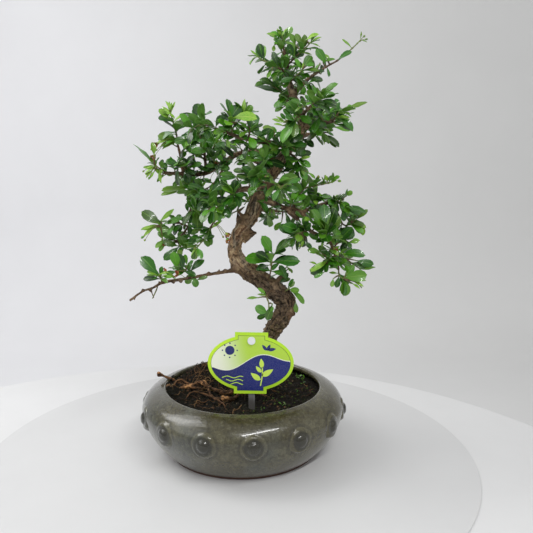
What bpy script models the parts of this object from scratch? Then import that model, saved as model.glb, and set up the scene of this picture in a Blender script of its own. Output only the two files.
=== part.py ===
"""Fukien tea bonsai in its glazed pot, as separate closed solids.

Lengths below are millimetres and are turned into metres when a mesh is made. +Z is up and
the front of the plant is -Y. The origin is the middle of the pot's foot, where it stands.

Places on the plant are given as (x, z, y): x and z as they are seen from the front on the
upright plane through the origin, and y as the depth at which the point then lies on that
line of sight. The eye stands EYE_AWAY in front of the origin and EYE_UP above it.
"""
import math
import random
from dataclasses import dataclass, field

import bmesh
import bpy
import numpy as np
from mathutils import Vector
from mathutils.bvhtree import BVHTree

MM = 0.001
GAP = 0.30
EYE_AWAY = 630.0
EYE_UP = 300.0

# Pot
POT_SIDES = 32
POT_RADIUS = 100.0
POT_WIDEST_AT = 43.0
FOOT_RADIUS = 76.0
FOOT_HEIGHT = 2.4
MOUTH_RADIUS = 77.0
RIM_TOP = 64.6
POT_FLOOR = 7.5
STUDS = 14
STUD_FIRST_ANGLE = math.radians(-85.0)
STUD_RADIUS = 10.6
STUD_SIDES = 8
STUD_PROUD = 6.0
STUD_SUNK = 4.0
STUD_TILT = math.radians(-4.0)
DRAIN_RADIUS = 7.0
DRAIN_SIDES = 12
DRAIN_PLACES = ((-34.0, 6.0), (34.0, 6.0))
SCREEN_SIZE = 22.0
SCREEN_THICK = 1.2
SCREEN_BAR = 2.6

# Soil
SOIL_LEVEL = 56.6
SOIL_EDGE_TOP = 57.6
SOIL_SIDES = 20
SOIL_RINGS = ((75.8, 20), (60.0, 20), (44.0, 20), (28.0, 10), (14.0, 10), (0.0, 1))
TRUNK_FOOT = (7.0, 0.0)

# Label and its stake
LABEL_MIDDLE = (8.0, -44.0, 101.0)
LABEL_HALF_WIDTH = 40.5
LABEL_HALF_HEIGHT = 27.5
LABEL_TAB_HALF_WIDTH = 15.5
LABEL_TAB_TOP = 30.0
LABEL_THICK = 1.2
STAKE_WIDTH = 6.0
STAKE_THICK = 1.8
STAKE_BOTTOM = 26.0
PEG_HEIGHT = 123.4
PEG_SHANK = 2.1
PEG_HEAD = 3.7
PEG_HEAD_THICK = 1.6

# Wood
TRUNK_SIDES = 9
LIMB_SIDES = 5
TRUNK_KNOBBLY = 0.06
LIMB_KNOBBLY = 0.04
ROOT_PHASE = 1.0
TRUNK_ROWS_IN_SOIL = 4
SOIL_EXTRA_GAP = 0.08
LIMB_STEP = 2.0

# Leaves
BLADE_THICK = 0.66
TWIG_SIDES = 5
NODE_HALF = 0.75
NODE_RADIUS = 1.05
SEAT_RADIUS = 1.25
SEAT_REACH = 9.0
SEAT_LIFT = 0.55
LEAF_SPACING = 2.6
WOOD_SPACING = 1.9
READ_TRIES = 16
READ_LEAN = 0.45
ENOUGH_ROOM = 4.0
MORE_TRIES = 14
MORE_TILT = (28.0, 88.0)
YOUNG_BELOW = 11.5
NEAR = 8.0
GUARD_WIDEN = 1.10
GUARD_MARGIN = 0.45


class Kind:
    """Width for length, and the number of teeth at the tip, of each kind of leaf."""

    MATURE = (0.47, 2)
    LONG = (0.33, 2)
    WIDE = (0.56, 2)
    ROUND = (0.72, 3)
    YOUNG = (0.30, 0)


MATURE, LONG, WIDE, ROUND, YOUNG = Kind.MATURE, Kind.LONG, Kind.WIDE, Kind.ROUND, Kind.YOUNG


@dataclass
class Station:
    """One place on a twig that bears leaves: how far along, leaves read from the front, and more."""

    along: float
    tips: list = field(default_factory=list)
    more: int = 0
    size: tuple = (14.0, 21.0)


@dataclass
class Spray:
    """A leafy twig: its route from the wood outwards and its stations."""

    name: str
    route: list
    stations: list


@dataclass
class Leaf:
    """One blade: where it starts, where its tip is, which way its upper face looks."""

    base: np.ndarray
    tip: np.ndarray
    up: np.ndarray
    kind: tuple
    arch: float
    face: int


def seen(x, z, y):
    """The point that shows at (x, z) on the plane y = 0 and lies at depth y."""
    far = (EYE_AWAY + y) / EYE_AWAY
    return np.array((x * far, y, EYE_UP + (z - EYE_UP) * far))


def unit(vector):
    return vector / max(np.linalg.norm(vector), 1e-9)


def smooth_route(points, per_span=8):
    """Points of a smooth curve through the given ones (rows may hold a radius too)."""
    rows = np.array(points, dtype=float)
    ends = np.vstack((2 * rows[0] - rows[1], rows, 2 * rows[-1] - rows[-2]))
    out = []
    for i in range(len(rows) - 1):
        a, b, c, d = ends[i:i + 4]
        for k in range(per_span):
            t = k / per_span
            out.append(0.5 * (2 * b + (c - a) * t + (2 * a - 5 * b + 4 * c - d) * t * t
                              + (3 * b - a - 3 * c + d) * t ** 3))
    out.append(rows[-1])
    return np.array(out)


class Route:
    """A smooth curve read by the distance along it."""

    def __init__(self, points):
        self.points = smooth_route(points)
        steps = np.linalg.norm(np.diff(self.points, axis=0), axis=1)
        self.marks = np.concatenate(((0.0,), np.cumsum(steps)))
        self.length = self.marks[-1]

    def at(self, distance):
        return np.array([np.interp(distance, self.marks, self.points[:, k]) for k in range(3)])

    def heading(self, distance):
        step = 0.6
        low = max(distance - step, 0.0)
        high = min(distance + step, self.length)
        return unit(self.at(high) - self.at(low))


# Limbs: points (x, z, y, radius), from the wood they grow out of to their ends
LIMBS = {
    "trunk": [
        (7, 30, 0, 9.0), (7, 46, 0, 11.5), (7.5, 59, 0, 12.6), (12, 77, -1, 9.9),
        (19, 96, -2, 9.2), (29, 117, -3, 8.8), (39, 134, -6, 9.1), (43, 147, -6, 9.8),
        (37, 157, -5, 9.7), (24, 168, -3, 9.3), (10, 179, 0, 8.8), (0, 188, 2, 8.2),
        (-5.5, 199, 4, 7.0), (-5, 214, 4, 6.8), (1, 229, 2, 7.0), (10, 243, 1, 6.8),
        (17.5, 255, 0, 6.3), (25, 269, 0, 5.8), (34, 283, -1, 5.5), (43.5, 298, -3, 5.1),
        (51, 310, 0, 4.9), (57, 320, 1, 4.7), (56, 332, 2, 4.3), (50, 346, 0, 3.7),
        (45, 361, 0, 3.2), (42.5, 376, 0, 2.5), (40, 390, 0, 1.5),
    ],
    "low_left": [
        (0, 185, 2, 3.4), (-11, 181.5, 0, 2.5), (-33, 178, -10, 2.1), (-55, 174, -18, 2.0),
        (-78, 170, -28, 1.8), (-88, 165, -32, 1.5), (-99, 161, -35, 1.4), (-111.5, 152, -40, 1.5),
    ],
    "left_mid": [
        (15, 260, 0, 3.4), (0, 261, -8, 2.6), (-16, 249, -20, 2.1), (-28, 229, -28, 1.4),
    ],
    "left_arm": [
        (36, 288, 2, 3.6), (22, 293, 14, 3.0), (2, 296.5, 30, 2.7), (-18, 287, 40, 2.5),
        (-37, 276, 37, 2.3), (-74, 277, 20, 1.7),
    ],
    "left_riser": [(-56, 277, 29, 2.0), (-57, 287, 30, 1.9), (-60.5, 304, 26, 1.2)],
    "mid_riser": [(-34, 277, 38, 1.9), (-35.5, 300, 44, 1.4)],
    "upper_arm": [(46, 303, 0, 3.2), (20, 306, -24, 2.4), (-4, 311, -34, 1.8), (-16, 316, -34, 1.4)],
    "left_low_arm": [(-14, 251, -18, 1.9), (-27, 252, -4, 1.7), (-39, 256, 10, 1.4)],
    "left_hanging": [
        (-36, 254.5, 8, 1.4), (-44, 253, 20, 1.5), (-49, 244, 26, 1.5), (-51, 228, 28, 1.4),
        (-57, 219, 28, 1.2),
    ],
    "right_arm": [
        (17, 254, 0, 3.6), (38, 244, -16, 2.7), (58, 238, -22, 2.2), (66, 221, -18, 1.9),
        (84, 212, -14, 1.7), (92, 195, -10, 1.4),
    ],
    "right_fork": [(57, 238, -22, 2.0), (80, 247, 14, 1.7), (89, 244, 22, 1.6), (98, 227, 26, 1.2)],
    "right_riser": [(48, 240, -20, 2.0), (52, 249, -18, 1.5)],
    "right_top": [(57, 320, 1, 3.6), (68, 321, -8, 2.8), (88, 326, -22, 1.8)],
    "far_twig": [(49, 350, 0, 2.6), (63, 364, 14, 1.8), (76, 373, 22, 1.2)],
    "back_left": [(28, 275, 0, 3.2), (24, 282, 26, 2.6), (4, 292, 62, 1.5)],
    "back_right": [(50, 309, 0, 3.0), (68, 314, 50, 1.6)],
    "back_low": [(10, 243, 2, 3.0), (34, 240, 54, 1.6)],
    "back_inner": [(-14, 289, 38.5, 1.9), (-22, 272, 66, 1.3)],
    "back_top": [(48, 350, 0, 2.4), (44, 362, 36, 1.5), (40, 368, 54, 1.1)],
    "front_arm": [(22, 264, 0, 3.0), (30, 267, -46, 1.5)],
    "front_top": [(57, 326, 2, 2.8), (58, 331, -24, 2.0), (66, 340, -56, 1.1)],
    "stub_bend": [(44, 141, -6, 5.0), (52.5, 136.3, -9, 1.6)],
    "stub_side": [(31, 166, -4, 3.2), (38, 175.5, -9, 1.9)],
    "stub_right": [(2, 220, 3, 4.0), (14, 218.5, -1, 1.3)],
    "stub_left": [(4, 231, 1, 3.2), (-4.5, 241, -3, 1.0)],
    "stub_cut": [(45, 240, -20, 2.6), (54.5, 232, -31, 2.3)],
}

# Surface roots: (x, y, radius, how high the middle lies above the soil)
ROOTS = {
    "root_long": [(5, -2, 5.0, -1), (-8, -4, 3.4, 0.6), (-24, -3, 3.0, 0.8), (-36, 5, 3.0, 1.0),
                  (-54, 13, 2.4, 1.2), (-64, 15, 2.4, 4.0), (-74, 16.5, 2.3, 10.0),
                  (-84, 17.5, 2.3, 11.6)],
    "root_loop": [(-48, 11, 2.0, 0.6), (-60, 18, 1.8, 0.8), (-69, 9, 1.6, 0.8), (-70, -3, 1.4, -0.6)],
    "root_front": [(-32, 2, 2.2, 0.4), (-29, -9, 1.9, 0.7), (-13, -28, 1.3, -0.8)],
    "root_mid": [(6, -5, 4.6, -1), (-6, -12, 2.9, 0.7), (-26, -11.5, 2.0, 0.5), (-57, -8, 1.3, -0.8)],
    "root_right": [(9, 0, 5.0, -1), (22, 3, 3.0, 0.4), (50, -3, 1.6, -1.0)],
    "root_near": [(9, -3, 4.6, -1), (20, -12, 2.8, 0.5), (41, -30, 1.5, -0.8)],
    "root_back": [(9, 3, 5.0, -1), (16, 14, 2.9, 0.5), (32, 40, 1.5, -0.9)],
}

SPRAYS = [
    Spray("left_shoot", [(-60.3, 302, 26), (-61.5, 313, 20), (-64.5, 325, 12), (-67, 334.5, 8)], [
        Station(0.18, [(-77, 301.5, LONG), (-52, 312, MATURE)], 1),
        Station(0.42, [(-80, 312, MATURE), (-47, 330, WIDE)], 0),
        Station(0.72, [(-78, 336, MATURE), (-57, 333, YOUNG)], 0),
        Station(0.97, [(-72, 342, YOUNG), (-60, 340, YOUNG)], 1, (6, 9))]),
    Spray("far_left", [(-72, 277, 21), (-78, 281, 16), (-83, 284.5, 12)], [
        Station(0.50, [(-94, 282.5, LONG), (-75, 290, MATURE), (-71, 269, YOUNG)], 1, (9, 13)),
        Station(0.95, [(-106, 299, LONG), (-92, 276, YOUNG)], 1, (8, 12))]),
    Spray("left_rosette", [(-51, 276.5, 32), (-53, 281, 20), (-58, 284, 8), (-62, 284.5, 2)], [
        Station(0.42, [(-38, 286, MATURE), (-46, 292.5, MATURE)], 2),
        Station(0.94, [(-73, 288, WIDE), (-60, 291, MATURE)], 2)]),
    Spray("mid_riser_top", [(-35.4, 299, 44), (-39, 311, 45), (-41, 319, 42), (-40.5, 327, 38)], [
        Station(0.26, [(-57, 314, MATURE), (-47, 318, MATURE)], 1),
        Station(0.55, [(-44, 326, MATURE), (-34, 322, MATURE)], 2),
        Station(0.95, [(-40, 342, ROUND), (-56, 333, MATURE), (-25, 318, LONG)], 1)]),
    Spray("mid_bunch", [(-34.6, 290, 42), (-30, 296, 28), (-26, 302, 12), (-25, 305, 4)], [
        Station(0.45, [(-48, 297, MATURE), (-38, 305, WIDE)], 2),
        Station(0.95, [(-17, 317, LONG), (-33, 316, MATURE)], 2)]),
    Spray("upper_left", [(-15, 315.7, -34), (-28, 320, -33), (-38, 322, -31), (-47, 318, -31)], [
        Station(0.30, [(-18, 331, MATURE), (-30, 331, LONG)], 1),
        Station(0.64, [(-30, 309, MATURE)], 2),
        Station(0.96, [(-59, 331, MATURE), (-56, 321, MATURE)], 2)]),
    Spray("upper_mid", [(-8, 312, -34), (-10, 321, -39), (-10, 329, -42)], [
        Station(0.40, [(-22, 327, MATURE)], 3),
        Station(0.94, [(15, 328, WIDE), (-8, 341, LONG), (-19, 333, MATURE)], 1)]),
    Spray("upper_inner", [(6, 308.3, -31), (8, 317, -41), (5, 326, -36), (3, 331, -31)], [
        Station(0.40, [(21, 322, LONG), (20, 313, MATURE)], 2),
        Station(0.94, [(10, 340, ROUND), (3, 346, YOUNG), (-7, 327, MATURE)], 1)]),
    Spray("left_under", [(-22, 284.3, 40), (-22, 283, 24), (-26, 287, 12), (-27, 291, 8)], [
        Station(0.42, [(-31, 276, MATURE), (-11, 281, WIDE)], 1),
        Station(0.95, [(-33, 301, MATURE), (-17, 296, MATURE)], 2)]),
    Spray("left_low", [(-38, 255.7, 10), (-47, 261, 24), (-52, 265, 32), (-55, 269, 38)], [
        Station(0.30, [(-44, 272, MATURE), (-33, 267, MATURE)], 1),
        Station(0.66, [(-77, 259, MATURE)], 1),
        Station(0.95, [(-64, 270, ROUND), (-48, 279, YOUNG)], 1, (9, 13))]),
    Spray("left_low_front", [(-27, 252, -4), (-30, 254, -22), (-31, 257, -33)], [
        Station(0.50, [], 3),
        Station(0.92, [(-20, 267, WIDE), (-42, 262, MATURE)], 2)]),
    Spray("left_curtain", [(-49, 239, 26), (-47, 241, 6), (-44.5, 243, -8)], [
        Station(0.45, [(-53, 251, MATURE), (-48, 227, MATURE)], 1),
        Station(0.94, [(-39, 221, WIDE), (-30, 246, MATURE)], 2)]),
    Spray("left_outer", [(-52.5, 225.5, 28), (-60, 228.5, 24), (-70, 229.5, 20), (-79, 226, 18)], [
        Station(0.24, [(-66, 220, WIDE), (-55, 236, MATURE)], 1),
        Station(0.48, [(-69, 237, MATURE)], 1),
        Station(0.96, [(-97, 240, WIDE), (-65, 243, LONG), (-96, 224, YOUNG)], 0)]),
    Spray("left_tail", [(-56, 220.3, 28), (-62, 212.5, 28), (-60.5, 206, 22), (-54, 203.5, 10)], [
        Station(0.30, [(-81, 218, MATURE), (-70, 206, MATURE)], 0),
        Station(0.56, [(-81, 202.5, MATURE)], 1),
        Station(0.96, [(-60, 217, WIDE), (-41, 201.5, MATURE), (-44, 218, MATURE)], 1)]),
    Spray("low_left_tall", [(-49, 175.3, -16), (-52, 179.5, -10), (-58, 181.5, -14), (-64.5, 182, -20)], [
        Station(0.34, [(-37, 193, MATURE), (-53, 168, ROUND)], 1),
        Station(0.66, [(-54, 199, WIDE), (-45, 177, MATURE)], 0),
        Station(0.95, [(-66, 201, WIDE), (-75, 178, MATURE)], 1)]),
    Spray("low_left_end", [(-77, 170.2, -28), (-80, 174, -34), (-83, 178, -38)], [
        Station(0.55, [(-97.5, 174, MATURE)], 1, (8, 11)),
        Station(0.94, [(-99, 196, WIDE), (-72, 181, YOUNG)], 1, (8, 11))]),
    Spray("left_mid_tip", [(-27.5, 230, -28), (-33, 220, -29), (-38, 212, -29), (-45, 204, -29)], [
        Station(0.22, [(-17, 224, YOUNG)], 1, (8, 11)),
        Station(0.62, [(-26, 218, MATURE)], 1, (9, 12)),
        Station(0.96, [(-55, 197, MATURE)], 2, (10, 14))]),
    Spray("left_mid_rise", [(-11, 254.6, -16), (-9, 256.5, -28), (-7, 257, -36)], [
        Station(0.50, [(-19, 262, MATURE)], 2),
        Station(0.92, [(-1, 242, WIDE), (6, 262, LONG)], 2)]),
    Spray("left_mid_dark", [(-20, 243.5, -24), (-24, 243.5, -36), (-29, 244, -42)], [
        Station(0.52, [(-12, 237, MATURE)], 3),
        Station(0.94, [(-38, 235, MATURE), (-24, 231, MATURE)], 2)]),
    Spray("back_left_high", [(5, 291.8, 62), (-8, 296, 68), (-17, 301, 70), (-23, 305, 70)], [
        Station(0.30, [], 3), Station(0.62, [], 3), Station(0.96, [], 4)]),
    Spray("back_inner_low", [(-21.5, 272.8, 65), (-32, 263, 72), (-41, 261, 74), (-48, 264, 74)], [
        Station(0.28, [], 3), Station(0.62, [], 3), Station(0.96, [], 4)]),
    Spray("front_low", [(29.5, 267, -45), (34, 266, -54), (37, 263, -59), (38, 260, -60)], [
        Station(0.46, [(51, 279, WIDE)], 2),
        Station(0.94, [(12, 273, WIDE), (55, 259, MATURE), (29, 251, MATURE)], 1)]),
    Spray("front_mid", [(25.5, 265.8, -24), (19, 269, -34), (15, 273, -41), (13, 276, -44)], [
        Station(0.48, [(2, 269.5, LONG), (27, 280, MATURE)], 1),
        Station(0.94, [(0, 283, MATURE), (14, 290, MATURE)], 2)]),
    Spray("centre_low", [(23, 292.8, 12), (22, 290, -16), (21, 288.5, -28)], [
        Station(0.58, [(8, 297, MATURE), (9, 281, MATURE)], 1),
        Station(0.94, [(19, 301, WIDE), (42, 284, MATURE), (31, 298, MATURE)], 1)]),
    Spray("centre_high", [(35, 305, -12), (38, 301, -26), (42, 301, -33), (45, 302.5, -36)], [
        Station(0.46, [(27, 296, MATURE), (31, 312, MATURE)], 1),
        Station(0.95, [(56, 304, ROUND), (46, 289, MATURE)], 2)]),
    Spray("right_side", [(42.5, 297, -6), (50, 293, -12), (54, 287, -16), (54, 280, -18)], [
        Station(0.40, [(67, 296, MATURE), (64, 304, LONG)], 0),
        Station(0.64, [(67, 284, MATURE), (66, 292, YOUNG)], 1),
        Station(0.95, [(70, 263, LONG), (63, 270, WIDE)], 2)]),
    Spray("right_riser_top", [(51.6, 248, -18), (56, 256, -16), (61, 262, -14), (69, 264, -16),
                              (79, 266, -18), (88, 268, -20)], [
        Station(0.13, [(43, 256, MATURE), (67, 253, MATURE)], 2),
        Station(0.30, [(47, 268, MATURE), (71, 259, MATURE)], 2),
        Station(0.58, [(73, 271, YOUNG)], 0, (7, 9)),
        Station(0.80, [(80, 273, YOUNG)], 0, (7, 9)),
        Station(0.97, [(87, 273, YOUNG), (93, 267, YOUNG)], 0, (7, 9))]),
    Spray("fork_rise", [(69, 241.6, -3), (70, 248, -10), (72, 253.5, -12)], [
        Station(0.55, [(60, 245, MATURE)], 2),
        Station(0.94, [(88, 254, MATURE), (62, 262, MATURE)], 2)]),
    Spray("fork_end", [(80, 247, 14), (86, 251, 12), (93, 249.5, 6), (100, 243, 2)], [
        Station(0.36, [(108, 258, LONG), (76, 261, YOUNG)], 1),
        Station(0.64, [(106, 251, MATURE)], 2),
        Station(0.96, [(121, 238, MATURE), (117, 247, MATURE)], 1)]),
    Spray("fork_tip", [(97.7, 227.5, 26), (102, 225.5, 22), (106, 228, 20)], [
        Station(0.50, [(93, 216, MATURE)], 1),
        Station(0.93, [(118, 217, MATURE), (112, 238, MATURE), (120, 227, MATURE)], 1)]),
    Spray("right_fan", [(83.5, 212.3, -14), (82, 216, -28), (81, 219, -36)], [
        Station(0.48, [(92, 243, MATURE), (99, 232, MATURE)], 1),
        Station(0.93, [(67, 242, MATURE), (79, 247, MATURE), (68, 226, MATURE)], 1)]),
    Spray("right_fan_inner", [(65.5, 222, -18), (60, 219.5, -28), (54, 218, -33), (51, 214, -34)], [
        Station(0.34, [(62, 235, WIDE), (69, 206, MATURE)], 1),
        Station(0.68, [(45, 234, WIDE)], 1),
        Station(0.96, [(32, 226, WIDE), (46, 205, ROUND), (56, 205, YOUNG)], 0)]),
    Spray("right_low_end", [(90, 204.3, -12), (94, 208.5, 2), (99, 212, 14)], [
        Station(0.50, [(84, 196, MATURE), (107, 225, MATURE)], 0),
        Station(0.94, [(112, 214, MATURE), (108, 204, MATURE), (116, 210, YOUNG)], 0)]),
    Spray("right_low_left", [(91.7, 196.3, -10), (87, 193, -20), (84, 189.5, -24)], [
        Station(0.50, [(64, 200, MATURE), (85, 206, MATURE)], 0),
        Station(0.93, [(72, 173, WIDE), (66, 191, YOUNG), (66, 183, YOUNG)], 0)]),
    Spray("right_low_right", [(91.4, 199, -12), (97, 196, 4), (102, 192.5, 18)], [
        Station(0.50, [(121, 199, MATURE), (108, 204, MATURE)], 0),
        Station(0.93, [(129, 186, MATURE), (108, 181, MATURE)], 1)]),
    Spray("right_tip", [(92, 195.5, -10), (95, 185, -12), (96, 176, -14), (101, 172, -18)], [
        Station(0.26, [(84, 202, MATURE)], 2, (10, 14)),
        Station(0.66, [(86, 176, YOUNG)], 0),
        Station(0.95, [(99, 159, WIDE), (124, 176, WIDE), (120, 163, YOUNG)], 0)]),
    Spray("top_right_front", [(79, 322, -16), (76, 328, -29), (74, 331, -36)], [
        Station(0.50, [(62, 336, MATURE), (88, 338, MATURE)], 2),
        Station(0.93, [(84, 326, WIDE), (66, 322, MATURE)], 2)]),
    Spray("top_right_end", [(87.3, 325.6, -22), (91, 332, -26), (99, 337, -26)], [
        Station(0.26, [(107, 317, MATURE), (103, 327, YOUNG)], 1),
        Station(0.60, [(94, 347, MATURE), (104, 333, YOUNG)], 1),
        Station(0.96, [(120, 342, LONG)], 1, (8, 11))]),
    Spray("top_right_under", [(74, 321.4, -12), (76, 316.5, -2), (78, 314, 8)], [
        Station(0.60, [(62, 307, MATURE), (66, 317, MATURE)], 1),
        Station(0.93, [(93, 300.5, WIDE), (77, 303, YOUNG)], 1)]),
    Spray("front_top_right", [(65.5, 339.6, -55), (70, 343, -59), (75, 346, -60)], [
        Station(0.45, [(60, 349, MATURE)], 2),
        Station(0.93, [(91, 342, MATURE), (88, 352, MATURE), (77, 357, MATURE)], 1)]),
    Spray("front_top_left", [(59, 332.4, -28), (53, 330, -38), (50, 325, -41)], [
        Station(0.50, [(43, 338, MATURE), (62, 319, MATURE)], 1),
        Station(0.93, [(36, 331, WIDE), (31, 312, MATURE), (54, 310, MATURE)], 0)]),
    Spray("trunk_left", [(50, 346, 0), (43.5, 349, 12), (38, 352, 18)], [
        Station(0.55, [(31, 338, MATURE), (34, 333, MATURE)], 1),
        Station(0.94, [(12.5, 358, MATURE), (29, 365, MATURE)], 1)]),
    Spray("top_left", [(44, 368.5, 0), (37, 373, -10), (29, 377, -8), (20, 381, -6), (14, 385, -8)], [
        Station(0.20, [(27, 366, MATURE), (36, 360, MATURE)], 2),
        Station(0.40, [(30, 389, MATURE)], 2),
        Station(0.78, [(20, 394, ROUND)], 0),
        Station(0.97, [(9, 390, YOUNG)], 0)]),
    Spray("top_shoot", [(40.2, 389, 0), (39, 395, -1), (38, 404, -2)], [
        Station(0.26, [(28, 378, MATURE), (53, 389, MATURE)], 1),
        Station(0.58, [(24, 405, MATURE), (50, 409, MATURE)], 0),
        Station(0.95, [(34, 408, YOUNG), (42, 408.5, YOUNG)], 1, (6, 8))]),
    Spray("top_right", [(43, 376, 0), (51, 384, -10), (59, 391, -16), (66, 398, -20)], [
        Station(0.34, [(44, 396, MATURE), (52, 372, MATURE)], 1),
        Station(0.62, [(60, 404, WIDE), (66, 386, YOUNG)], 0),
        Station(0.96, [(74, 403, YOUNG), (74, 394, YOUNG)], 1, (7, 9))]),
    Spray("top_mid", [(45.2, 361, 0), (52, 367, -16), (58, 373, -26)], [
        Station(0.50, [(40, 372, MATURE), (58, 357, MATURE), (37, 362, MATURE)], 1),
        Station(0.93, [(73, 370, LONG), (67, 385, WIDE), (50, 382, MATURE)], 0)]),
    Spray("top_far", [(75.3, 372.6, 22), (83, 377, 26), (91, 381.5, 30), (104, 392, 34),
                      (113, 401, 36)], [
        Station(0.12, [(70, 391.5, WIDE), (86, 368, MATURE)], 0),
        Station(0.38, [(102, 391.5, MATURE)], 0),
        Station(0.74, [(94, 400, LONG)], 0),
        Station(0.97, [(118, 398, YOUNG), (112, 407, YOUNG)], 0)]),
    Spray("back_top_end", [(40.5, 367.6, 53), (38, 371, 58), (35, 375, 62)], [
        Station(0.50, [], 3), Station(0.93, [], 4)]),
    Spray("back_right_end", [(67, 313.9, 49), (77, 318, 60), (84, 323, 64), (90, 328, 68)], [
        Station(0.30, [], 4), Station(0.64, [], 4), Station(0.96, [], 4)]),
    Spray("back_low_end", [(33, 240.2, 52), (46, 239, 60), (58, 241, 62), (68, 244, 64)], [
        Station(0.30, [], 4), Station(0.64, [], 4), Station(0.96, [], 4)]),
    Spray("mid_shoot", [(25, 170, -8), (28, 181, -22), (29, 191, -24), (31, 199, -24)], [
        Station(0.52, [(38, 173, MATURE), (17, 180, MATURE)], 0),
        Station(0.76, [(3, 196, WIDE), (57, 186, MATURE), (46, 194, MATURE)], 0),
        Station(0.97, [(23, 217, MATURE), (43, 203, MATURE), (8, 203, LONG), (46, 213, MATURE)], 0)]),
    Spray("trunk_side", [(38, 158, -8), (44, 161.5, -18), (46.5, 164, -20)], [
        Station(0.93, [(51, 172, MATURE), (56, 160, ROUND), (62, 148, LONG)], 0)]),
    Spray("trunk_down", [(30, 162, -10), (24, 156, -29), (26, 148, -36), (26, 137, -38)], [
        Station(0.46, [(8, 159, LONG), (14, 152, YOUNG)], 0),
        Station(0.96, [(12, 143, ROUND), (15, 132, MATURE), (31, 144, MATURE)], 0)]),
]


def clear_scene():
    for item in list(bpy.data.objects):
        bpy.data.objects.remove(item, do_unlink=True)


def finish(name, colour, roughness, metallic=0.0):
    material = bpy.data.materials.new(name)
    material.use_nodes = True
    shader = material.node_tree.nodes["Principled BSDF"]
    shader.inputs["Base Color"].default_value = (*colour, 1.0)
    shader.inputs["Roughness"].default_value = roughness
    shader.inputs["Metallic"].default_value = metallic
    return material


def solid(name, points, faces, material=None):
    """A mesh object from points in millimetres."""
    mesh = bpy.data.meshes.new(name)
    mesh.from_pydata([tuple(float(c) * MM for c in p) for p in points], [], faces)
    mesh.update()
    item = bpy.data.objects.new(name, mesh)
    bpy.context.scene.collection.objects.link(item)
    if material:
        mesh.materials.append(material)
    return item


def settle(item, angle=None):
    """Weld what meets, split faces into triangles, and shade round shapes smooth."""
    shape = bmesh.new()
    shape.from_mesh(item.data)
    bmesh.ops.remove_doubles(shape, verts=shape.verts, dist=0.01 * MM)
    bmesh.ops.dissolve_degenerate(shape, dist=0.005 * MM, edges=shape.edges)
    bmesh.ops.triangulate(shape, faces=shape.faces)
    shape.to_mesh(item.data)
    shape.free()
    if angle is not None:
        item.data.shade_smooth()
        item.data.set_sharp_from_angle(angle=math.radians(angle))


def combine(item, tools, operation):
    """One Boolean of all tools on an item, applied, with the tools then removed."""
    group = bpy.data.collections.new("tools")
    bpy.context.scene.collection.children.link(group)
    for tool in tools:
        group.objects.link(tool)
    step = item.modifiers.new("combine", "BOOLEAN")
    step.operation = operation
    step.operand_type = "COLLECTION"
    step.collection = group
    step.solver = "EXACT"
    result = item.evaluated_get(bpy.context.evaluated_depsgraph_get())
    mesh = bpy.data.meshes.new_from_object(result)
    item.modifiers.remove(step)
    old = item.data
    item.data = mesh
    bpy.data.meshes.remove(old)
    for tool in tools:
        bpy.data.objects.remove(tool, do_unlink=True)
    bpy.data.collections.remove(group)
    mesh.name = item.name


def turned(profile, sides, middle=(0.0, 0.0)):
    """Points and faces of a profile of (radius, z) turned about the upright axis.

    The profile runs up the outer side; radius 0 closes it on the axis.
    """
    points = []
    rings = []
    for radius, z in profile:
        if radius == 0:
            rings.append([len(points)])
            points.append((middle[0], middle[1], z))
            continue
        rings.append(list(range(len(points), len(points) + sides)))
        for k in range(sides):
            turn = 2 * math.pi * k / sides
            points.append((middle[0] + radius * math.cos(turn), middle[1] + radius * math.sin(turn), z))
    faces = []
    for low, high in zip(rings, rings[1:]):
        for k in range(sides):
            n = (k + 1) % sides
            if len(low) == 1:
                faces.append((low[0], high[n], high[k]))
            elif len(high) == 1:
                faces.append((low[k], low[n], high[0]))
            else:
                faces.append((low[k], low[n], high[n], high[k]))
    return points, faces


def pot_outside():
    """Profile of the pot's outside, foot to rim."""
    return [(0, 0), (FOOT_RADIUS, 0), (FOOT_RADIUS + 1.6, FOOT_HEIGHT), (84.4, 9.6), (91.4, 20),
            (96.8, 31), (POT_RADIUS, POT_WIDEST_AT), (POT_RADIUS - 1.6, 49.6), (92.6, 57.2),
            (84.4, 62.4), (79.8, RIM_TOP)]


def pot_inside():
    """Profile of the pot's inside, rim down to the floor."""
    return [(MOUTH_RADIUS, 63.4), (MOUTH_RADIUS, 60.4), (86.4, 53.6), (92.8, 43), (76, 13),
            (71, POT_FLOOR), (0, POT_FLOOR)]


def stud_shape(turn):
    """Points and faces of the stud at a turn round the pot, its base sunk in the wall."""
    profile = [(0, -STUD_SUNK), (STUD_RADIUS, -STUD_SUNK), (STUD_RADIUS, 2.2),
               (STUD_RADIUS * 0.50, 5.0), (STUD_RADIUS * 0.36, STUD_PROUD), (0, STUD_PROUD + 0.2)]
    points, faces = turned(profile, STUD_SIDES)
    level = Vector((math.cos(turn), math.sin(turn), 0))
    outward = level * math.cos(STUD_TILT) + Vector((0, 0, math.sin(STUD_TILT)))
    spin = outward.to_track_quat("Z", "Y")
    place = level * (POT_RADIUS - 1.6) + Vector((0, 0, POT_WIDEST_AT - 1.0))
    return [tuple(spin @ Vector(p) + place) for p in points], faces


def make_pot(glaze):
    points, faces = turned(pot_outside() + pot_inside(), POT_SIDES)
    pot = solid("pot", points, faces, glaze)
    studs = []
    for k in range(STUDS):
        points, faces = stud_shape(STUD_FIRST_ANGLE + 2 * math.pi * k / STUDS)
        studs.append(solid(f"stud_{k}", points, faces))
    combine(pot, studs, "UNION")
    drains = []
    for k, place in enumerate(DRAIN_PLACES):
        rod = [(0, -5), (DRAIN_RADIUS, -5), (DRAIN_RADIUS, 20), (0, 20)]
        points, faces = turned(rod, DRAIN_SIDES, place)
        drains.append(solid(f"drain_{k}", points, faces))
    combine(pot, drains, "DIFFERENCE")
    settle(pot, 40)
    return pot


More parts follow.
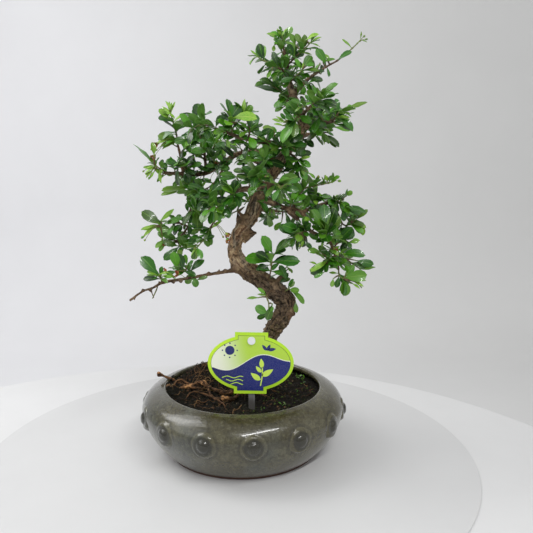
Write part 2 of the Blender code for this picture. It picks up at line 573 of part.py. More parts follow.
def soil_height(x, y):
    """Height of the soil: raised round the trunk and in a mound at the left and behind."""
    near_trunk = math.hypot(x - TRUNK_FOOT[0], y - TRUNK_FOOT[1])
    mound = ((x + 34) / 24) ** 2 + ((y - 34) / 19) ** 2
    grit = 0.5 * math.sin(0.31 * x + 1.3) * math.sin(0.27 * y) + 0.35 * math.sin(0.73 * x - 0.51 * y)
    height = SOIL_LEVEL + 3.2 * math.exp(-near_trunk ** 2 / 900) + 12.5 * math.exp(-mound / 2) + grit
    return min(height, SOIL_EDGE_TOP + 0.9 * max(SOIL_RINGS[0][0] - math.hypot(x, y), 0.0))


def make_soil(earth, wood_holes):
    """The soil fills the pot from its floor, a gap off its walls."""
    side = [(r - 2 * GAP, z) for r, z in pot_inside()[::-1] if 0 < r and z < 60]
    side[0] = (side[0][0], POT_FLOOR + GAP)
    points, faces = turned([(0, POT_FLOOR + GAP)] + side, SOIL_SIDES)
    last = len(points) - SOIL_SIDES
    outer = list(range(last, len(points)))
    for radius, count in SOIL_RINGS:
        inner = []
        for k in range(count):
            turn = 2 * math.pi * k / count
            x, y = radius * math.cos(turn), radius * math.sin(turn)
            inner.append(len(points))
            points.append((x, y, soil_height(x, y)))
        step = max(len(outer) // len(inner), 1)
        for k in range(len(outer)):
            n = (k + 1) % len(outer)
            if step > 1 and count > 1:
                a = inner[(k // step) % count]
                b = inner[(k // step + 1) % count]
                faces.append((outer[k], outer[n], a if k % step == 0 else b))
                if k % step == 0:
                    faces.append((outer[n], b, a))
            elif count == 1:
                faces.append((outer[k], outer[n], inner[0]))
            else:
                faces.append((outer[k], outer[n], inner[n], inner[k]))
        outer = inner
    soil = solid("soil", points, faces, earth)
    settle(soil)
    pockets = list(wood_holes)
    for k, (x, y) in enumerate(DRAIN_PLACES):
        half = SCREEN_SIZE / 2 + GAP
        pockets.append(block(f"pocket_{k}", (x - half, y - half, 0),
                             (x + half, y + half, POT_FLOOR + SCREEN_THICK + 2 * GAP)))
    pockets.append(stake_shape("stake_slot", GAP))
    combine(soil, pockets, "DIFFERENCE")
    keep_largest(soil)
    settle(soil, 50)
    return soil


def keep_largest(item):
    """Drop the loose scraps that a cut leaves."""
    shape = bmesh.new()
    shape.from_mesh(item.data)
    unseen = set(shape.verts)
    groups = []
    while unseen:
        start = unseen.pop()
        group = [start]
        stack = [start]
        while stack:
            for edge in stack.pop().link_edges:
                for vert in edge.verts:
                    if vert in unseen:
                        unseen.remove(vert)
                        group.append(vert)
                        stack.append(vert)
        groups.append(group)
    groups.sort(key=len)
    for group in groups[:-1]:
        bmesh.ops.delete(shape, geom=group, context="VERTS")
    shape.to_mesh(item.data)
    shape.free()


def block(name, low, high, material=None):
    points = [(x, y, z) for z in (low[2], high[2]) for y in (low[1], high[1]) for x in (low[0], high[0])]
    faces = [(0, 2, 3, 1), (4, 5, 7, 6), (0, 1, 5, 4), (2, 6, 7, 3), (0, 4, 6, 2), (1, 3, 7, 5)]
    return solid(name, points, faces, material)


def make_screens(plastic):
    """A square screen with four openings over each drain hole, on the pot's floor."""
    marks = [-SCREEN_SIZE / 2]
    hole = (SCREEN_SIZE - 3 * SCREEN_BAR) / 2
    for width in (SCREEN_BAR, hole, SCREEN_BAR, hole, SCREEN_BAR):
        marks.append(marks[-1] + width)
    count = len(marks)
    for k, (cx, cy) in enumerate(DRAIN_PLACES):
        points = []
        for z in (POT_FLOOR + GAP, POT_FLOOR + GAP + SCREEN_THICK):
            points += [(cx + x, cy + y, z) for y in marks for x in marks]
        cells = {(i, j) for i in range(count - 1) for j in range(count - 1) if not (i % 2 and j % 2)}
        faces = []
        top = count * count
        for i, j in sorted(cells):
            a, b = j * count + i, j * count + i + 1
            c, d = b + count, a + count
            faces.append((a, d, c, b))
            faces.append((top + a, top + b, top + c, top + d))
            beside = ((i, j - 1), (i + 1, j), (i, j + 1), (i - 1, j))
            for cell, (p, q) in zip(beside, ((a, b), (b, c), (c, d), (d, a))):
                if cell not in cells:
                    faces.append((p, q, top + q, top + p))
        screen = solid(f"drain_screen_{'left' if cx < 0 else 'right'}", points, faces, plastic)
        settle(screen)


def label_outline():
    """Outline (x, z) about the label's middle: an oval with a flat step at top and bottom."""
    start = math.acos(LABEL_TAB_HALF_WIDTH / LABEL_HALF_WIDTH)
    turns = [start - 2 * start * k / 14 for k in range(15)]
    right = [(LABEL_HALF_WIDTH * math.cos(t), LABEL_HALF_HEIGHT * math.sin(t)) for t in turns]
    tab = [(-LABEL_TAB_HALF_WIDTH, LABEL_TAB_TOP), (LABEL_TAB_HALF_WIDTH, LABEL_TAB_TOP)]
    left = [(-x, -z) for x, z in right]
    return tab + right + [(-x, -z) for x, z in tab] + left


def make_label(plastic):
    cx, cy, cz = LABEL_MIDDLE
    outline = label_outline()
    count = len(outline)
    points = []
    for y in (cy - LABEL_THICK / 2, cy + LABEL_THICK / 2):
        points += [(cx + x, y, cz + z) for x, z in outline]
    faces = [tuple(range(count - 1, -1, -1)), tuple(range(count, 2 * count))]
    for k in range(count):
        n = (k + 1) % count
        faces.append((k, n, count + n, count + k))
    label = solid("label", points, faces, plastic)
    shape = bmesh.new()
    shape.from_mesh(label.data)
    bmesh.ops.recalc_face_normals(shape, faces=shape.faces)
    shape.to_mesh(label.data)
    shape.free()
    hole = peg_rod("label_hole", PEG_SHANK + GAP, cy - 2 * LABEL_THICK, cy + 2 * LABEL_THICK)
    combine(label, [hole], "DIFFERENCE")
    settle(label)
    return label


def peg_rod(name, radius, y_low, y_high, sides=14):
    """A round rod along Y at the peg's place."""
    points, faces = turned([(0, y_low), (radius, y_low), (radius, y_high), (0, y_high)], sides)
    laid = [(LABEL_MIDDLE[0] + x, z, PEG_HEIGHT - y) for x, y, z in points]
    return solid(name, laid, faces)


def stake_shape(name, grow=0.0):
    """The stake's strip, square at its head and pointed in the soil."""
    cx = LABEL_MIDDLE[0]
    half = STAKE_WIDTH / 2 + grow
    front = LABEL_MIDDLE[1] + LABEL_THICK / 2 + GAP - grow
    back = front + STAKE_THICK + 2 * grow
    top = PEG_HEIGHT + 4.0
    outline = [(cx - half, top), (cx + half, top), (cx + half, STAKE_BOTTOM + 9),
               (cx + 0.8 + grow, STAKE_BOTTOM - grow), (cx - 0.8 - grow, STAKE_BOTTOM - grow),
               (cx - half, STAKE_BOTTOM + 9)]
    count = len(outline)
    points = [(x, front, z) for x, z in outline] + [(x, back, z) for x, z in outline]
    faces = [tuple(range(count - 1, -1, -1)), tuple(range(count, 2 * count))]
    for k in range(count):
        n = (k + 1) % count
        faces.append((k, n, count + n, count + k))
    item = solid(name, points, faces)
    shape = bmesh.new()
    shape.from_mesh(item.data)
    bmesh.ops.recalc_face_normals(shape, faces=shape.faces)
    shape.to_mesh(item.data)
    shape.free()
    return item


def make_stake(plastic):
    """The strip, the shank through the label and the round head in front, moulded as one."""
    stake = stake_shape("label_stake")
    stake.data.materials.append(plastic)
    face = LABEL_MIDDLE[1] - LABEL_THICK / 2 - GAP
    shank = peg_rod("shank", PEG_SHANK, face - 0.5, LABEL_MIDDLE[1] + LABEL_THICK / 2 + GAP + 0.8)
    head = peg_rod("head", PEG_HEAD, face - PEG_HEAD_THICK, face, 16)
    combine(stake, [shank, head], "UNION")
    settle(stake, 40)
    return stake


def tube(points, radii, sides, knobbly=0.0, phase=0.0):
    """Points and faces of a capped tube that follows the points."""
    out = []
    side = None
    for i, (p, r) in enumerate(zip(points, radii)):
        ahead = points[min(i + 1, len(points) - 1)] - points[max(i - 1, 0)]
        along = unit(ahead)
        if side is None:
            side = unit(np.cross(along, (0.0, 1.0, 0.13)))
        side = unit(side - along * np.dot(side, along))
        across = np.cross(along, side)
        for k in range(sides):
            turn = 2 * math.pi * k / sides
            bump = knobbly * (math.sin(3 * turn + 1.7 * i + phase) + 0.7 * math.sin(5 * turn - 2.3 * i))
            reach = r * (1 + bump)
            out.append(p + reach * (math.cos(turn) * side + math.sin(turn) * across))
    faces = []
    for i in range(len(points) - 1):
        for k in range(sides):
            n = (k + 1) % sides
            faces.append((i * sides + k, i * sides + n, (i + 1) * sides + n, (i + 1) * sides + k))
    faces.append(tuple(range(sides - 1, -1, -1)))
    faces.append(tuple(range((len(points) - 1) * sides, len(points) * sides)))
    return out, faces


def limb_path(rows):
    """Points and radii of a limb given as (x, z, y, radius)."""
    return np.array([seen(x, z, y) for x, z, y, _ in rows]), [row[3] for row in rows]


def root_path(rows):
    """Points and radii of a surface root given as (x, y, radius, height above the soil)."""
    points = np.array([(x, y, soil_height(x, y) + up) for x, y, _, up in rows])
    return points, [row[2] for row in rows]


def limb_tube(name, rows):
    points, radii = limb_path(rows)
    if name == "trunk":
        shape = tube(points, radii, TRUNK_SIDES, TRUNK_KNOBBLY)
    else:
        shape = tube(points, radii, LIMB_SIDES, LIMB_KNOBBLY)
    return solid(f"wood_{name}", *shape)


def root_tube(name, rows, grow=0.0):
    points, radii = root_path(rows)
    shape = tube(points, [r + grow for r in radii], LIMB_SIDES, LIMB_KNOBBLY, ROOT_PHASE)
    return solid(f"wood_{name}", *shape)


def wood_cutters(grow):
    """What the wood takes out of the soil: the trunk's foot and the roots, grown by a gap."""
    points, radii = limb_path(LIMBS["trunk"][:TRUNK_ROWS_IN_SOIL])
    points[0][2] -= grow
    foot = tube(points, [r + grow for r in radii], TRUNK_SIDES, TRUNK_KNOBBLY)
    return [solid("foot_hole", *foot)] + [root_tube(name, rows, grow) for name, rows in ROOTS.items()]


def make_trunk(bark):
    limbs = [limb_tube(name, rows) for name, rows in LIMBS.items()]
    roots = [root_tube(name, rows) for name, rows in ROOTS.items()]
    trunk = limbs[0]
    trunk.name = "trunk"
    trunk.data.materials.append(bark)
    combine(trunk, limbs[1:] + roots, "UNION")
    keep_largest(trunk)
    settle(trunk, 60)
    return trunk


def blade_outline(kind):
    """Outline past the base as (along, across, raised) in parts of length and width."""
    half = {0: [(0.52, 0.50, 0.5)],
            2: [(0.60, 0.50, 0.5), (0.97, 0.22, 0.2)],
            3: [(0.60, 0.50, 0.5), (0.93, 0.30, 0.3), (0.885, 0.13, 0.13)]}[kind[1]]
    middle = (0.89 if kind[1] == 2 else 1.0, 0.0, 0.0)
    right = [(s, -w, u) for s, w, u in half]
    left = [(s, w, u) for s, w, u in reversed(half)]
    return right + [middle] + left


def blade_frame(leaf):
    """Length, direction, upper side and width direction of a leaf."""
    chord = leaf.tip - leaf.base
    length = np.linalg.norm(chord)
    ahead = chord / length
    up = unit(leaf.up - ahead * np.dot(leaf.up, ahead))
    return length, ahead, up, np.cross(up, ahead)


def blade_points(leaf, widen=1.0):
    """The middle point and the outline of the upper face, past the base."""
    length, ahead, up, across = blade_frame(leaf)
    width = leaf.kind[0] * length * widen
    fold = 0.30 * width

    def spot(s, w, u):
        rise = leaf.arch * length * 4 * s * (1 - s) + fold * u
        return leaf.base + ahead * s * length + across * w * width + up * rise

    return spot(0.52, 0.0, 0.0), [spot(s, w, u) for s, w, u in blade_outline(leaf.kind)], up


def twig_frames(route, marks):
    """Frames (point, along, side, across) carried along a route without twist."""
    frames = []
    side = None
    for mark in marks:
        along = route.heading(mark)
        if side is None:
            side = unit(np.cross(along, (0.13, 0.9, 0.4)))
        side = unit(side - along * np.dot(side, along))
        frames.append((route.at(mark), along, side, np.cross(along, side)))
    return frames


def leaf_samples(leaf):
    """Points spread over a blade, to keep blades apart."""
    length, ahead, up, across = blade_frame(leaf)
    half = leaf.kind[0] * length / 2
    spots = ((0.35, 0.0), (0.6, 0.0), (0.82, 0.0), (1.0, 0.0), (0.6, 0.9), (0.6, -0.9),
             (0.88, 0.6), (0.88, -0.6))
    return np.array([leaf.base + ahead * s * length + across * w * half
                     + up * leaf.arch * length * 4 * s * (1 - s) for s, w in spots])


def turn_of(direction, side, across):
    """The turn about a twig towards which a direction points."""
    return math.atan2(np.dot(direction, across), np.dot(direction, side))


def outward(turn, side, across):
    """The direction away from a twig at a turn about it."""
    return math.cos(turn) * side + math.sin(turn) * across


def plan_spray(spray, taken, wood):
    """The leaves of a spray, station by station, clear of the points already taken."""
    rng = random.Random(spray.name)
    route = Route([seen(*place) for place in spray.route])
    marks = [station.along * route.length for station in spray.stations]
    frames = twig_frames(route, marks)
    face_turn = 2 * math.pi / TWIG_SIDES
    plans = []
    for station, (spot, along, side, across) in zip(spray.stations, frames):
        phase = rng.uniform(-0.5, 0.5) * face_turn
        if station.tips:
            x, z, _ = station.tips[0]
            first = turn_of(seen(x, z, spot[1]) - spot, side, across) - 0.5 * face_turn
            phase = (first + 0.5 * face_turn) % face_turn - 0.5 * face_turn
        free = list(range(TWIG_SIDES))
        leaves = []
        for x, z, kind in station.tips:
            reach = np.linalg.norm(seen(x, z, spot[1]) - spot)
            tries = []
            for _ in range(READ_TRIES):
                tip = seen(x, z, spot[1] + rng.uniform(-READ_LEAN, READ_LEAN) * reach)
                aim = turn_of(tip - spot, side, across)
                face = max(free, key=lambda f: math.cos(phase + (f + 0.5) * face_turn - aim))
                base = spot + 0.8 * NODE_RADIUS * outward(phase + (face + 0.5) * face_turn, side, across)
                up = np.array((rng.uniform(-0.5, 0.5), -0.75, rng.uniform(0.2, 0.9))) + 0.3 * along
                leaf = Leaf(base, tip, up, kind, rng.uniform(0.02, 0.10), face)
                spots = leaf_samples(leaf)
                room = min(nearest(spots, taken), nearest_wood(spots, wood) + 1.0)
                tries.append((min(room, ENOUGH_ROOM), -len(tries), leaf, spots))
            _, _, leaf, spots = max(tries, key=lambda item: item[:2])
            free.remove(leaf.face)
            leaves.append(leaf)
            taken.append(spots)
        rng.shuffle(free)
        for face in free[:]:
            if len(leaves) >= len(station.tips) + station.more:
                break
            turn = phase + (face + 0.5) * face_turn
            base = spot + 0.8 * NODE_RADIUS * outward(turn, side, across)
            for _ in range(MORE_TRIES):
                aim = outward(turn + rng.uniform(-0.5, 0.5), side, across)
                tilt = math.radians(rng.uniform(*MORE_TILT))
                ahead = math.cos(tilt) * along + math.sin(tilt) * aim
                ahead = unit(ahead + np.array((0, 0, rng.uniform(-0.25, 0.35))))
                length = rng.uniform(*station.size)
                kind = rng.choice((MATURE, MATURE, LONG, WIDE)) if length > YOUNG_BELOW else YOUNG
                up = 0.5 * along + np.array((rng.uniform(-0.4, 0.4), rng.uniform(-0.7, 0.3), 0.8))
                leaf = Leaf(base, base + ahead * length, up, kind, rng.uniform(0.02, 0.12), face)
                spots = leaf_samples(leaf)
                if nearest(spots, taken) > LEAF_SPACING and nearest_wood(spots, wood) > WOOD_SPACING:
                    leaves.append(leaf)
                    taken.append(spots)
                    break
        plans.append((station, phase, leaves))
    return route, marks, frames, plans


def nearest(spots, taken):
    """Least distance from the spots to any point that is taken."""
    if not taken:
        return math.inf
    others = np.vstack(taken)
    low, high = spots.min(axis=0) - NEAR, spots.max(axis=0) + NEAR
    others = others[np.all((others > low) & (others < high), axis=1)]
    if not len(others):
        return math.inf
    return float(np.linalg.norm(others[None, :, :] - spots[:, None, :], axis=2).min())


def nearest_wood(spots, wood):
    """Least distance from the spots to the skin of the wood, rows of (x, y, z, radius)."""
    gaps = np.linalg.norm(wood[None, :, :3] - spots[:, None, :], axis=2) - wood[None, :, 3]
    return float(gaps.min())


def limb_points():
    """Points along the middle of every limb with the limb's radius there."""
    rows = []
    for limb in LIMBS.values():
        points, radii = limb_path(limb)
        ends = np.column_stack((points, radii))
        for a, b in zip(ends, ends[1:]):
            count = max(int(np.linalg.norm(b[:3] - a[:3]) / LIMB_STEP), 1)
            rows += [a + (b - a) * k / count for k in range(count)]
        rows.append(ends[-1])
    return np.array(rows)


def wood_points():
    """Points along every limb and twig with their radii."""
    rows = [limb_points()]
    for spray in SPRAYS:
        route = smooth_route([seen(*place) for place in spray.route], 6)
        rows.append(np.column_stack((route, np.full(len(route), 0.6))))
    return np.vstack(rows)


def twig_seat(route, wood_tree):
    """Where a twig leaves the wood's surface, and the way that surface looks."""
    outside = route.at(min(SEAT_REACH, route.length))
    middles = limb_points()[:, :3]
    middle = middles[np.argmin(np.linalg.norm(middles - route.at(0.0), axis=1))]
    back = unit(middle - outside)
    hit, normal, _, _ = wood_tree.ray_cast(Vector(outside), Vector(back))
    mixed = unit(0.55 * np.array(normal) - 0.45 * back)
    return np.array(hit) + mixed * SEAT_LIFT, mixed


def crosses_others(leaf, others):
    """Whether a blade comes too near to any of the other pieces' trees."""
    tree = BVHTree.FromPolygons(*blade_body(leaf, GUARD_WIDEN, GUARD_MARGIN))
    return any(tree.overlap(other) for other in others)


class LeafyTwig:
    """The mesh of one spray: a twig of five sides whose leaves grow out of its faces."""

    def __init__(self, spray, plan, wood_tree):
        self.points = []
        self.faces = []
        self.name = spray.name
        self.left_out = 0
        route, marks, frames, plans = plan
        seat, normal = twig_seat(route, wood_tree)
        rings = [self.ring(seat, normal, frames[0][2], SEAT_RADIUS, 0.0)]
        for index, (mark, frame, (_, phase, _)) in enumerate(zip(marks, frames, plans)):
            spot, along, side, _ = frame
            radius = NODE_RADIUS - 0.06 * index
            for shift in (-NODE_HALF, NODE_HALF):
                rings.append(self.ring(spot + along * shift, along, side, radius, phase))
        for low, high in zip(rings, rings[1:]):
            for k in range(TWIG_SIDES):
                n = (k + 1) % TWIG_SIDES
                self.faces.append((low[k], low[n], high[n], high[k]))
        self.faces.append(tuple(reversed(rings[0])))
        self.faces.append(tuple(rings[-1]))
        self.slots = [(rings[1 + 2 * i], rings[2 + 2 * i], plans[i][2]) for i in range(len(plans))]

    def ring(self, spot, along, side, radius, phase):
        side = unit(side - along * np.dot(side, along))
        across = np.cross(along, side)
        first = len(self.points)
        for k in range(TWIG_SIDES):
            turn = phase + 2 * math.pi * k / TWIG_SIDES
            self.points.append(spot + radius * (math.cos(turn) * side + math.sin(turn) * across))
        return list(range(first, first + TWIG_SIDES))

    def blade(self, leaf, low, high):
        """Points past the base and triangles of a leaf that replaces one face of the twig."""
        k = leaf.face
        n = (k + 1) % TWIG_SIDES
        quad = [low[k], low[n], high[n], high[k]]
        middle, rim, up = blade_points(leaf)
        _, ahead, _, across = blade_frame(leaf)
        corners = (across + up, up - across, -across - up, across - up)
        centre = sum(self.points[q] for q in quad) / 4

        def misfit(turn):
            return -sum(float(np.dot(self.points[quad[(j + turn) % 4]] - centre, corners[j]))
                        for j in range(4))

        best = min((misfit(t), t) for t in range(4))[1]
        top_l, top_r, bottom_r, bottom_l = (quad[(j + best) % 4] for j in range(4))
        start = len(self.points)
        count = len(rim)
        added = [middle] + rim + [middle - up * BLADE_THICK] + [p - up * BLADE_THICK for p in rim]
        top = [top_r] + list(range(start + 1, start + 1 + count)) + [top_l]
        under = [bottom_r] + list(range(start + count + 2, start + 2 * count + 2)) + [bottom_l]
        hub, hub_under = start, start + count + 1
        faces = []
        for a, b in zip(top, top[1:] + top[:1]):
            faces.append((hub, a, b))
        for a, b in zip(under, under[1:] + under[:1]):
            faces.append((hub_under, b, a))
        for (a, b), (c, d) in zip(zip(top, top[1:]), zip(under, under[1:])):
            faces.append((a, c, d))
            faces.append((a, d, b))
        return quad, added, faces

    def add_leaves(self, others):
        """Grow every leaf whose blade crosses nothing; others are the trees of other pieces."""
        for low, high, leaves in self.slots:
            for leaf in leaves:
                quad, added, faces = self.blade(leaf, low, high)
                if self.crosses_own(quad, added, faces) or crosses_others(leaf, others):
                    self.left_out += 1
                    continue
                self.points += added
                self.faces = [f for f in self.faces if set(f) != set(quad)] + faces

    def crosses_own(self, quad, added, faces):
        """Whether a new blade cuts into the faces the twig already has."""
        rest = [f for f in self.faces if set(f) != set(quad)]
        own = BVHTree.FromPolygons([Vector(p) for p in self.points], rest)
        new = BVHTree.FromPolygons([Vector(p) for p in self.points + added], faces)
        corners = set(quad)
        for i, j in new.overlap(own):
            mine, other = set(faces[i]), set(rest[j])
            meet_at_base = mine & corners and other & corners
            if not mine & other and not meet_at_base:
                return True
        return False

    def tree(self):
        return BVHTree.FromPolygons([Vector(p) for p in self.points], self.faces)

    def build(self, material):
        item = solid(f"spray_{self.name}", self.points, self.faces, material)
        settle(item)
        return item


def blade_body(leaf, widen, margin):
    """A closed, slightly swollen copy of a blade, to test the room it takes."""
    middle, rim, up = blade_points(leaf, widen)
    start = leaf.base + (leaf.tip - leaf.base) * 0.12
    ring = [start] + rim
    top = [middle + up * margin] + [p + up * margin for p in ring]
    low = [middle - up * (BLADE_THICK + margin)] + [p - up * (BLADE_THICK + margin) for p in ring]
    count = len(ring)
    faces = []
    for k in range(count):
        n = (k + 1) % count
        faces.append((0, 1 + k, 1 + n))
        faces.append((count + 1, count + 2 + n, count + 2 + k))
        faces.append((1 + k, count + 2 + k, count + 2 + n))
        faces.append((1 + k, count + 2 + n, 1 + n))
    return [Vector(p) for p in top + low], faces


def tree_of(item):
    """Search tree of an object's mesh, in millimetres."""
    points = [v.co / MM for v in item.data.vertices]
    return BVHTree.FromPolygons(points, [tuple(p.vertices) for p in item.data.polygons])


def make_sprays(foliage, trunk, fixed):
    """All sprays, each clear of the wood, the label and the sprays before it."""
    wood_tree = tree_of(trunk)
    wood = wood_points()
    taken = []
    plans = [plan_spray(spray, taken, wood) for spray in SPRAYS]
    twigs = [LeafyTwig(spray, plan, wood_tree) for spray, plan in zip(SPRAYS, plans)]
    for index, twig in enumerate(twigs):
        others = [wood_tree] + [tree_of(item) for item in fixed]
        others += [other.tree() for k, other in enumerate(twigs) if k != index]
        twig.add_leaves(others)
    for twig in twigs:
        twig.build(foliage)
    return twigs


def main():
    clear_scene()
    glaze = finish("glaze", (0.23, 0.27, 0.22), 0.22)
    earth = finish("soil", (0.045, 0.032, 0.024), 0.95)
    bark = finish("bark", (0.20, 0.13, 0.08), 0.85)
    foliage = finish("foliage", (0.06, 0.19, 0.03), 0.38)
    plastic = finish("label_plastic", (0.52, 0.66, 0.12), 0.40)
    clear_plastic = finish("stake_plastic", (0.55, 0.57, 0.58), 0.35)
    mesh_plastic = finish("screen_plastic", (0.03, 0.03, 0.03), 0.60)
    make_pot(glaze)
    make_soil(earth, wood_cutters(GAP + SOIL_EXTRA_GAP))
    make_screens(mesh_plastic)
    trunk = make_trunk(bark)
    label = make_label(plastic)
    stake = make_stake(clear_plastic)
    return make_sprays(foliage, trunk, (label, stake))


if __name__ == "__main__":
    main()
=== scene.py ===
"""The looks of a fukien tea bonsai in its glazed pot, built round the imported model.

Lengths in the tables below are millimetres; meshes are in metres. The limbs, the sprays and the
rules that place the sprays' leaves are the ones that the solids were made with, so limbs and leaves
lie where their plain solids do, apart from leaves that are turned a little off a gap of the crown.
The surface roots, the single leaves, the flowers and the mound of soil are this script's own, and
finer than the solids.
"""
import logging
import math
import random
import time
from contextlib import contextmanager
from dataclasses import dataclass, field
from enum import Enum
from typing import Any, Callable, Iterator, Sequence

import bmesh
import bpy
import numpy as np
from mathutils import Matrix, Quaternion, Vector, kdtree, noise


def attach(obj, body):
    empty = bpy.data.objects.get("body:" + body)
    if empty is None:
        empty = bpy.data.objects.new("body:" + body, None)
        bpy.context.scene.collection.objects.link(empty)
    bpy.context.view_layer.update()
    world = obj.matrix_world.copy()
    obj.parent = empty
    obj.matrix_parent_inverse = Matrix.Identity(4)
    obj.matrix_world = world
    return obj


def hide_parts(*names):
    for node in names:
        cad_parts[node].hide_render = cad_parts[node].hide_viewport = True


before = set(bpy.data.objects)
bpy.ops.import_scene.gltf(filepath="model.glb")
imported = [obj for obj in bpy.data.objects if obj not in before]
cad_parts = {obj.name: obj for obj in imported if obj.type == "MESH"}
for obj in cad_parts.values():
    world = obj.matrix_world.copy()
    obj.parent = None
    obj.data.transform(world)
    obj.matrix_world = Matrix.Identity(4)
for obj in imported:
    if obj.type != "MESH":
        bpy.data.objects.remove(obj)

LOG = logging.getLogger("bonsai")
MM = 0.001
BODY = "root"

# The viewer: how far before the plane y = 0, and how high
EYE_AWAY = 630.0
EYE_UP = 300.0

# The ground's plain form: the trunk's foot, the level, the height at the rim and the radius
TRUNK_FOOT = (7.0, 0.0)
SOIL_LEVEL = 56.6
SOIL_EDGE_TOP = 57.6
SOIL_RADIUS = 75.8

# The ring of studs: how many, where the first stands in degrees, and how high
STUD_COUNT = 14
FIRST_STUD = -85.0
STUD_HEIGHT = 42.0

# The rules that placed the leaves of the solids
TWIG_SIDES = 5
NODE_RADIUS = 1.05
LEAF_SPACING = 2.6
WOOD_SPACING = 1.9
READ_TRIES = 16
READ_LEAN = 0.45
ENOUGH_ROOM = 4.0
MORE_TRIES = 14
MORE_TILT = (28.0, 88.0)
YOUNG_BELOW = 11.5
NEAR = 8.0
LIMB_STEP = 2.0
HEADING_STEP = 0.6

# How far apart a twig bears the leaves between those of its solid
NODE_STEP = 7.0

# The label's middle, and the height of the peg that holds it
LABEL_MIDDLE = (8.0, -44.0, 101.0)
PEG_HEIGHT = 123.4

# Points of a blade's master below this height lie on its lower side
UNDER_SIDE = -0.5

Point = Sequence[float]
Paint = tuple[float, float, float, float]


class Kind(Enum):
    """Kinds of leaf: width for length, and how many teeth the tip has."""

    MATURE = (0.47, 2)
    LONG = (0.33, 2)
    WIDE = (0.56, 2)
    ROUND = (0.72, 3)
    YOUNG = (0.30, 0)


MATURE, LONG, WIDE, ROUND, YOUNG = Kind


class Bloom(Enum):
    """Kinds of blossom."""

    FLOWER = "withered flower"
    BUD = "bud"


FLOWER, BUD = Bloom


@dataclass
class Station:
    """A place on a twig: how far along, leaves read from the front, how many more, and their size."""

    along: float
    tips: list = field(default_factory=list)
    more: int = 0
    size: tuple = (14.0, 21.0)


@dataclass
class Spray:
    """A leafy twig: its route from the wood outwards and its stations."""

    name: str
    route: list
    stations: list


@dataclass
class Leaf:
    """One blade: where it starts, where its tip is, which way its upper face looks."""

    base: np.ndarray
    tip: np.ndarray
    up: np.ndarray
    kind: Kind
    arch: float
    face: int = 0
    youth: float = 0.0


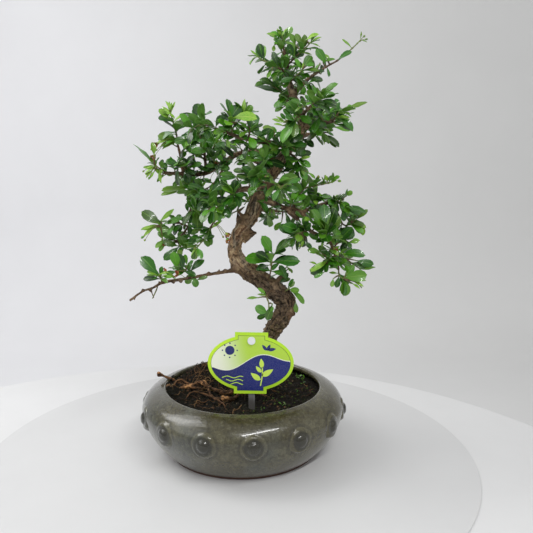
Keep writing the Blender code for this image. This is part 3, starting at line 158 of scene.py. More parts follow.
# Limbs: points (x, z, y, radius), from the wood they grow out of to their ends
LIMBS = {
    "trunk": [
        (7, 30, 0, 9.0), (7, 46, 0, 11.5), (7.5, 59, 0, 12.6), (12, 77, -1, 9.9),
        (19, 96, -2, 9.2), (29, 117, -3, 8.8), (39, 134, -6, 9.1), (43, 147, -6, 9.8),
        (37, 157, -5, 9.7), (24, 168, -3, 9.3), (10, 179, 0, 8.8), (0, 188, 2, 8.2),
        (-5.5, 199, 4, 7.0), (-5, 214, 4, 6.8), (1, 229, 2, 7.0), (10, 243, 1, 6.8),
        (17.5, 255, 0, 6.3), (25, 269, 0, 5.8), (34, 283, -1, 5.5), (43.5, 298, -3, 5.1),
        (51, 310, 0, 4.9), (57, 320, 1, 4.7), (56, 332, 2, 4.3), (50, 346, 0, 3.7),
        (45, 361, 0, 3.2), (42.5, 376, 0, 2.5), (40, 390, 0, 1.5),
    ],
    "low_left": [
        (0, 185, 2, 3.4), (-11, 181.5, 0, 2.5), (-33, 178, -10, 2.1), (-55, 174, -18, 2.0),
        (-78, 170, -28, 1.8), (-88, 165, -32, 1.5), (-99, 161, -35, 1.4), (-111.5, 152, -40, 1.5),
    ],
    "left_mid": [
        (15, 260, 0, 3.4), (0, 261, -8, 2.6), (-16, 249, -20, 2.1), (-28, 229, -28, 1.4),
    ],
    "left_arm": [
        (36, 288, 2, 3.6), (22, 293, 14, 3.0), (2, 296.5, 30, 2.7), (-18, 287, 40, 2.5),
        (-37, 276, 37, 2.3), (-74, 277, 20, 1.7),
    ],
    "left_riser": [(-56, 277, 29, 2.0), (-57, 287, 30, 1.9), (-60.5, 304, 26, 1.2)],
    "mid_riser": [(-34, 277, 38, 1.9), (-35.5, 300, 44, 1.4)],
    "upper_arm": [(46, 303, 0, 3.2), (20, 306, -24, 2.4), (-4, 311, -34, 1.8), (-16, 316, -34, 1.4)],
    "left_low_arm": [(-14, 251, -18, 1.9), (-27, 252, -4, 1.7), (-39, 256, 10, 1.4)],
    "left_hanging": [
        (-36, 254.5, 8, 1.4), (-44, 253, 20, 1.5), (-49, 244, 26, 1.5), (-51, 228, 28, 1.4),
        (-57, 219, 28, 1.2),
    ],
    "right_arm": [
        (17, 254, 0, 3.6), (38, 244, -16, 2.7), (58, 238, -22, 2.2), (66, 221, -18, 1.9),
        (84, 212, -14, 1.7), (92, 195, -10, 1.4),
    ],
    "right_fork": [(57, 238, -22, 2.0), (80, 247, 14, 1.7), (89, 244, 22, 1.6), (98, 227, 26, 1.2)],
    "right_riser": [(48, 240, -20, 2.0), (52, 249, -18, 1.5)],
    "right_top": [(57, 320, 1, 3.6), (68, 321, -8, 2.8), (88, 326, -22, 1.8)],
    "far_twig": [(49, 350, 0, 2.6), (63, 364, 14, 1.8), (76, 373, 22, 1.2)],
    "back_left": [(28, 275, 0, 3.2), (24, 282, 26, 2.6), (4, 292, 62, 1.5)],
    "back_right": [(50, 309, 0, 3.0), (68, 314, 50, 1.6)],
    "back_low": [(10, 243, 2, 3.0), (34, 240, 54, 1.6)],
    "back_inner": [(-14, 289, 38.5, 1.9), (-22, 272, 66, 1.3)],
    "back_top": [(48, 350, 0, 2.4), (44, 362, 36, 1.5), (40, 368, 54, 1.1)],
    "front_arm": [(22, 264, 0, 3.0), (30, 267, -46, 1.5)],
    "front_top": [(57, 326, 2, 2.8), (58, 331, -24, 2.0), (66, 340, -56, 1.1)],
    "stub_bend": [(44, 141, -6, 5.0), (52.5, 136.3, -9, 1.6)],
    "stub_side": [(31, 166, -4, 3.2), (38, 175.5, -9, 1.9)],
    "stub_right": [(2, 220, 3, 4.0), (14, 218.5, -1, 1.3)],
    "stub_left": [(4, 231, 1, 3.2), (-4.5, 241, -3, 1.0)],
    "stub_cut": [(45, 240, -20, 2.6), (54.5, 232, -31, 2.3)],
}

# Surface roots, finer than the solid's: (x, y, radius, how high the middle lies above the soil)
ROOTS = {
    "root_long": [(5, -2, 5.0, -1), (-8, -8, 3.0, 0.4), (-17, -11, 2.1, 0.7), (-26, -7, 1.9, 1.0),
                  (-34, 1, 1.8, 1.2), (-40, 6.5, 3.0, 1.5), (-45, 8, 2.9, 1.6), (-50.5, 7.5, 1.3, 1.7),
                  (-57, 10, 1.2, 2.2), (-64, 13, 1.2, 5.0), (-69, 9, 1.2, 5.0), (-72, 2, 1.0, 1.8),
                  (-72, -7, 0.8, -0.8)],
    "root_knob": [(-58, 9, 1.1, -1.2), (-66, 12, 1.2, 2.0), (-75, 15.5, 1.3, 7.4), (-83, 17, 1.5, 10.6),
                  (-87.5, 17.5, 2.5, 11.8), (-89.5, 17.5, 1.6, 12.0)],
    "root_loop": [(-42, 1, 0.9, 0.2), (-49, 2.5, 1.5, 0.8), (-55, 3.2, 2.9, 1.1), (-60, 4.5, 2.7, 1.1),
                  (-65, 4, 1.1, 0.4), (-69, 0, 0.7, -0.6)],
    "root_front": [(-33, 3, 1.5, 1.0), (-36, -2, 1.5, 1.3), (-32.5, -14, 1.3, 1.0), (-27.5, -22, 1.35, 0.9),
                   (-22.5, -29, 1.1, 0.8), (-18.5, -39, 0.9, 0.6), (-15.5, -49, 0.5, -0.2)],
    "root_mid": [(6, -5, 4.6, -1), (-3, -15, 2.2, 0.0), (-8, -22, 1.6, 0.6), (-13, -25, 2.3, 0.9),
                 (-19, -23.5, 2.6, 1.0), (-25.5, -22.5, 1.2, 0.8), (-34, -17, 1.1, 0.9),
                 (-41, -11.5, 1.1, 1.0), (-47, -8, 1.0, 1.0), (-52.5, -8, 0.9, 0.8),
                 (-56, -15, 0.8, 0.3), (-57, -22, 0.5, -0.6)],
    "root_rim": [(-71, -4, 0.9, -0.6), (-74.5, -1, 1.7, 3.4), (-75.5, 2, 1.5, 5.6), (-76, 4, 0.8, 6.2)],
    "root_right": [(9, 0, 5.0, -1), (20, 3, 2.0, -1.2), (40, -3, 0.8, -2.6)],
    "root_near": [(9, -3, 4.6, -1), (17, -11, 1.8, -1.2), (30, -24, 0.8, -2.6)],
    "root_back": [(9, 3, 5.0, -1), (16, 14, 2.9, 0.5), (32, 40, 1.5, -0.9)],
}

SPRAYS = [
    Spray("left_shoot", [(-60.3, 302, 26), (-61.5, 313, 20), (-64.5, 325, 12), (-67, 334.5, 8)], [
        Station(0.18, [(-77, 301.5, LONG), (-52, 312, MATURE)], 1),
        Station(0.42, [(-80, 312, MATURE), (-47, 330, WIDE)]),
        Station(0.72, [(-78, 336, MATURE), (-57, 333, YOUNG)]),
        Station(0.97, [(-72, 342, YOUNG), (-60, 340, YOUNG)], 1, (6, 9))]),
    Spray("far_left", [(-72, 277, 21), (-78, 281, 16), (-83, 284.5, 12)], [
        Station(0.50, [(-94, 282.5, LONG), (-75, 290, MATURE), (-71, 269, YOUNG)], 1, (9, 13)),
        Station(0.95, [(-106, 299, LONG), (-92, 276, YOUNG)], 1, (8, 12))]),
    Spray("left_rosette", [(-51, 276.5, 32), (-53, 281, 20), (-58, 284, 8), (-62, 284.5, 2)], [
        Station(0.42, [(-38, 286, MATURE), (-46, 292.5, MATURE)], 2),
        Station(0.94, [(-73, 288, WIDE), (-60, 291, MATURE)], 2)]),
    Spray("mid_riser_top", [(-35.4, 299, 44), (-39, 311, 45), (-41, 319, 42), (-40.5, 327, 38)], [
        Station(0.26, [(-57, 314, MATURE), (-47, 318, MATURE)], 1),
        Station(0.55, [(-44, 326, MATURE), (-34, 322, MATURE)], 2),
        Station(0.95, [(-40, 342, ROUND), (-56, 333, MATURE), (-25, 318, LONG)], 1)]),
    Spray("mid_bunch", [(-34.6, 290, 42), (-30, 296, 28), (-26, 302, 12), (-25, 305, 4)], [
        Station(0.45, [(-48, 297, MATURE), (-38, 305, WIDE)], 2),
        Station(0.95, [(-17, 317, LONG), (-33, 316, MATURE)], 2)]),
    Spray("upper_left", [(-15, 315.7, -34), (-28, 320, -33), (-38, 322, -31), (-47, 318, -31)], [
        Station(0.30, [(-18, 331, MATURE), (-30, 331, LONG)], 1),
        Station(0.64, [(-30, 309, MATURE)], 2),
        Station(0.96, [(-59, 331, MATURE), (-56, 321, MATURE)], 2)]),
    Spray("upper_mid", [(-8, 312, -34), (-10, 321, -39), (-10, 329, -42)], [
        Station(0.40, [(-22, 327, MATURE)], 3),
        Station(0.94, [(15, 328, WIDE), (-8, 341, LONG), (-19, 333, MATURE)], 1)]),
    Spray("upper_inner", [(6, 308.3, -31), (8, 317, -41), (5, 326, -36), (3, 331, -31)], [
        Station(0.40, [(21, 322, LONG), (20, 313, MATURE)], 2),
        Station(0.94, [(10, 340, ROUND), (3, 346, YOUNG), (-7, 327, MATURE)], 1)]),
    Spray("left_under", [(-22, 284.3, 40), (-22, 283, 24), (-26, 287, 12), (-27, 291, 8)], [
        Station(0.42, [(-31, 276, MATURE), (-11, 281, WIDE)], 1),
        Station(0.95, [(-33, 301, MATURE), (-17, 296, MATURE)], 2)]),
    Spray("left_low", [(-38, 255.7, 10), (-47, 261, 24), (-52, 265, 32), (-55, 269, 38)], [
        Station(0.30, [(-44, 272, MATURE), (-33, 267, MATURE)], 1),
        Station(0.66, [(-77, 259, MATURE)], 1),
        Station(0.95, [(-64, 270, ROUND), (-48, 279, YOUNG)], 1, (9, 13))]),
    Spray("left_low_front", [(-27, 252, -4), (-30, 254, -22), (-31, 257, -33)], [
        Station(0.50, [], 3),
        Station(0.92, [(-20, 267, WIDE), (-42, 262, MATURE)], 2)]),
    Spray("left_curtain", [(-49, 239, 26), (-47, 241, 6), (-44.5, 243, -8)], [
        Station(0.45, [(-53, 251, MATURE), (-48, 227, MATURE)], 1),
        Station(0.94, [(-39, 221, WIDE), (-30, 246, MATURE)], 2)]),
    Spray("left_outer", [(-52.5, 225.5, 28), (-60, 228.5, 24), (-70, 229.5, 20), (-79, 226, 18)], [
        Station(0.24, [(-66, 220, WIDE), (-55, 236, MATURE)], 1),
        Station(0.48, [(-69, 237, MATURE)], 1),
        Station(0.96, [(-97, 240, WIDE), (-65, 243, LONG), (-96, 224, YOUNG)])]),
    Spray("left_tail", [(-56, 220.3, 28), (-62, 212.5, 28), (-60.5, 206, 22), (-54, 203.5, 10)], [
        Station(0.30, [(-81, 218, MATURE), (-70, 206, MATURE)]),
        Station(0.56, [(-81, 202.5, MATURE)], 1),
        Station(0.96, [(-60, 217, WIDE), (-41, 201.5, MATURE), (-44, 218, MATURE)], 1)]),
    Spray("low_left_tall", [(-49, 175.3, -16), (-52, 179.5, -10), (-58, 181.5, -14), (-64.5, 182, -20)], [
        Station(0.34, [(-37, 193, MATURE), (-53, 168, ROUND)], 1),
        Station(0.66, [(-54, 199, WIDE), (-45, 177, MATURE)]),
        Station(0.95, [(-66, 201, WIDE), (-75, 178, MATURE)], 1)]),
    Spray("low_left_end", [(-77, 170.2, -28), (-80, 174, -34), (-83, 178, -38)], [
        Station(0.55, [(-97.5, 174, MATURE)], 1, (8, 11)),
        Station(0.94, [(-99, 196, WIDE), (-72, 181, YOUNG)], 1, (8, 11))]),
    Spray("left_mid_tip", [(-27.5, 230, -28), (-33, 220, -29), (-38, 212, -29), (-45, 204, -29)], [
        Station(0.22, [(-17, 224, YOUNG)], 1, (8, 11)),
        Station(0.62, [(-26, 218, MATURE)], 1, (9, 12)),
        Station(0.96, [(-55, 197, MATURE)], 2, (10, 14))]),
    Spray("left_mid_rise", [(-11, 254.6, -16), (-9, 256.5, -28), (-7, 257, -36)], [
        Station(0.50, [(-19, 262, MATURE)], 2),
        Station(0.92, [(-1, 242, WIDE), (6, 262, LONG)], 2)]),
    Spray("left_mid_dark", [(-20, 243.5, -24), (-24, 243.5, -36), (-29, 244, -42)], [
        Station(0.52, [(-12, 237, MATURE)], 3),
        Station(0.94, [(-38, 235, MATURE), (-24, 231, MATURE)], 2)]),
    Spray("back_left_high", [(5, 291.8, 62), (-8, 296, 68), (-17, 301, 70), (-23, 305, 70)], [
        Station(0.30, [], 3), Station(0.62, [], 3), Station(0.96, [], 4)]),
    Spray("back_inner_low", [(-21.5, 272.8, 65), (-32, 263, 72), (-41, 261, 74), (-48, 264, 74)], [
        Station(0.28, [], 3), Station(0.62, [], 3), Station(0.96, [], 4)]),
    Spray("front_low", [(29.5, 267, -45), (34, 266, -54), (37, 263, -59), (38, 260, -60)], [
        Station(0.46, [(51, 279, WIDE)], 2),
        Station(0.94, [(12, 273, WIDE), (55, 259, MATURE), (29, 251, MATURE)], 1)]),
    Spray("front_mid", [(25.5, 265.8, -24), (19, 269, -34), (15, 273, -41), (13, 276, -44)], [
        Station(0.48, [(2, 269.5, LONG), (27, 280, MATURE)], 1),
        Station(0.94, [(0, 283, MATURE), (14, 290, MATURE)], 2)]),
    Spray("centre_low", [(23, 292.8, 12), (22, 290, -16), (21, 288.5, -28)], [
        Station(0.58, [(8, 297, MATURE), (9, 281, MATURE)], 1),
        Station(0.94, [(19, 301, WIDE), (42, 284, MATURE), (31, 298, MATURE)], 1)]),
    Spray("centre_high", [(35, 305, -12), (38, 301, -26), (42, 301, -33), (45, 302.5, -36)], [
        Station(0.46, [(27, 296, MATURE), (31, 312, MATURE)], 1),
        Station(0.95, [(56, 304, ROUND), (46, 289, MATURE)], 2)]),
    Spray("right_side", [(42.5, 297, -6), (50, 293, -12), (54, 287, -16), (54, 280, -18)], [
        Station(0.40, [(67, 296, MATURE), (64, 304, LONG)]),
        Station(0.64, [(67, 284, MATURE), (66, 292, YOUNG)], 1),
        Station(0.95, [(70, 263, LONG), (63, 270, WIDE)], 2)]),
    Spray("right_riser_top", [(51.6, 248, -18), (56, 256, -16), (61, 262, -14), (69, 264, -16),
                              (79, 266, -18), (88, 268, -20)], [
        Station(0.13, [(43, 256, MATURE), (67, 253, MATURE)], 2),
        Station(0.30, [(47, 268, MATURE), (71, 259, MATURE)], 2),
        Station(0.58, [(73, 271, YOUNG)], 0, (7, 9)),
        Station(0.80, [(80, 273, YOUNG)], 0, (7, 9)),
        Station(0.97, [(87, 273, YOUNG), (93, 267, YOUNG)], 0, (7, 9))]),
    Spray("fork_rise", [(69, 241.6, -3), (70, 248, -10), (72, 253.5, -12)], [
        Station(0.55, [(60, 245, MATURE)], 2),
        Station(0.94, [(88, 254, MATURE), (62, 262, MATURE)], 2)]),
    Spray("fork_end", [(80, 247, 14), (86, 251, 12), (93, 249.5, 6), (100, 243, 2)], [
        Station(0.36, [(108, 258, LONG), (76, 261, YOUNG)], 1),
        Station(0.64, [(106, 251, MATURE)], 2),
        Station(0.96, [(121, 238, MATURE), (117, 247, MATURE)], 1)]),
    Spray("fork_tip", [(97.7, 227.5, 26), (102, 225.5, 22), (106, 228, 20)], [
        Station(0.50, [(93, 216, MATURE)], 1),
        Station(0.93, [(118, 217, MATURE), (112, 238, MATURE), (120, 227, MATURE)], 1)]),
    Spray("right_fan", [(83.5, 212.3, -14), (82, 216, -28), (81, 219, -36)], [
        Station(0.48, [(92, 243, MATURE), (99, 232, MATURE)], 1),
        Station(0.93, [(67, 242, MATURE), (79, 247, MATURE), (68, 226, MATURE)], 1)]),
    Spray("right_fan_inner", [(65.5, 222, -18), (60, 219.5, -28), (54, 218, -33), (51, 214, -34)], [
        Station(0.34, [(62, 235, WIDE), (69, 206, MATURE)], 1),
        Station(0.68, [(45, 234, WIDE)], 1),
        Station(0.96, [(32, 226, WIDE), (46, 205, ROUND), (56, 205, YOUNG)])]),
    Spray("right_low_end", [(90, 204.3, -12), (94, 208.5, 2), (99, 212, 14)], [
        Station(0.50, [(84, 196, MATURE), (107, 225, MATURE)]),
        Station(0.94, [(112, 214, MATURE), (108, 204, MATURE), (116, 210, YOUNG)])]),
    Spray("right_low_left", [(91.7, 196.3, -10), (87, 193, -20), (84, 189.5, -24)], [
        Station(0.50, [(64, 200, MATURE), (85, 206, MATURE)]),
        Station(0.93, [(72, 173, WIDE), (66, 191, YOUNG), (66, 183, YOUNG)])]),
    Spray("right_low_right", [(91.4, 199, -12), (97, 196, 4), (102, 192.5, 18)], [
        Station(0.50, [(121, 199, MATURE), (108, 204, MATURE)]),
        Station(0.93, [(129, 186, MATURE), (108, 181, MATURE)], 1)]),
    Spray("right_tip", [(92, 195.5, -10), (95, 185, -12), (96, 176, -14), (101, 172, -18)], [
        Station(0.26, [(84, 202, MATURE)], 2, (10, 14)),
        Station(0.66, [(86, 176, YOUNG)]),
        Station(0.95, [(99, 159, WIDE), (124, 176, WIDE), (120, 163, YOUNG)])]),
    Spray("top_right_front", [(79, 322, -16), (76, 328, -29), (74, 331, -36)], [
        Station(0.50, [(62, 336, MATURE), (88, 338, MATURE)], 2),
        Station(0.93, [(84, 326, WIDE), (66, 322, MATURE)], 2)]),
    Spray("top_right_end", [(87.3, 325.6, -22), (91, 332, -26), (99, 337, -26)], [
        Station(0.26, [(107, 317, MATURE), (103, 327, YOUNG)], 1),
        Station(0.60, [(94, 347, MATURE), (104, 333, YOUNG)], 1),
        Station(0.96, [(120, 342, LONG)], 1, (8, 11))]),
    Spray("top_right_under", [(74, 321.4, -12), (76, 316.5, -2), (78, 314, 8)], [
        Station(0.60, [(62, 307, MATURE), (66, 317, MATURE)], 1),
        Station(0.93, [(93, 300.5, WIDE), (77, 303, YOUNG)], 1)]),
    Spray("front_top_right", [(65.5, 339.6, -55), (70, 343, -59), (75, 346, -60)], [
        Station(0.45, [(60, 349, MATURE)], 2),
        Station(0.93, [(91, 342, MATURE), (88, 352, MATURE), (77, 357, MATURE)], 1)]),
    Spray("front_top_left", [(59, 332.4, -28), (53, 330, -38), (50, 325, -41)], [
        Station(0.50, [(43, 338, MATURE), (62, 319, MATURE)], 1),
        Station(0.93, [(36, 331, WIDE), (31, 312, MATURE), (54, 310, MATURE)])]),
    Spray("trunk_left", [(50, 346, 0), (43.5, 349, 12), (38, 352, 18)], [
        Station(0.55, [(31, 338, MATURE), (34, 333, MATURE)], 1),
        Station(0.94, [(12.5, 358, MATURE), (29, 365, MATURE)], 1)]),
    Spray("top_left", [(44, 368.5, 0), (37, 373, -10), (29, 377, -8), (20, 381, -6), (14, 385, -8)], [
        Station(0.20, [(27, 366, MATURE), (36, 360, MATURE)], 2),
        Station(0.40, [(30, 389, MATURE)], 2),
        Station(0.78, [(20, 394, ROUND)]),
        Station(0.97, [(9, 390, YOUNG)])]),
    Spray("top_shoot", [(40.2, 389, 0), (39, 395, -1), (38, 404, -2)], [
        Station(0.26, [(28, 378, MATURE), (53, 389, MATURE)], 1),
        Station(0.58, [(24, 405, MATURE), (50, 409, MATURE)]),
        Station(0.95, [(34, 408, YOUNG), (42, 408.5, YOUNG)], 1, (6, 8))]),
    Spray("top_right", [(43, 376, 0), (51, 384, -10), (59, 391, -16), (66, 398, -20)], [
        Station(0.34, [(44, 396, MATURE), (52, 372, MATURE)], 1),
        Station(0.62, [(60, 404, WIDE), (66, 386, YOUNG)]),
        Station(0.96, [(74, 403, YOUNG), (74, 394, YOUNG)], 1, (7, 9))]),
    Spray("top_mid", [(45.2, 361, 0), (52, 367, -16), (58, 373, -26)], [
        Station(0.50, [(40, 372, MATURE), (58, 357, MATURE), (37, 362, MATURE)], 1),
        Station(0.93, [(73, 370, LONG), (67, 385, WIDE), (50, 382, MATURE)])]),
    Spray("top_far", [(75.3, 372.6, 22), (83, 377, 26), (91, 381.5, 30), (104, 392, 34),
                      (113, 401, 36)], [
        Station(0.12, [(70, 391.5, WIDE), (86, 368, MATURE)]),
        Station(0.38, [(102, 391.5, MATURE)]),
        Station(0.74, [(94, 400, LONG)]),
        Station(0.97, [(118, 398, YOUNG), (112, 407, YOUNG)])]),
    Spray("back_top_end", [(40.5, 367.6, 53), (38, 371, 58), (35, 375, 62)], [
        Station(0.50, [], 3), Station(0.93, [], 4)]),
    Spray("back_right_end", [(67, 313.9, 49), (77, 318, 60), (84, 323, 64), (90, 328, 68)], [
        Station(0.30, [], 4), Station(0.64, [], 4), Station(0.96, [], 4)]),
    Spray("back_low_end", [(33, 240.2, 52), (46, 239, 60), (58, 241, 62), (68, 244, 64)], [
        Station(0.30, [], 4), Station(0.64, [], 4), Station(0.96, [], 4)]),
    Spray("mid_shoot", [(25, 170, -8), (28, 181, -22), (29, 191, -24), (31, 199, -24)], [
        Station(0.52, [(38, 173, MATURE), (17, 180, MATURE)]),
        Station(0.76, [(3, 196, WIDE), (57, 186, MATURE), (46, 194, MATURE)]),
        Station(0.97, [(23, 217, MATURE), (43, 203, MATURE), (8, 203, LONG), (46, 213, MATURE)])]),
    Spray("trunk_side", [(38, 158, -8), (44, 161.5, -18), (46.5, 164, -20)], [
        Station(0.93, [(51, 172, MATURE), (56, 160, ROUND), (62, 148, LONG)])]),
    Spray("trunk_down", [(30, 162, -10), (24, 156, -29), (26, 148, -36), (26, 137, -38)], [
        Station(0.46, [(8, 159, LONG), (14, 152, YOUNG)]),
        Station(0.96, [(12, 143, ROUND), (15, 132, MATURE), (31, 144, MATURE)])]),
]


# Places (x, z, radius) where the wall shows through the crown, on the plane y = 0
GAPS = (
    (-62, 250, 7.7), (96, 264, 6.4), (33, 216, 6.1), (73, 299, 5.8), (88, 261, 5.1), (73, 193, 5.1),
    (-23, 225, 4.8), (109, 251, 4.8), (-59, 241, 4.8), (85, 174, 4.8), (78, 365, 4.2), (-72, 202, 4.0),
    (-96, 288, 3.9), (-29, 274, 3.9), (15, 153, 3.9), (71, 306, 3.8), (-3, 300, 3.8), (80, 262, 3.8),
    (25, 385, 3.4), (84, 374, 3.4), (90, 314, 3.4), (-66, 300, 3.4), (68, 212, 3.4), (-27, 329, 3.0),
    (36, 321, 3.0), (-101, 294, 3.0), (-5, 283, 3.0), (-30, 269, 3.0), (75, 261, 3.0), (-24, 219, 3.0),
    (115, 215, 3.0), (-54, 199, 3.0), (77, 359, 2.8), (97, 341, 2.8), (-56, 318, 2.8), (-77, 317, 2.8),
    (-21, 254, 2.8), (103, 252, 2.8), (-35, 227, 2.8), (-71, 226, 2.8), (-24, 215, 2.8), (2, 203, 2.8),
    (90, 181, 2.8), (91, 174, 2.8), (13, 163, 2.8), (21, 150, 2.8), (34, 391, 2.7), (32, 349, 2.7),
    (-61, 335, 4.0), (-58, 338, 4.0), (72, 277, 3.4), (39, 232, 3.0), (52, 405, 2.8), (97, 393, 2.8),
    (21, 367, 2.8), (35, 331, 2.8), (-40, 206, 2.7), (45, 178, 2.7), (-67, 317, 2.7), (66, 301, 2.7),
    (-35, 263, 2.7), (0, 241, 2.7), (-65, 239, 2.7), (-6, 233, 2.7), (-29, 222, 2.7), (70, 208, 2.7),
    (52, 185, 2.7), (99, 178, 2.7), (41, 167, 2.7), (112, 166, 2.7), (-78, 242, 6.1), (-71, 269, 4.8),
    (-64, 296, 3.8), (73, 367, 2.7), (-73, 339, 2.7),
)

# Places (x, z, radius) where bare wood shows and leaves in front of it keep clear
BARE = (
    (30, 164, 8.8), (-4, 188, 8.5), (5, 232, 8.3), (2, 223, 8.1), (-5, 212, 7.4), (-7, 199, 7.4),
    (4, 182, 7.0), (13, 176, 7.0), (20, 171, 6.7), (38, 156, 5.3), (30, 278, 4.4), (16, 255, 4.3),
    (16, 240, 4.3), (14, 236, 3.9), (35, 277, 3.5), (29, 247, 3.3), (-12, 181, 3.3), (59, 318, 3.1),
    (-34, 288, 3.1), (50, 234, 3.1), (94, 209, 3.1), (27, 183, 3.1), (44, 378, 2.5), (56, 327, 2.5),
    (58, 315, 2.5), (-36, 295, 2.5), (40, 290, 2.5), (-24, 288, 2.5), (-74, 279, 2.5), (-70, 278, 2.5),
    (-36, 275, 2.5), (35, 273, 2.5), (2, 262, 2.5), (5, 242, 2.5), (-3, 238, 2.5), (96, 228, 2.5),
    (84, 206, 2.5), (86, 204, 2.5), (89, 204, 2.5), (29, 180, 2.5), (-33, 178, 2.5), (79, 323, 2.3),
    (59, 322, 2.3), (-18, 296, 2.3), (-60, 295, 2.3), (48, 294, 2.3), (13, 286, 2.3), (26, 280, 2.3),
    (39, 279, 2.3), (-68, 278, 2.3), (-65, 278, 2.3), (-59, 277, 2.3), (-56, 275, 2.3), (-39, 275, 2.3),
    (13, 252, 2.3), (33, 247, 2.3), (9, 241, 2.3), (39, 241, 2.3), (46, 236, 2.3), (54, 233, 2.3),
    (99, 227, 2.3), (-74, 210, 2.3), (-71, 209, 2.3), (95, 180, 2.3), (-16, 180, 2.3), (-25, 178, 2.3),
    (95, 177, 2.3), (25, 177, 2.3), (95, 174, 2.3), (35, 173, 2.3), (-65, 172, 2.3), (44, 153, 2.3),
)

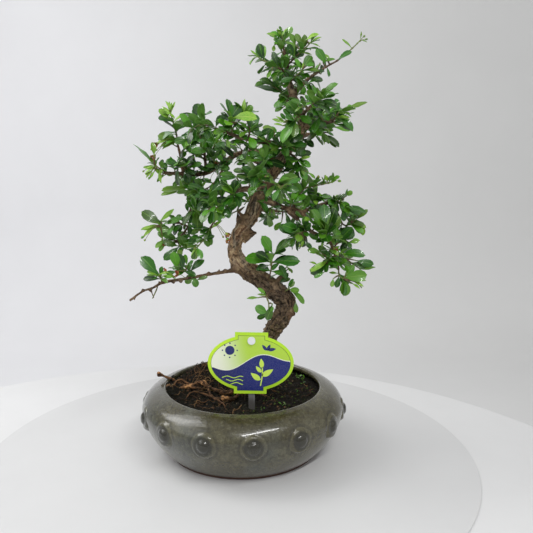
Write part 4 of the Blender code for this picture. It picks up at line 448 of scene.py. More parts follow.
# Single leaves (tip x, tip z, base x, base z, kind, youth) between and before the sprays
SINGLES = (
    (130, 186, 112, 191, MATURE, 0), (14, 201, 27, 190, WIDE, 0), (18, 365, 33, 356, MATURE, 0.1),
    (46, 178, 34, 168, MATURE, 0), (-79, 313, -64, 309, WIDE, 0.35), (-54, 304, -44, 293, MATURE, 0),
    (12, 240, 24, 233, MATURE, 0.1), (13, 183, 27, 187, MATURE, 0), (51, 405, 57, 393, MATURE, 0.3),
    (88, 383, 76, 379, LONG, 0.2), (-8, 280, 6, 277, MATURE, 0.1), (36, 186, 44, 172, MATURE, 0),
    (-44, 166, -50, 175, ROUND, 0.1), (-43, 284, -33, 279, MATURE, 0), (118, 241, 108, 233, MATURE, 0.15),
    (-52, 229, -43, 222, MATURE, 0), (-73, 181, -66, 173, YOUNG, 0.5), (53, 208, 57, 214, YOUNG, 0.9),
    (59, 205, 60, 213, YOUNG, 0.9), (47, 180, 44, 186, YOUNG, 0.8), (66, 190, 74, 187, YOUNG, 0.9),
    (66, 182, 74, 184, YOUNG, 1.0), (116, 211, 108, 213, YOUNG, 0.9), (117, 162, 109, 168, YOUNG, 1.0),
    (121, 165, 110, 170, YOUNG, 0.9), (31, 324, 40, 321, YOUNG, 0.8), (33, 330, 41, 325, YOUNG, 0.8),
    (87, 357, 74, 352, LONG, 0.3), (2, 263, 10, 256, YOUNG, 0.8), (-91, 281, -83, 283, YOUNG, 0.9),
    (-92, 273, -85, 280, YOUNG, 0.9), (-88, 271, -83, 279, YOUNG, 0.8), (-98, 222, -85, 226, YOUNG, 0.8),
    (-97, 216, -86, 224, YOUNG, 0.9), (103, 329, 92, 330, YOUNG, 0.9), (107, 336, 96, 335, YOUNG, 0.9),
    (105, 322, 94, 326, YOUNG, 0.8), (98, 331, 90, 329, YOUNG, 0.9), (118, 218, 107, 226, MATURE, 0.5),
    (122, 224, 109, 229, MATURE, 0.5), (-75, 338, -66, 333, YOUNG, 1.0), (-71, 344, -66, 336, YOUNG, 1.0),
    (-62, 343, -65, 336, YOUNG, 1.0), (34, 409, 38, 402, YOUNG, 1.0), (42, 410, 38, 402, YOUNG, 1.0),
    (-1, 191, 3, 186, YOUNG, 0.7), (-9, 186, -2, 184, YOUNG, 0.5), (4, 153, 16, 154, YOUNG, 0.4),
    (124, 183, 107, 189, MATURE, 0.05), (-84, 224, -67, 222, WIDE, 0.25), (105, 317, 89, 323, MATURE, 0.05),
    (-5, 274, 6, 273, ROUND, 0.1), (-78, 258, -60, 259, LONG, 0.6), (77, 363, 63, 364, WIDE, 0),
    (-63, 305, -51, 309, ROUND, 0.05), (70, 303, 57, 309, WIDE, 0), (47, 290, 42, 279, ROUND, 0),
    (-84, 306, -83, 293, MATURE, 0.6), (20, 319, 32, 318, WIDE, 0.5), (46, 405, 51, 394, WIDE, 0.3),
    (21, 208, 27, 194, LONG, 0), (66, 219, 77, 210, MATURE, 0), (72, 405, 60, 399, MATURE, 0.9),
    (57, 271, 43, 266, LONG, 0), (123, 241, 111, 231, LONG, 0.3), (-5, 286, 8, 285, LONG, 0.1),
    (-34, 176, -46, 172, LONG, 0.2), (28, 183, 37, 189, WIDE, 0), (53, 138, 53, 150, MATURE, 0.3),
    (13, 360, 25, 360, MATURE, 0.15), (68, 203, 59, 211, MATURE, 0), (-84, 204, -75, 213, MATURE, 0.35),
    (68, 377, 60, 377, ROUND, 0), (-48, 193, -47, 202, WIDE, 0.1), (119, 216, 119, 225, WIDE, 0.8),
    (89, 164, 90, 173, WIDE, 0.5), (-61, 204, -61, 194, WIDE, 0.55), (-69, 175, -80, 177, LONG, 0.3),
    (23, 131, 30, 148, MATURE, 0.1), (-21, 276, -4, 273, MATURE, 0.14), (72, 351, 58, 360, MATURE, 0),
    (-15, 242, -2, 247, WIDE, 0), (28, 319, 15, 309, MATURE, 0), (-48, 305, -39, 291, MATURE, 0.05),
    (64, 202, 78, 199, MATURE, 0.35), (-11, 305, -1, 307, MATURE, 0), (50, 392, 41, 398, ROUND, 0.4),
    (25, 231, 35, 235, MATURE, 0.3), (6, 267, -4, 267, WIDE, 0), (71, 173, 82, 180, LONG, 0),
    (-74, 287, -72, 278, WIDE, 0), (-78, 211, -62, 206, MATURE, 0.15), (-51, 226, -52, 215, MATURE, 0),
    (31, 222, 39, 230, WIDE, 0.3), (-76, 301, -61, 307, YOUNG, 0.5), (47, 174, 39, 169, WIDE, 0.15),
    (-83, 281, -76, 274, MATURE, 0.6), (-57, 198, -54, 187, MATURE, 0.1), (-83, 304, -68, 309, YOUNG, 0.9),
    (107, 259, 101, 255, ROUND, 0.35), (29, 327, 41, 324, YOUNG, 0.6), (-1, 315, -9, 316, WIDE, 0),
    (115, 210, 104, 209, MATURE, 0.5), (71, 271, 63, 278, LONG, 0.35), (-82, 202, -74, 209, MATURE, 0.3),
    (91, 301, 81, 308, LONG, 0.2), (32, 334, 41, 339, MATURE, 0.15), (52, 170, 46, 163, MATURE, 0.3),
    (-39, 228, -35, 239, LONG, 0), (104, 186, 104, 178, WIDE, 0), (-59, 237, -65, 233, WIDE, 0.1),
    (63, 259, 56, 255, MATURE, 0), (-53, 306, -37, 304, LONG, 0), (-7, 305, 5, 306, MATURE, 0),
    (-65, 242, -79, 231, YOUNG, 0.6), (104, 317, 87, 320, LONG, 0.2), (30, 318, 24, 310, WIDE, 0.1),
    (-21, 272, -4, 272, LONG, 0), (49, 282, 37, 277, LONG, 0), (-3, 317, -3, 324, WIDE, 0.1),
    (38, 333, 42, 326, MATURE, 0), (132, 185, 116, 182, YOUNG, 0.3), (-11, 308, -17, 313, WIDE, 0),
    (-53, 297, -56, 291, ROUND, 0.2), (88, 312, 81, 315, WIDE, 0), (-82, 220, -77, 213, MATURE, 0.2),
    (50, 179, 46, 184, WIDE, 0.5), (82, 382, 78, 387, MATURE, 0.5), (57, 350, 60, 358, ROUND, 0),
    (79, 304, 69, 313, LONG, 0.1), (-54, 248, -52, 239, MATURE, 0), (3, 316, -3, 323, WIDE, 0),
    (72, 200, 82, 192, LONG, 0.35), (-62, 328, -68, 333, YOUNG, 0.9), (30, 389, 31, 395, WIDE, 0.8),
    (-61, 220, -58, 227, WIDE, 0), (24, 365, 29, 372, MATURE, 0.35), (-13, 309, -6, 311, WIDE, 0),
    (66, 343, 60, 340, WIDE, 0), (81, 274, 83, 268, WIDE, 0.7),
)

# Leaves of sprays (tip x, tip z) that show their narrow side
EDGE_ON = ((-106, 299),)

# Paler leaves of sprays (tip x, tip z, youth)
PALER = (
    (15, 328, 0.78), (-77, 259, 0.5), (-64, 270, 0.42), (-94, 282, 0.45), (-80, 312, 0.45), (-78, 336, 0.7),
    (74, 403, 0.7), (24, 405, 0.55), (9, 390, 0.6), (20, 394, 0.45), (60, 404, 0.25), (50, 409, 0.4),
    (94, 400, 0.5), (102, 391, 0.35), (120, 342, 0.4), (108, 258, 0.25),
)

# Withered flowers and buds (x, z, stalk start x, stalk start z, kind)
BLOOMS = (
    (-16, 219, -28, 229, FLOWER), (-15, 214, -28, 229, FLOWER), (-19, 216, -28, 229, BUD),
    (-82, 294, -64, 309, FLOWER), (-79, 305, -64, 309, FLOWER), (-84, 300, -64, 308, BUD),
    (-80, 299, -64, 308, BUD), (-90, 277, -82, 283, BUD), (-88, 273, -82, 283, BUD),
    (-93, 279, -82, 283, BUD), (-17, 296, -17, 309, FLOWER), (-24, 289, -23, 297, FLOWER),
    (-46, 294, -42, 300, FLOWER), (-40, 271, -37, 277, FLOWER), (-50, 274, -48, 279, FLOWER),
    (-52, 279, -48, 279, BUD), (-74, 210, -68, 216, FLOWER), (-77, 213, -68, 216, BUD),
    (-74, 180, -66, 175, FLOWER), (-62, 178, -57, 175, FLOWER), (-96, 216, -82, 226, BUD),
    (-94, 213, -82, 226, BUD), (104, 222, 100, 226, FLOWER), (90, 204, 88, 208, FLOWER),
    (92, 201, 88, 208, BUD), (-46, 205, -42, 210, BUD), (23, 262, 20, 257, BUD), (73, 272, 70, 265, BUD),
    (80, 273, 78, 266, BUD), (93, 269, 87, 268, BUD), (114, 402, 111, 398, BUD), (116, 400, 111, 398, BUD),
    (-30, 271, -27, 277, BUD), (56, 207, 56, 214, BUD),
)

# Bare stalks (x, z, x, z) from the wood outwards
STALKS = (
    (68, 367, 74, 379), (2, 244, -12, 237), (13, 262, 2, 246), (-21, 251, -20, 262), (62, 214, 56, 203),
    (110, 172, 119, 163), (-82, 171, -89, 154),
)


def seen(x: float, z: float, y: float) -> np.ndarray:
    """The point that shows at (x, z) on the plane y = 0 and lies at depth y."""
    far = (EYE_AWAY + y) / EYE_AWAY
    return np.array((x * far, y, EYE_UP + (z - EYE_UP) * far))


def shown(points: np.ndarray) -> np.ndarray:
    """Where points (x, y, z) show on the plane y = 0, as (x, z)."""
    away = EYE_AWAY / (EYE_AWAY + points[..., 1])
    return np.stack((points[..., 0] * away, EYE_UP + (points[..., 2] - EYE_UP) * away), axis=-1)


def unit(vector: np.ndarray) -> np.ndarray:
    """The vector at length one."""
    return vector / max(np.linalg.norm(vector), 1e-9)


def square_to(along: np.ndarray, hint: Point) -> tuple[np.ndarray, np.ndarray]:
    """Two directions square to one and to each other; the hint settles how they are turned."""
    side = unit(np.cross(along, hint))
    return side, np.cross(along, side)


def smooth_route(points: Sequence[Point], per_span: int = 8) -> np.ndarray:
    """Draw a smooth curve through points.

    Args:
        points: Rows of numbers: places alone, or places with a radius.
        per_span: How many rows each span between two points gets.

    Returns:
        The curve's rows.
    """
    rows = np.array(points, dtype=float)
    ends = np.vstack((2 * rows[0] - rows[1], rows, 2 * rows[-1] - rows[-2]))
    out = []
    for i in range(len(rows) - 1):
        a, b, c, d = ends[i:i + 4]
        for k in range(per_span):
            t = k / per_span
            out.append(0.5 * (2 * b + (c - a) * t + (2 * a - 5 * b + 4 * c - d) * t * t
                              + (3 * b - a - 3 * c + d) * t ** 3))
    out.append(rows[-1])
    return np.array(out)


class Route:
    """A smooth curve read by the distance along it."""

    def __init__(self, points: Sequence[Point], per_span: int = 8) -> None:
        """Lay the curve through the points."""
        self.points = smooth_route(points, per_span)
        steps = np.linalg.norm(np.diff(self.points, axis=0), axis=1)
        self.marks = np.concatenate(((0.0,), np.cumsum(steps)))
        self.length = self.marks[-1]

    def at(self, distance: float) -> np.ndarray:
        """The point at a distance along."""
        return np.array([np.interp(distance, self.marks, self.points[:, k]) for k in range(3)])

    def heading(self, distance: float) -> np.ndarray:
        """The direction at a distance along."""
        low = max(distance - HEADING_STEP, 0.0)
        high = min(distance + HEADING_STEP, self.length)
        return unit(self.at(high) - self.at(low))


def clamped(value: float) -> float:
    """The value kept between 0 and 1."""
    return min(max(value, 0.0), 1.0)


def hill(heights: np.ndarray, middle: float, spread: float) -> np.ndarray:
    """A smooth hump of height 1 about a middle."""
    return np.exp(-((heights - middle) / spread) ** 2)


def ink(red: float, green: float, blue: float) -> Paint:
    """The linear colour of a display colour given in parts of 255."""
    return tuple([((c / 255 + 0.055) / 1.055) ** 2.4 if c > 10 else c / 255 / 12.92
                  for c in (red, green, blue)] + [1.0])


class Value:
    """A number socket that takes part in sums as a plain number does."""

    def __init__(self, shade: "Shade", socket: bpy.types.NodeSocket) -> None:
        """Keep the socket and the material it belongs to."""
        self.shade = shade
        self.socket = socket

    def worked(self, operation: str, *terms: Any) -> "Value":
        """The result of a Math node's operation on values or numbers, in the node's order."""
        node = self.shade.node("ShaderNodeMath", {"operation": operation}, dict(enumerate(terms)))
        return Value(self.shade, node.outputs[0])

    def __add__(self, other: Any) -> "Value":
        """The sum."""
        return self.worked("ADD", self, other)

    def __sub__(self, other: Any) -> "Value":
        """The difference."""
        return self.worked("SUBTRACT", self, other)

    def __rsub__(self, other: Any) -> "Value":
        """The difference from a number."""
        return self.worked("SUBTRACT", other, self)

    def __mul__(self, other: Any) -> "Value":
        """The product."""
        return self.worked("MULTIPLY", self, other)

    def __abs__(self) -> "Value":
        """The size without its sign."""
        return self.worked("ABSOLUTE", self)

    __radd__ = __add__
    __rmul__ = __mul__

    def power(self, exponent: float) -> "Value":
        """The value raised to a power."""
        return self.worked("POWER", self, exponent)

    def either(self, other: Any) -> "Value":
        """The larger of the two."""
        return self.worked("MAXIMUM", self, other)

    def remainder(self) -> "Value":
        """What is left after the whole part."""
        return self.worked("FRACT", self)

    def rise(self, low: float, high: float) -> "Value":
        """A soft step from 0 at low to 1 at high; low may be the larger."""
        ends = (low, high, 0.0, 1.0) if low < high else (high, low, 1.0, 0.0)
        node = self.shade.node("ShaderNodeMapRange", {"interpolation_type": "SMOOTHSTEP"},
                               dict(enumerate((self,) + ends)))
        return Value(self.shade, node.outputs[0])


class Shade:
    """One material: its nodes and the surface that they feed."""

    def __init__(self, name: str) -> None:
        """Start a material whose patterns read Object coordinates."""
        self.material = bpy.data.materials.new(name)
        self.material.use_nodes = True
        self.tree = self.material.node_tree
        self.surface = self.tree.nodes["Principled BSDF"]
        self.place = self.node("ShaderNodeTexCoord").outputs["Object"]

    def node(self, kind: str, settings: dict | None = None, inputs: dict | None = None) -> bpy.types.Node:
        """Add a node.

        Args:
            kind: The node's type.
            settings: Its properties; "stops" holds a ramp's (place, colour) pairs.
            inputs: Numbers, vectors, Values or sockets by the input's name or place.

        Returns:
            The node.
        """
        made = self.tree.nodes.new(kind)
        for key, value in (settings or {}).items():
            if key != "stops":
                setattr(made, key, value)
                continue
            steps = made.color_ramp.elements
            while len(steps) < len(value):
                steps.new(0.5)
            for step, (spot, colour) in zip(steps, value):
                step.position = spot
                step.color = colour
        for key, value in (inputs or {}).items():
            self.feed(made.inputs[key], value)
        return made

    def feed(self, socket: bpy.types.NodeSocket, value: Any) -> None:
        """Link a Value or a socket to an input, or set a plain value on it.

        Args:
            socket: The input.
            value: A Value, a socket, a number or a tuple.
        """
        if isinstance(value, Value):
            value = value.socket
        if isinstance(value, bpy.types.NodeSocket):
            self.tree.links.new(value, socket)
        else:
            socket.default_value = value

    def noise(self, scale: float, detail: float = 3.0, rough: float = 0.55, warp: float = 0.0,
              at: Any = None) -> Value:
        """Cloudy noise, about 0.5 in the middle.

        Args:
            scale: How many lumps it has in a metre, or in a unit of its coordinates.
            detail: How many finer layers it has.
            rough: How strong the finer layers are.
            warp: How far its lumps are pulled about.
            at: Its coordinates, or none for the object's own.

        Returns:
            The noise.
        """
        node = self.node("ShaderNodeTexNoise", None, {
            "Vector": at or self.place, "Scale": scale, "Detail": detail, "Roughness": rough,
            "Distortion": warp})
        return Value(self, node.outputs[0])

    def cells(self, scale: float, feature: str = "F1", at: Any = None) -> Value:
        """Distance to the nearest cell centre (F1), or to a cell's edge."""
        node = self.node("ShaderNodeTexVoronoi", {"feature": feature},
                         {"Vector": at or self.place, "Scale": scale})
        return Value(self, node.outputs["Distance"])

    def warped(self, amount: float, scale: float, at: Any = None) -> bpy.types.NodeSocket:
        """Coordinates pushed about by noise.

        Args:
            amount: How far they are pushed.
            scale: How many lumps the noise has in a metre.
            at: The coordinates, or none for the object's own.

        Returns:
            The new coordinates.
        """
        start = at or self.place
        push = self.node("ShaderNodeTexNoise", None, {"Vector": start, "Scale": scale, "Detail": 2.0})
        centred = self.node("ShaderNodeVectorMath", {"operation": "SUBTRACT"},
                            {0: push.outputs["Color"], 1: (0.5, 0.5, 0.5)})
        scaled = self.node("ShaderNodeVectorMath", {"operation": "SCALE"},
                           {0: centred.outputs[0], "Scale": amount})
        moved = self.node("ShaderNodeVectorMath", {"operation": "ADD"}, {0: start, 1: scaled.outputs[0]})
        return moved.outputs[0]

    def stretched(self, factors: Sequence[float], at: Any = None) -> bpy.types.NodeSocket:
        """Coordinates scaled by a factor along each axis."""
        node = self.node("ShaderNodeVectorMath", {"operation": "MULTIPLY"},
                         {0: at or self.place, 1: tuple(factors)})
        return node.outputs[0]

    def parts(self, vector: Any = None) -> tuple[Value, Value, Value]:
        """The three coordinates as numbers."""
        node = self.node("ShaderNodeSeparateXYZ", None, {0: vector or self.place})
        return tuple(Value(self, out) for out in node.outputs)

    def stored(self, name: str, output: str = "Vector") -> bpy.types.NodeSocket:
        """What the mesh holds under a name."""
        return self.node("ShaderNodeAttribute", {"attribute_name": name}).outputs[output]

    def number(self, name: str) -> Value:
        """The number that the mesh holds under a name."""
        return Value(self, self.stored(name, "Fac"))

    def mix(self, share: Any, first: Any, second: Any) -> bpy.types.NodeSocket:
        """One colour changed towards another by a share."""
        node = self.node("ShaderNodeMix", {"data_type": "RGBA"}, {0: share, 6: first, 7: second})
        return node.outputs[2]

    def ramp(self, value: Value, *stops: tuple[float, Paint]) -> bpy.types.NodeSocket:
        """A colour read from stops."""
        return self.node("ShaderNodeValToRGB", {"stops": stops}, {0: value}).outputs[0]

    def bump(self, height: Value, depth: float, strength: float = 1.0, under: Any = None) -> Any:
        """A bump of the given depth in metres, over another one if given."""
        inputs = {"Height": height, "Distance": depth, "Strength": strength}
        if under is not None:
            inputs["Normal"] = under
        return self.node("ShaderNodeBump", None, inputs).outputs[0]

    def dress(self, **inputs: Any) -> bpy.types.Material:
        """Feed the surface; a name's underscores stand for spaces."""
        for name, value in inputs.items():
            self.feed(self.surface.inputs[name.replace("_", " ")], value)
        return self.material


def nothing_picked() -> None:
    """Deselect all, so that an operator acts on the new primitive alone."""
    if bpy.context.object and bpy.context.object.mode != "OBJECT":
        bpy.ops.object.mode_set(mode="OBJECT")
    bpy.ops.object.select_all(action="DESELECT")


def pick(item: bpy.types.Object) -> None:
    """Select one object alone and make it the active one."""
    nothing_picked()
    item.select_set(True)
    bpy.context.view_layer.objects.active = item


@contextmanager
def editing(item: bpy.types.Object, kind: str = "VERT") -> Iterator[None]:
    """Edit mode on one object with everything selected.

    Args:
        item: The object.
        kind: What edit mode selects, VERT, EDGE or FACE.

    Returns:
        A context that goes back to object mode at its end.
    """
    pick(item)
    bpy.ops.object.mode_set(mode="EDIT")
    bpy.ops.mesh.select_mode(type=kind)
    bpy.ops.mesh.select_all(action="SELECT")
    yield
    bpy.ops.object.mode_set(mode="OBJECT")


def choose(item: bpy.types.Object, test: Callable[[Vector], bool]) -> None:
    """Select the points that pass a test; the object is in edit mode."""
    shape = bmesh.from_edit_mesh(item.data)
    for point in shape.verts:
        point.select_set(test(point.co))
    shape.select_flush_mode()
    bmesh.update_edit_mesh(item.data)


def grounded(item: bpy.types.Object) -> None:
    """Put the object at the origin, its place in its mesh."""
    pick(item)
    bpy.ops.object.transform_apply(location=True, rotation=True, scale=True)


def outward_faces(item: bpy.types.Object, doubles: float = 0.0) -> None:
    """Merge doubles if asked and turn every face outwards."""
    with editing(item):
        if doubles:
            bpy.ops.mesh.remove_doubles(threshold=doubles)
        bpy.ops.mesh.normals_make_consistent(inside=False)


def softened(item: bpy.types.Object, angle: float) -> None:
    """Shade smooth but for edges sharper than the angle in degrees."""
    pick(item)
    bpy.ops.object.shade_smooth_by_angle(angle=math.radians(angle))


def applied(item: bpy.types.Object, kind: str, **settings: Any) -> None:
    """Add a modifier, set it and apply it."""
    pick(item)
    modifier = item.modifiers.new(kind.lower(), kind)
    for key, value in settings.items():
        setattr(modifier, key, value)
    bpy.ops.object.modifier_apply(modifier=modifier.name)


def joined(name: str, items: Sequence[bpy.types.Object]) -> bpy.types.Object:
    """One object of several loose ones.

    Args:
        name: The object's name.
        items: The loose objects; the first takes up the rest.

    Returns:
        The object.
    """
    pick(items[0])
    for item in items[1:]:
        item.select_set(True)
    bpy.ops.object.join()
    items[0].name = name
    items[0].data.name = name
    return items[0]


def combined(item: bpy.types.Object, tools: Sequence[bpy.types.Object], operation: str) -> None:
    """One Boolean on a collection of tools, which are removed after it.

    Args:
        item: The object that is worked on.
        tools: The objects that are added or cut away.
        operation: UNION or DIFFERENCE.
    """
    group = bpy.data.collections.new("tools")
    for tool in tools:
        group.objects.link(tool)
    applied(item, "BOOLEAN", operation=operation, operand_type="COLLECTION", collection=group,
            solver="MANIFOLD")
    for tool in tools:
        bpy.data.objects.remove(tool)
    bpy.data.collections.remove(group)


def as_mesh(name: str, line: bpy.types.Curve) -> bpy.types.Object:
    """A curve made an object and turned into a mesh."""
    item = bpy.data.objects.new(name, line)
    bpy.context.scene.collection.objects.link(item)
    pick(item)
    bpy.ops.object.convert(target="MESH")
    return bpy.context.object


def from_faces(name: str, points: np.ndarray, faces: Sequence[tuple]) -> bpy.types.Object:
    """An object of points in millimetres and the faces that join them."""
    mesh = bpy.data.meshes.new(name)
    mesh.from_pydata((points * MM).tolist(), [], faces)
    item = bpy.data.objects.new(name, mesh)
    bpy.context.scene.collection.objects.link(item)
    return item


def faces_of(item: bpy.types.Object) -> list[tuple]:
    """The mesh's faces as tuples of its points' numbers."""
    return [tuple(face.vertices) for face in item.data.polygons]


def tree_of(places: Sequence[Point]) -> kdtree.KDTree:
    """A search tree of places, each found by its number."""
    tree = kdtree.KDTree(len(places))
    for index, place in enumerate(places):
        tree.insert(Vector(place), index)
    tree.balance()
    return tree


class Gathered:
    """Small parts gathered for one mesh, each of their points with a colour."""

    def __init__(self) -> None:
        """Start with nothing."""
        self.points: list[np.ndarray] = []
        self.faces: list[tuple] = []
        self.colours: list[np.ndarray] = []
        self.count = 0

    def add(self, points: np.ndarray, faces: Sequence[tuple], colour: Any) -> None:
        """Add a part; it has one colour, or one for every point."""
        self.points.append(points)
        self.faces += [tuple(v + self.count for v in face) for face in faces]
        self.colours.append(np.broadcast_to(colour, (len(points), 4)))
        self.count += len(points)

    def made(self, name: str, layer: str) -> bpy.types.Object:
        """The object, its colours stored under the layer's name."""
        item = from_faces(name, np.vstack(self.points), self.faces)
        mark(item, layer, np.vstack(self.colours), "FLOAT_COLOR")
        return item


def turned(name: str, profile: Sequence[Point], sides: int, middle: Point = (0.0, 0.0)) -> bpy.types.Object:
    """A closed turned body drawn up from a disc, row by row.

    Args:
        name: The object's name.
        profile: (radius, height) from the first disc to the last, in millimetres.
        sides: How many sides the body has.
        middle: Where its axis stands.

    Returns:
        The object at the origin.
    """
    nothing_picked()
    radius, height = profile[0]
    x, y = middle[0] * MM, middle[1] * MM
    bpy.ops.mesh.primitive_circle_add(vertices=sides, radius=radius * MM, fill_type="NGON",
                                      location=(x, y, height * MM))
    item = bpy.context.object
    item.name = name
    grounded(item)
    with editing(item):
        for (before, low), (after, high) in zip(profile, profile[1:]):
            bpy.ops.mesh.extrude_region_move(TRANSFORM_OT_translate={"value": (0, 0, (high - low) * MM)})
            bpy.ops.transform.resize(value=(after / before, after / before, 1.0),
                                     center_override=(x, y, high * MM))
    outward_faces(item)
    return item


def rod(name: str, paths: Sequence[tuple[np.ndarray, Sequence[float]]], sides: int = 8) -> bpy.types.Object:
    """Round rods along paths, closed at both ends, as one mesh.

    Args:
        name: The object's name.
        paths: For each rod its points in millimetres and its radii.
        sides: How many sides the rods have.

    Returns:
        The object at the origin.
    """
    line = bpy.data.curves.new(name, "CURVE")
    line.dimensions = "3D"
    line.bevel_depth = 1.0
    line.bevel_resolution = max((sides - 4) // 2, 0)
    line.use_fill_caps = True
    for points, radii in paths:
        spline = line.splines.new("POLY")
        spline.points.add(len(points) - 1)
        for spot, place, radius in zip(spline.points, points, radii):
            spot.co = (*(float(c) * MM for c in place), 1.0)
            spot.radius = float(radius) * MM
    item = as_mesh(name, line)
    outward_faces(item, 1e-6)
    return item


def points_of(item: bpy.types.Object) -> np.ndarray:
    """The mesh's points in millimetres."""
    flat = np.zeros(len(item.data.vertices) * 3)
    item.data.vertices.foreach_get("co", flat)
    return flat.reshape(-1, 3) / MM


def set_points(item: bpy.types.Object, points: np.ndarray) -> None:
    """Move the mesh's points to these places in millimetres."""
    item.data.vertices.foreach_set("co", (np.asarray(points) * MM).ravel())
    item.data.update()


def mark(item: bpy.types.Object, name: str, values: np.ndarray, kind: str = "FLOAT_VECTOR") -> None:
    """Store a value for every point of the mesh."""
    layer = item.data.attributes.new(name, kind, "POINT")
    key = {"FLOAT_VECTOR": "vector", "FLOAT": "value", "FLOAT_COLOR": "color"}[kind]
    layer.data.foreach_set(key, np.asarray(values, dtype=float).ravel())


def tinted(item: bpy.types.Object, tints: np.ndarray) -> None:
    """Store a colour for every point, or one for them all."""
    tints = np.asarray(tints, dtype=float)
    if tints.ndim == 1:
        tints = np.tile(tints, (len(item.data.vertices), 1))
    mark(item, "tint", tints, "FLOAT_COLOR")


def dressed(item: bpy.types.Object, finish: bpy.types.Material) -> None:
    """Give an object one material in place of those that it has."""
    item.data.materials.clear()
    item.data.materials.append(finish)


def put(piece: bpy.types.Object, finish: bpy.types.Material,
        replaces: Sequence[str] = ()) -> None:
    """Dress a piece, let it ride on the body and hide the plain nodes that it stands for.

    Args:
        piece: The finished piece.
        finish: Its material.
        replaces: The plain nodes that it stands for.
    """
    dressed(piece, finish)
    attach(piece, BODY)
    if replaces:
        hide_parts(*replaces)
    LOG.info("%s: %d faces", piece.name, len(piece.data.polygons))


def blade_frame(leaf: Leaf) -> tuple:
    """Length, direction, upper side and width direction of a leaf."""
    chord = leaf.tip - leaf.base
    length = np.linalg.norm(chord)
    ahead = chord / length
    up = unit(leaf.up - ahead * np.dot(leaf.up, ahead))
    return length, ahead, up, np.cross(up, ahead)


def twig_frames(route: Route, marks: Sequence[float], hint: Point = (0.13, 0.9, 0.4)) -> list[tuple]:
    """Carry a frame along a route without twist.

    Args:
        route: The route.
        marks: Distances along it.
        hint: The direction that settles how the first frame is turned.

    Returns:
        A frame (point, along, side, across) for each distance.
    """
    frames = []
    side = None
    for mark_at in marks:
        along = route.heading(mark_at)
        if side is None:
            side = unit(np.cross(along, hint))
        side = unit(side - along * np.dot(side, along))
        frames.append((route.at(mark_at), along, side, np.cross(along, side)))
    return frames


def leaf_samples(leaf: Leaf) -> np.ndarray:
    """Points spread over a blade, to keep blades apart.

    Args:
        leaf: The blade.

    Returns:
        The points in millimetres.
    """
    length, ahead, up, across = blade_frame(leaf)
    half = leaf.kind.value[0] * length / 2
    spots = ((0.35, 0.0), (0.6, 0.0), (0.82, 0.0), (1.0, 0.0), (0.6, 0.9), (0.6, -0.9),
             (0.88, 0.6), (0.88, -0.6))
    return np.array([leaf.base + ahead * s * length + across * w * half
                     + up * leaf.arch * length * 4 * s * (1 - s) for s, w in spots])


def turn_of(direction: np.ndarray, side: np.ndarray, across: np.ndarray) -> float:
    """The turn about a twig towards which a direction points."""
    return math.atan2(np.dot(direction, across), np.dot(direction, side))


def outward(turn: float, side: np.ndarray, across: np.ndarray) -> np.ndarray:
    """The direction away from a twig at a turn about it."""
    return math.cos(turn) * side + math.sin(turn) * across


def nearest(spots: np.ndarray, taken: Sequence[np.ndarray]) -> float:
    """Least distance from the spots to any point that is taken.

    Args:
        spots: Points of a new blade.
        taken: Points of the blades that stand, an array for each.

    Returns:
        The distance, or infinity where none stands near.
    """
    if not taken:
        return math.inf
    others = np.vstack(taken)
    low, high = spots.min(axis=0) - NEAR, spots.max(axis=0) + NEAR
    others = others[np.all((others > low) & (others < high), axis=1)]
    if not len(others):
        return math.inf
    return float(np.linalg.norm(others[None, :, :] - spots[:, None, :], axis=2).min())


def nearest_wood(spots: np.ndarray, wood: np.ndarray) -> float:
    """Least distance from the spots to the skin of the wood, rows of (x, y, z, radius)."""
    gaps = np.linalg.norm(wood[None, :, :3] - spots[:, None, :], axis=2) - wood[None, :, 3]
    return float(gaps.min())


def limb_points() -> np.ndarray:
    """Points along the middle of every limb with the limb's radius there."""
    rows = []
    for limb in LIMBS.values():
        points, radii = limb_path(limb)
        ends = np.column_stack((points, radii))
        for a, b in zip(ends, ends[1:]):
            count = max(int(np.linalg.norm(b[:3] - a[:3]) / LIMB_STEP), 1)
            rows += [a + (b - a) * k / count for k in range(count)]
        rows.append(ends[-1])
    return np.array(rows)


def wood_points() -> np.ndarray:
    """Points along every limb and twig with their radii."""
    rows = [limb_points()]
    for spray in SPRAYS:
        route = smooth_route([seen(*place) for place in spray.route], 6)
        rows.append(np.column_stack((route, np.full(len(route), 0.6))))
    return np.vstack(rows)


def wood_at(x: float, z: float, wood: np.ndarray) -> np.ndarray:
    """The row of the wood whose middle shows nearest to (x, z) on the plane y = 0."""
    return wood[np.argmin(np.linalg.norm(shown(wood) - (x, z), axis=1))]


def rooted(x: float, z: float, wood: np.ndarray) -> tuple[np.ndarray, np.ndarray]:
    """Where something that shows at (x, z) starts, at the nearest wood's depth, and that wood's middle."""
    foot = wood_at(x, z, wood)
    return seen(x, z, foot[1] - 0.5 * foot[3]), foot[:3]


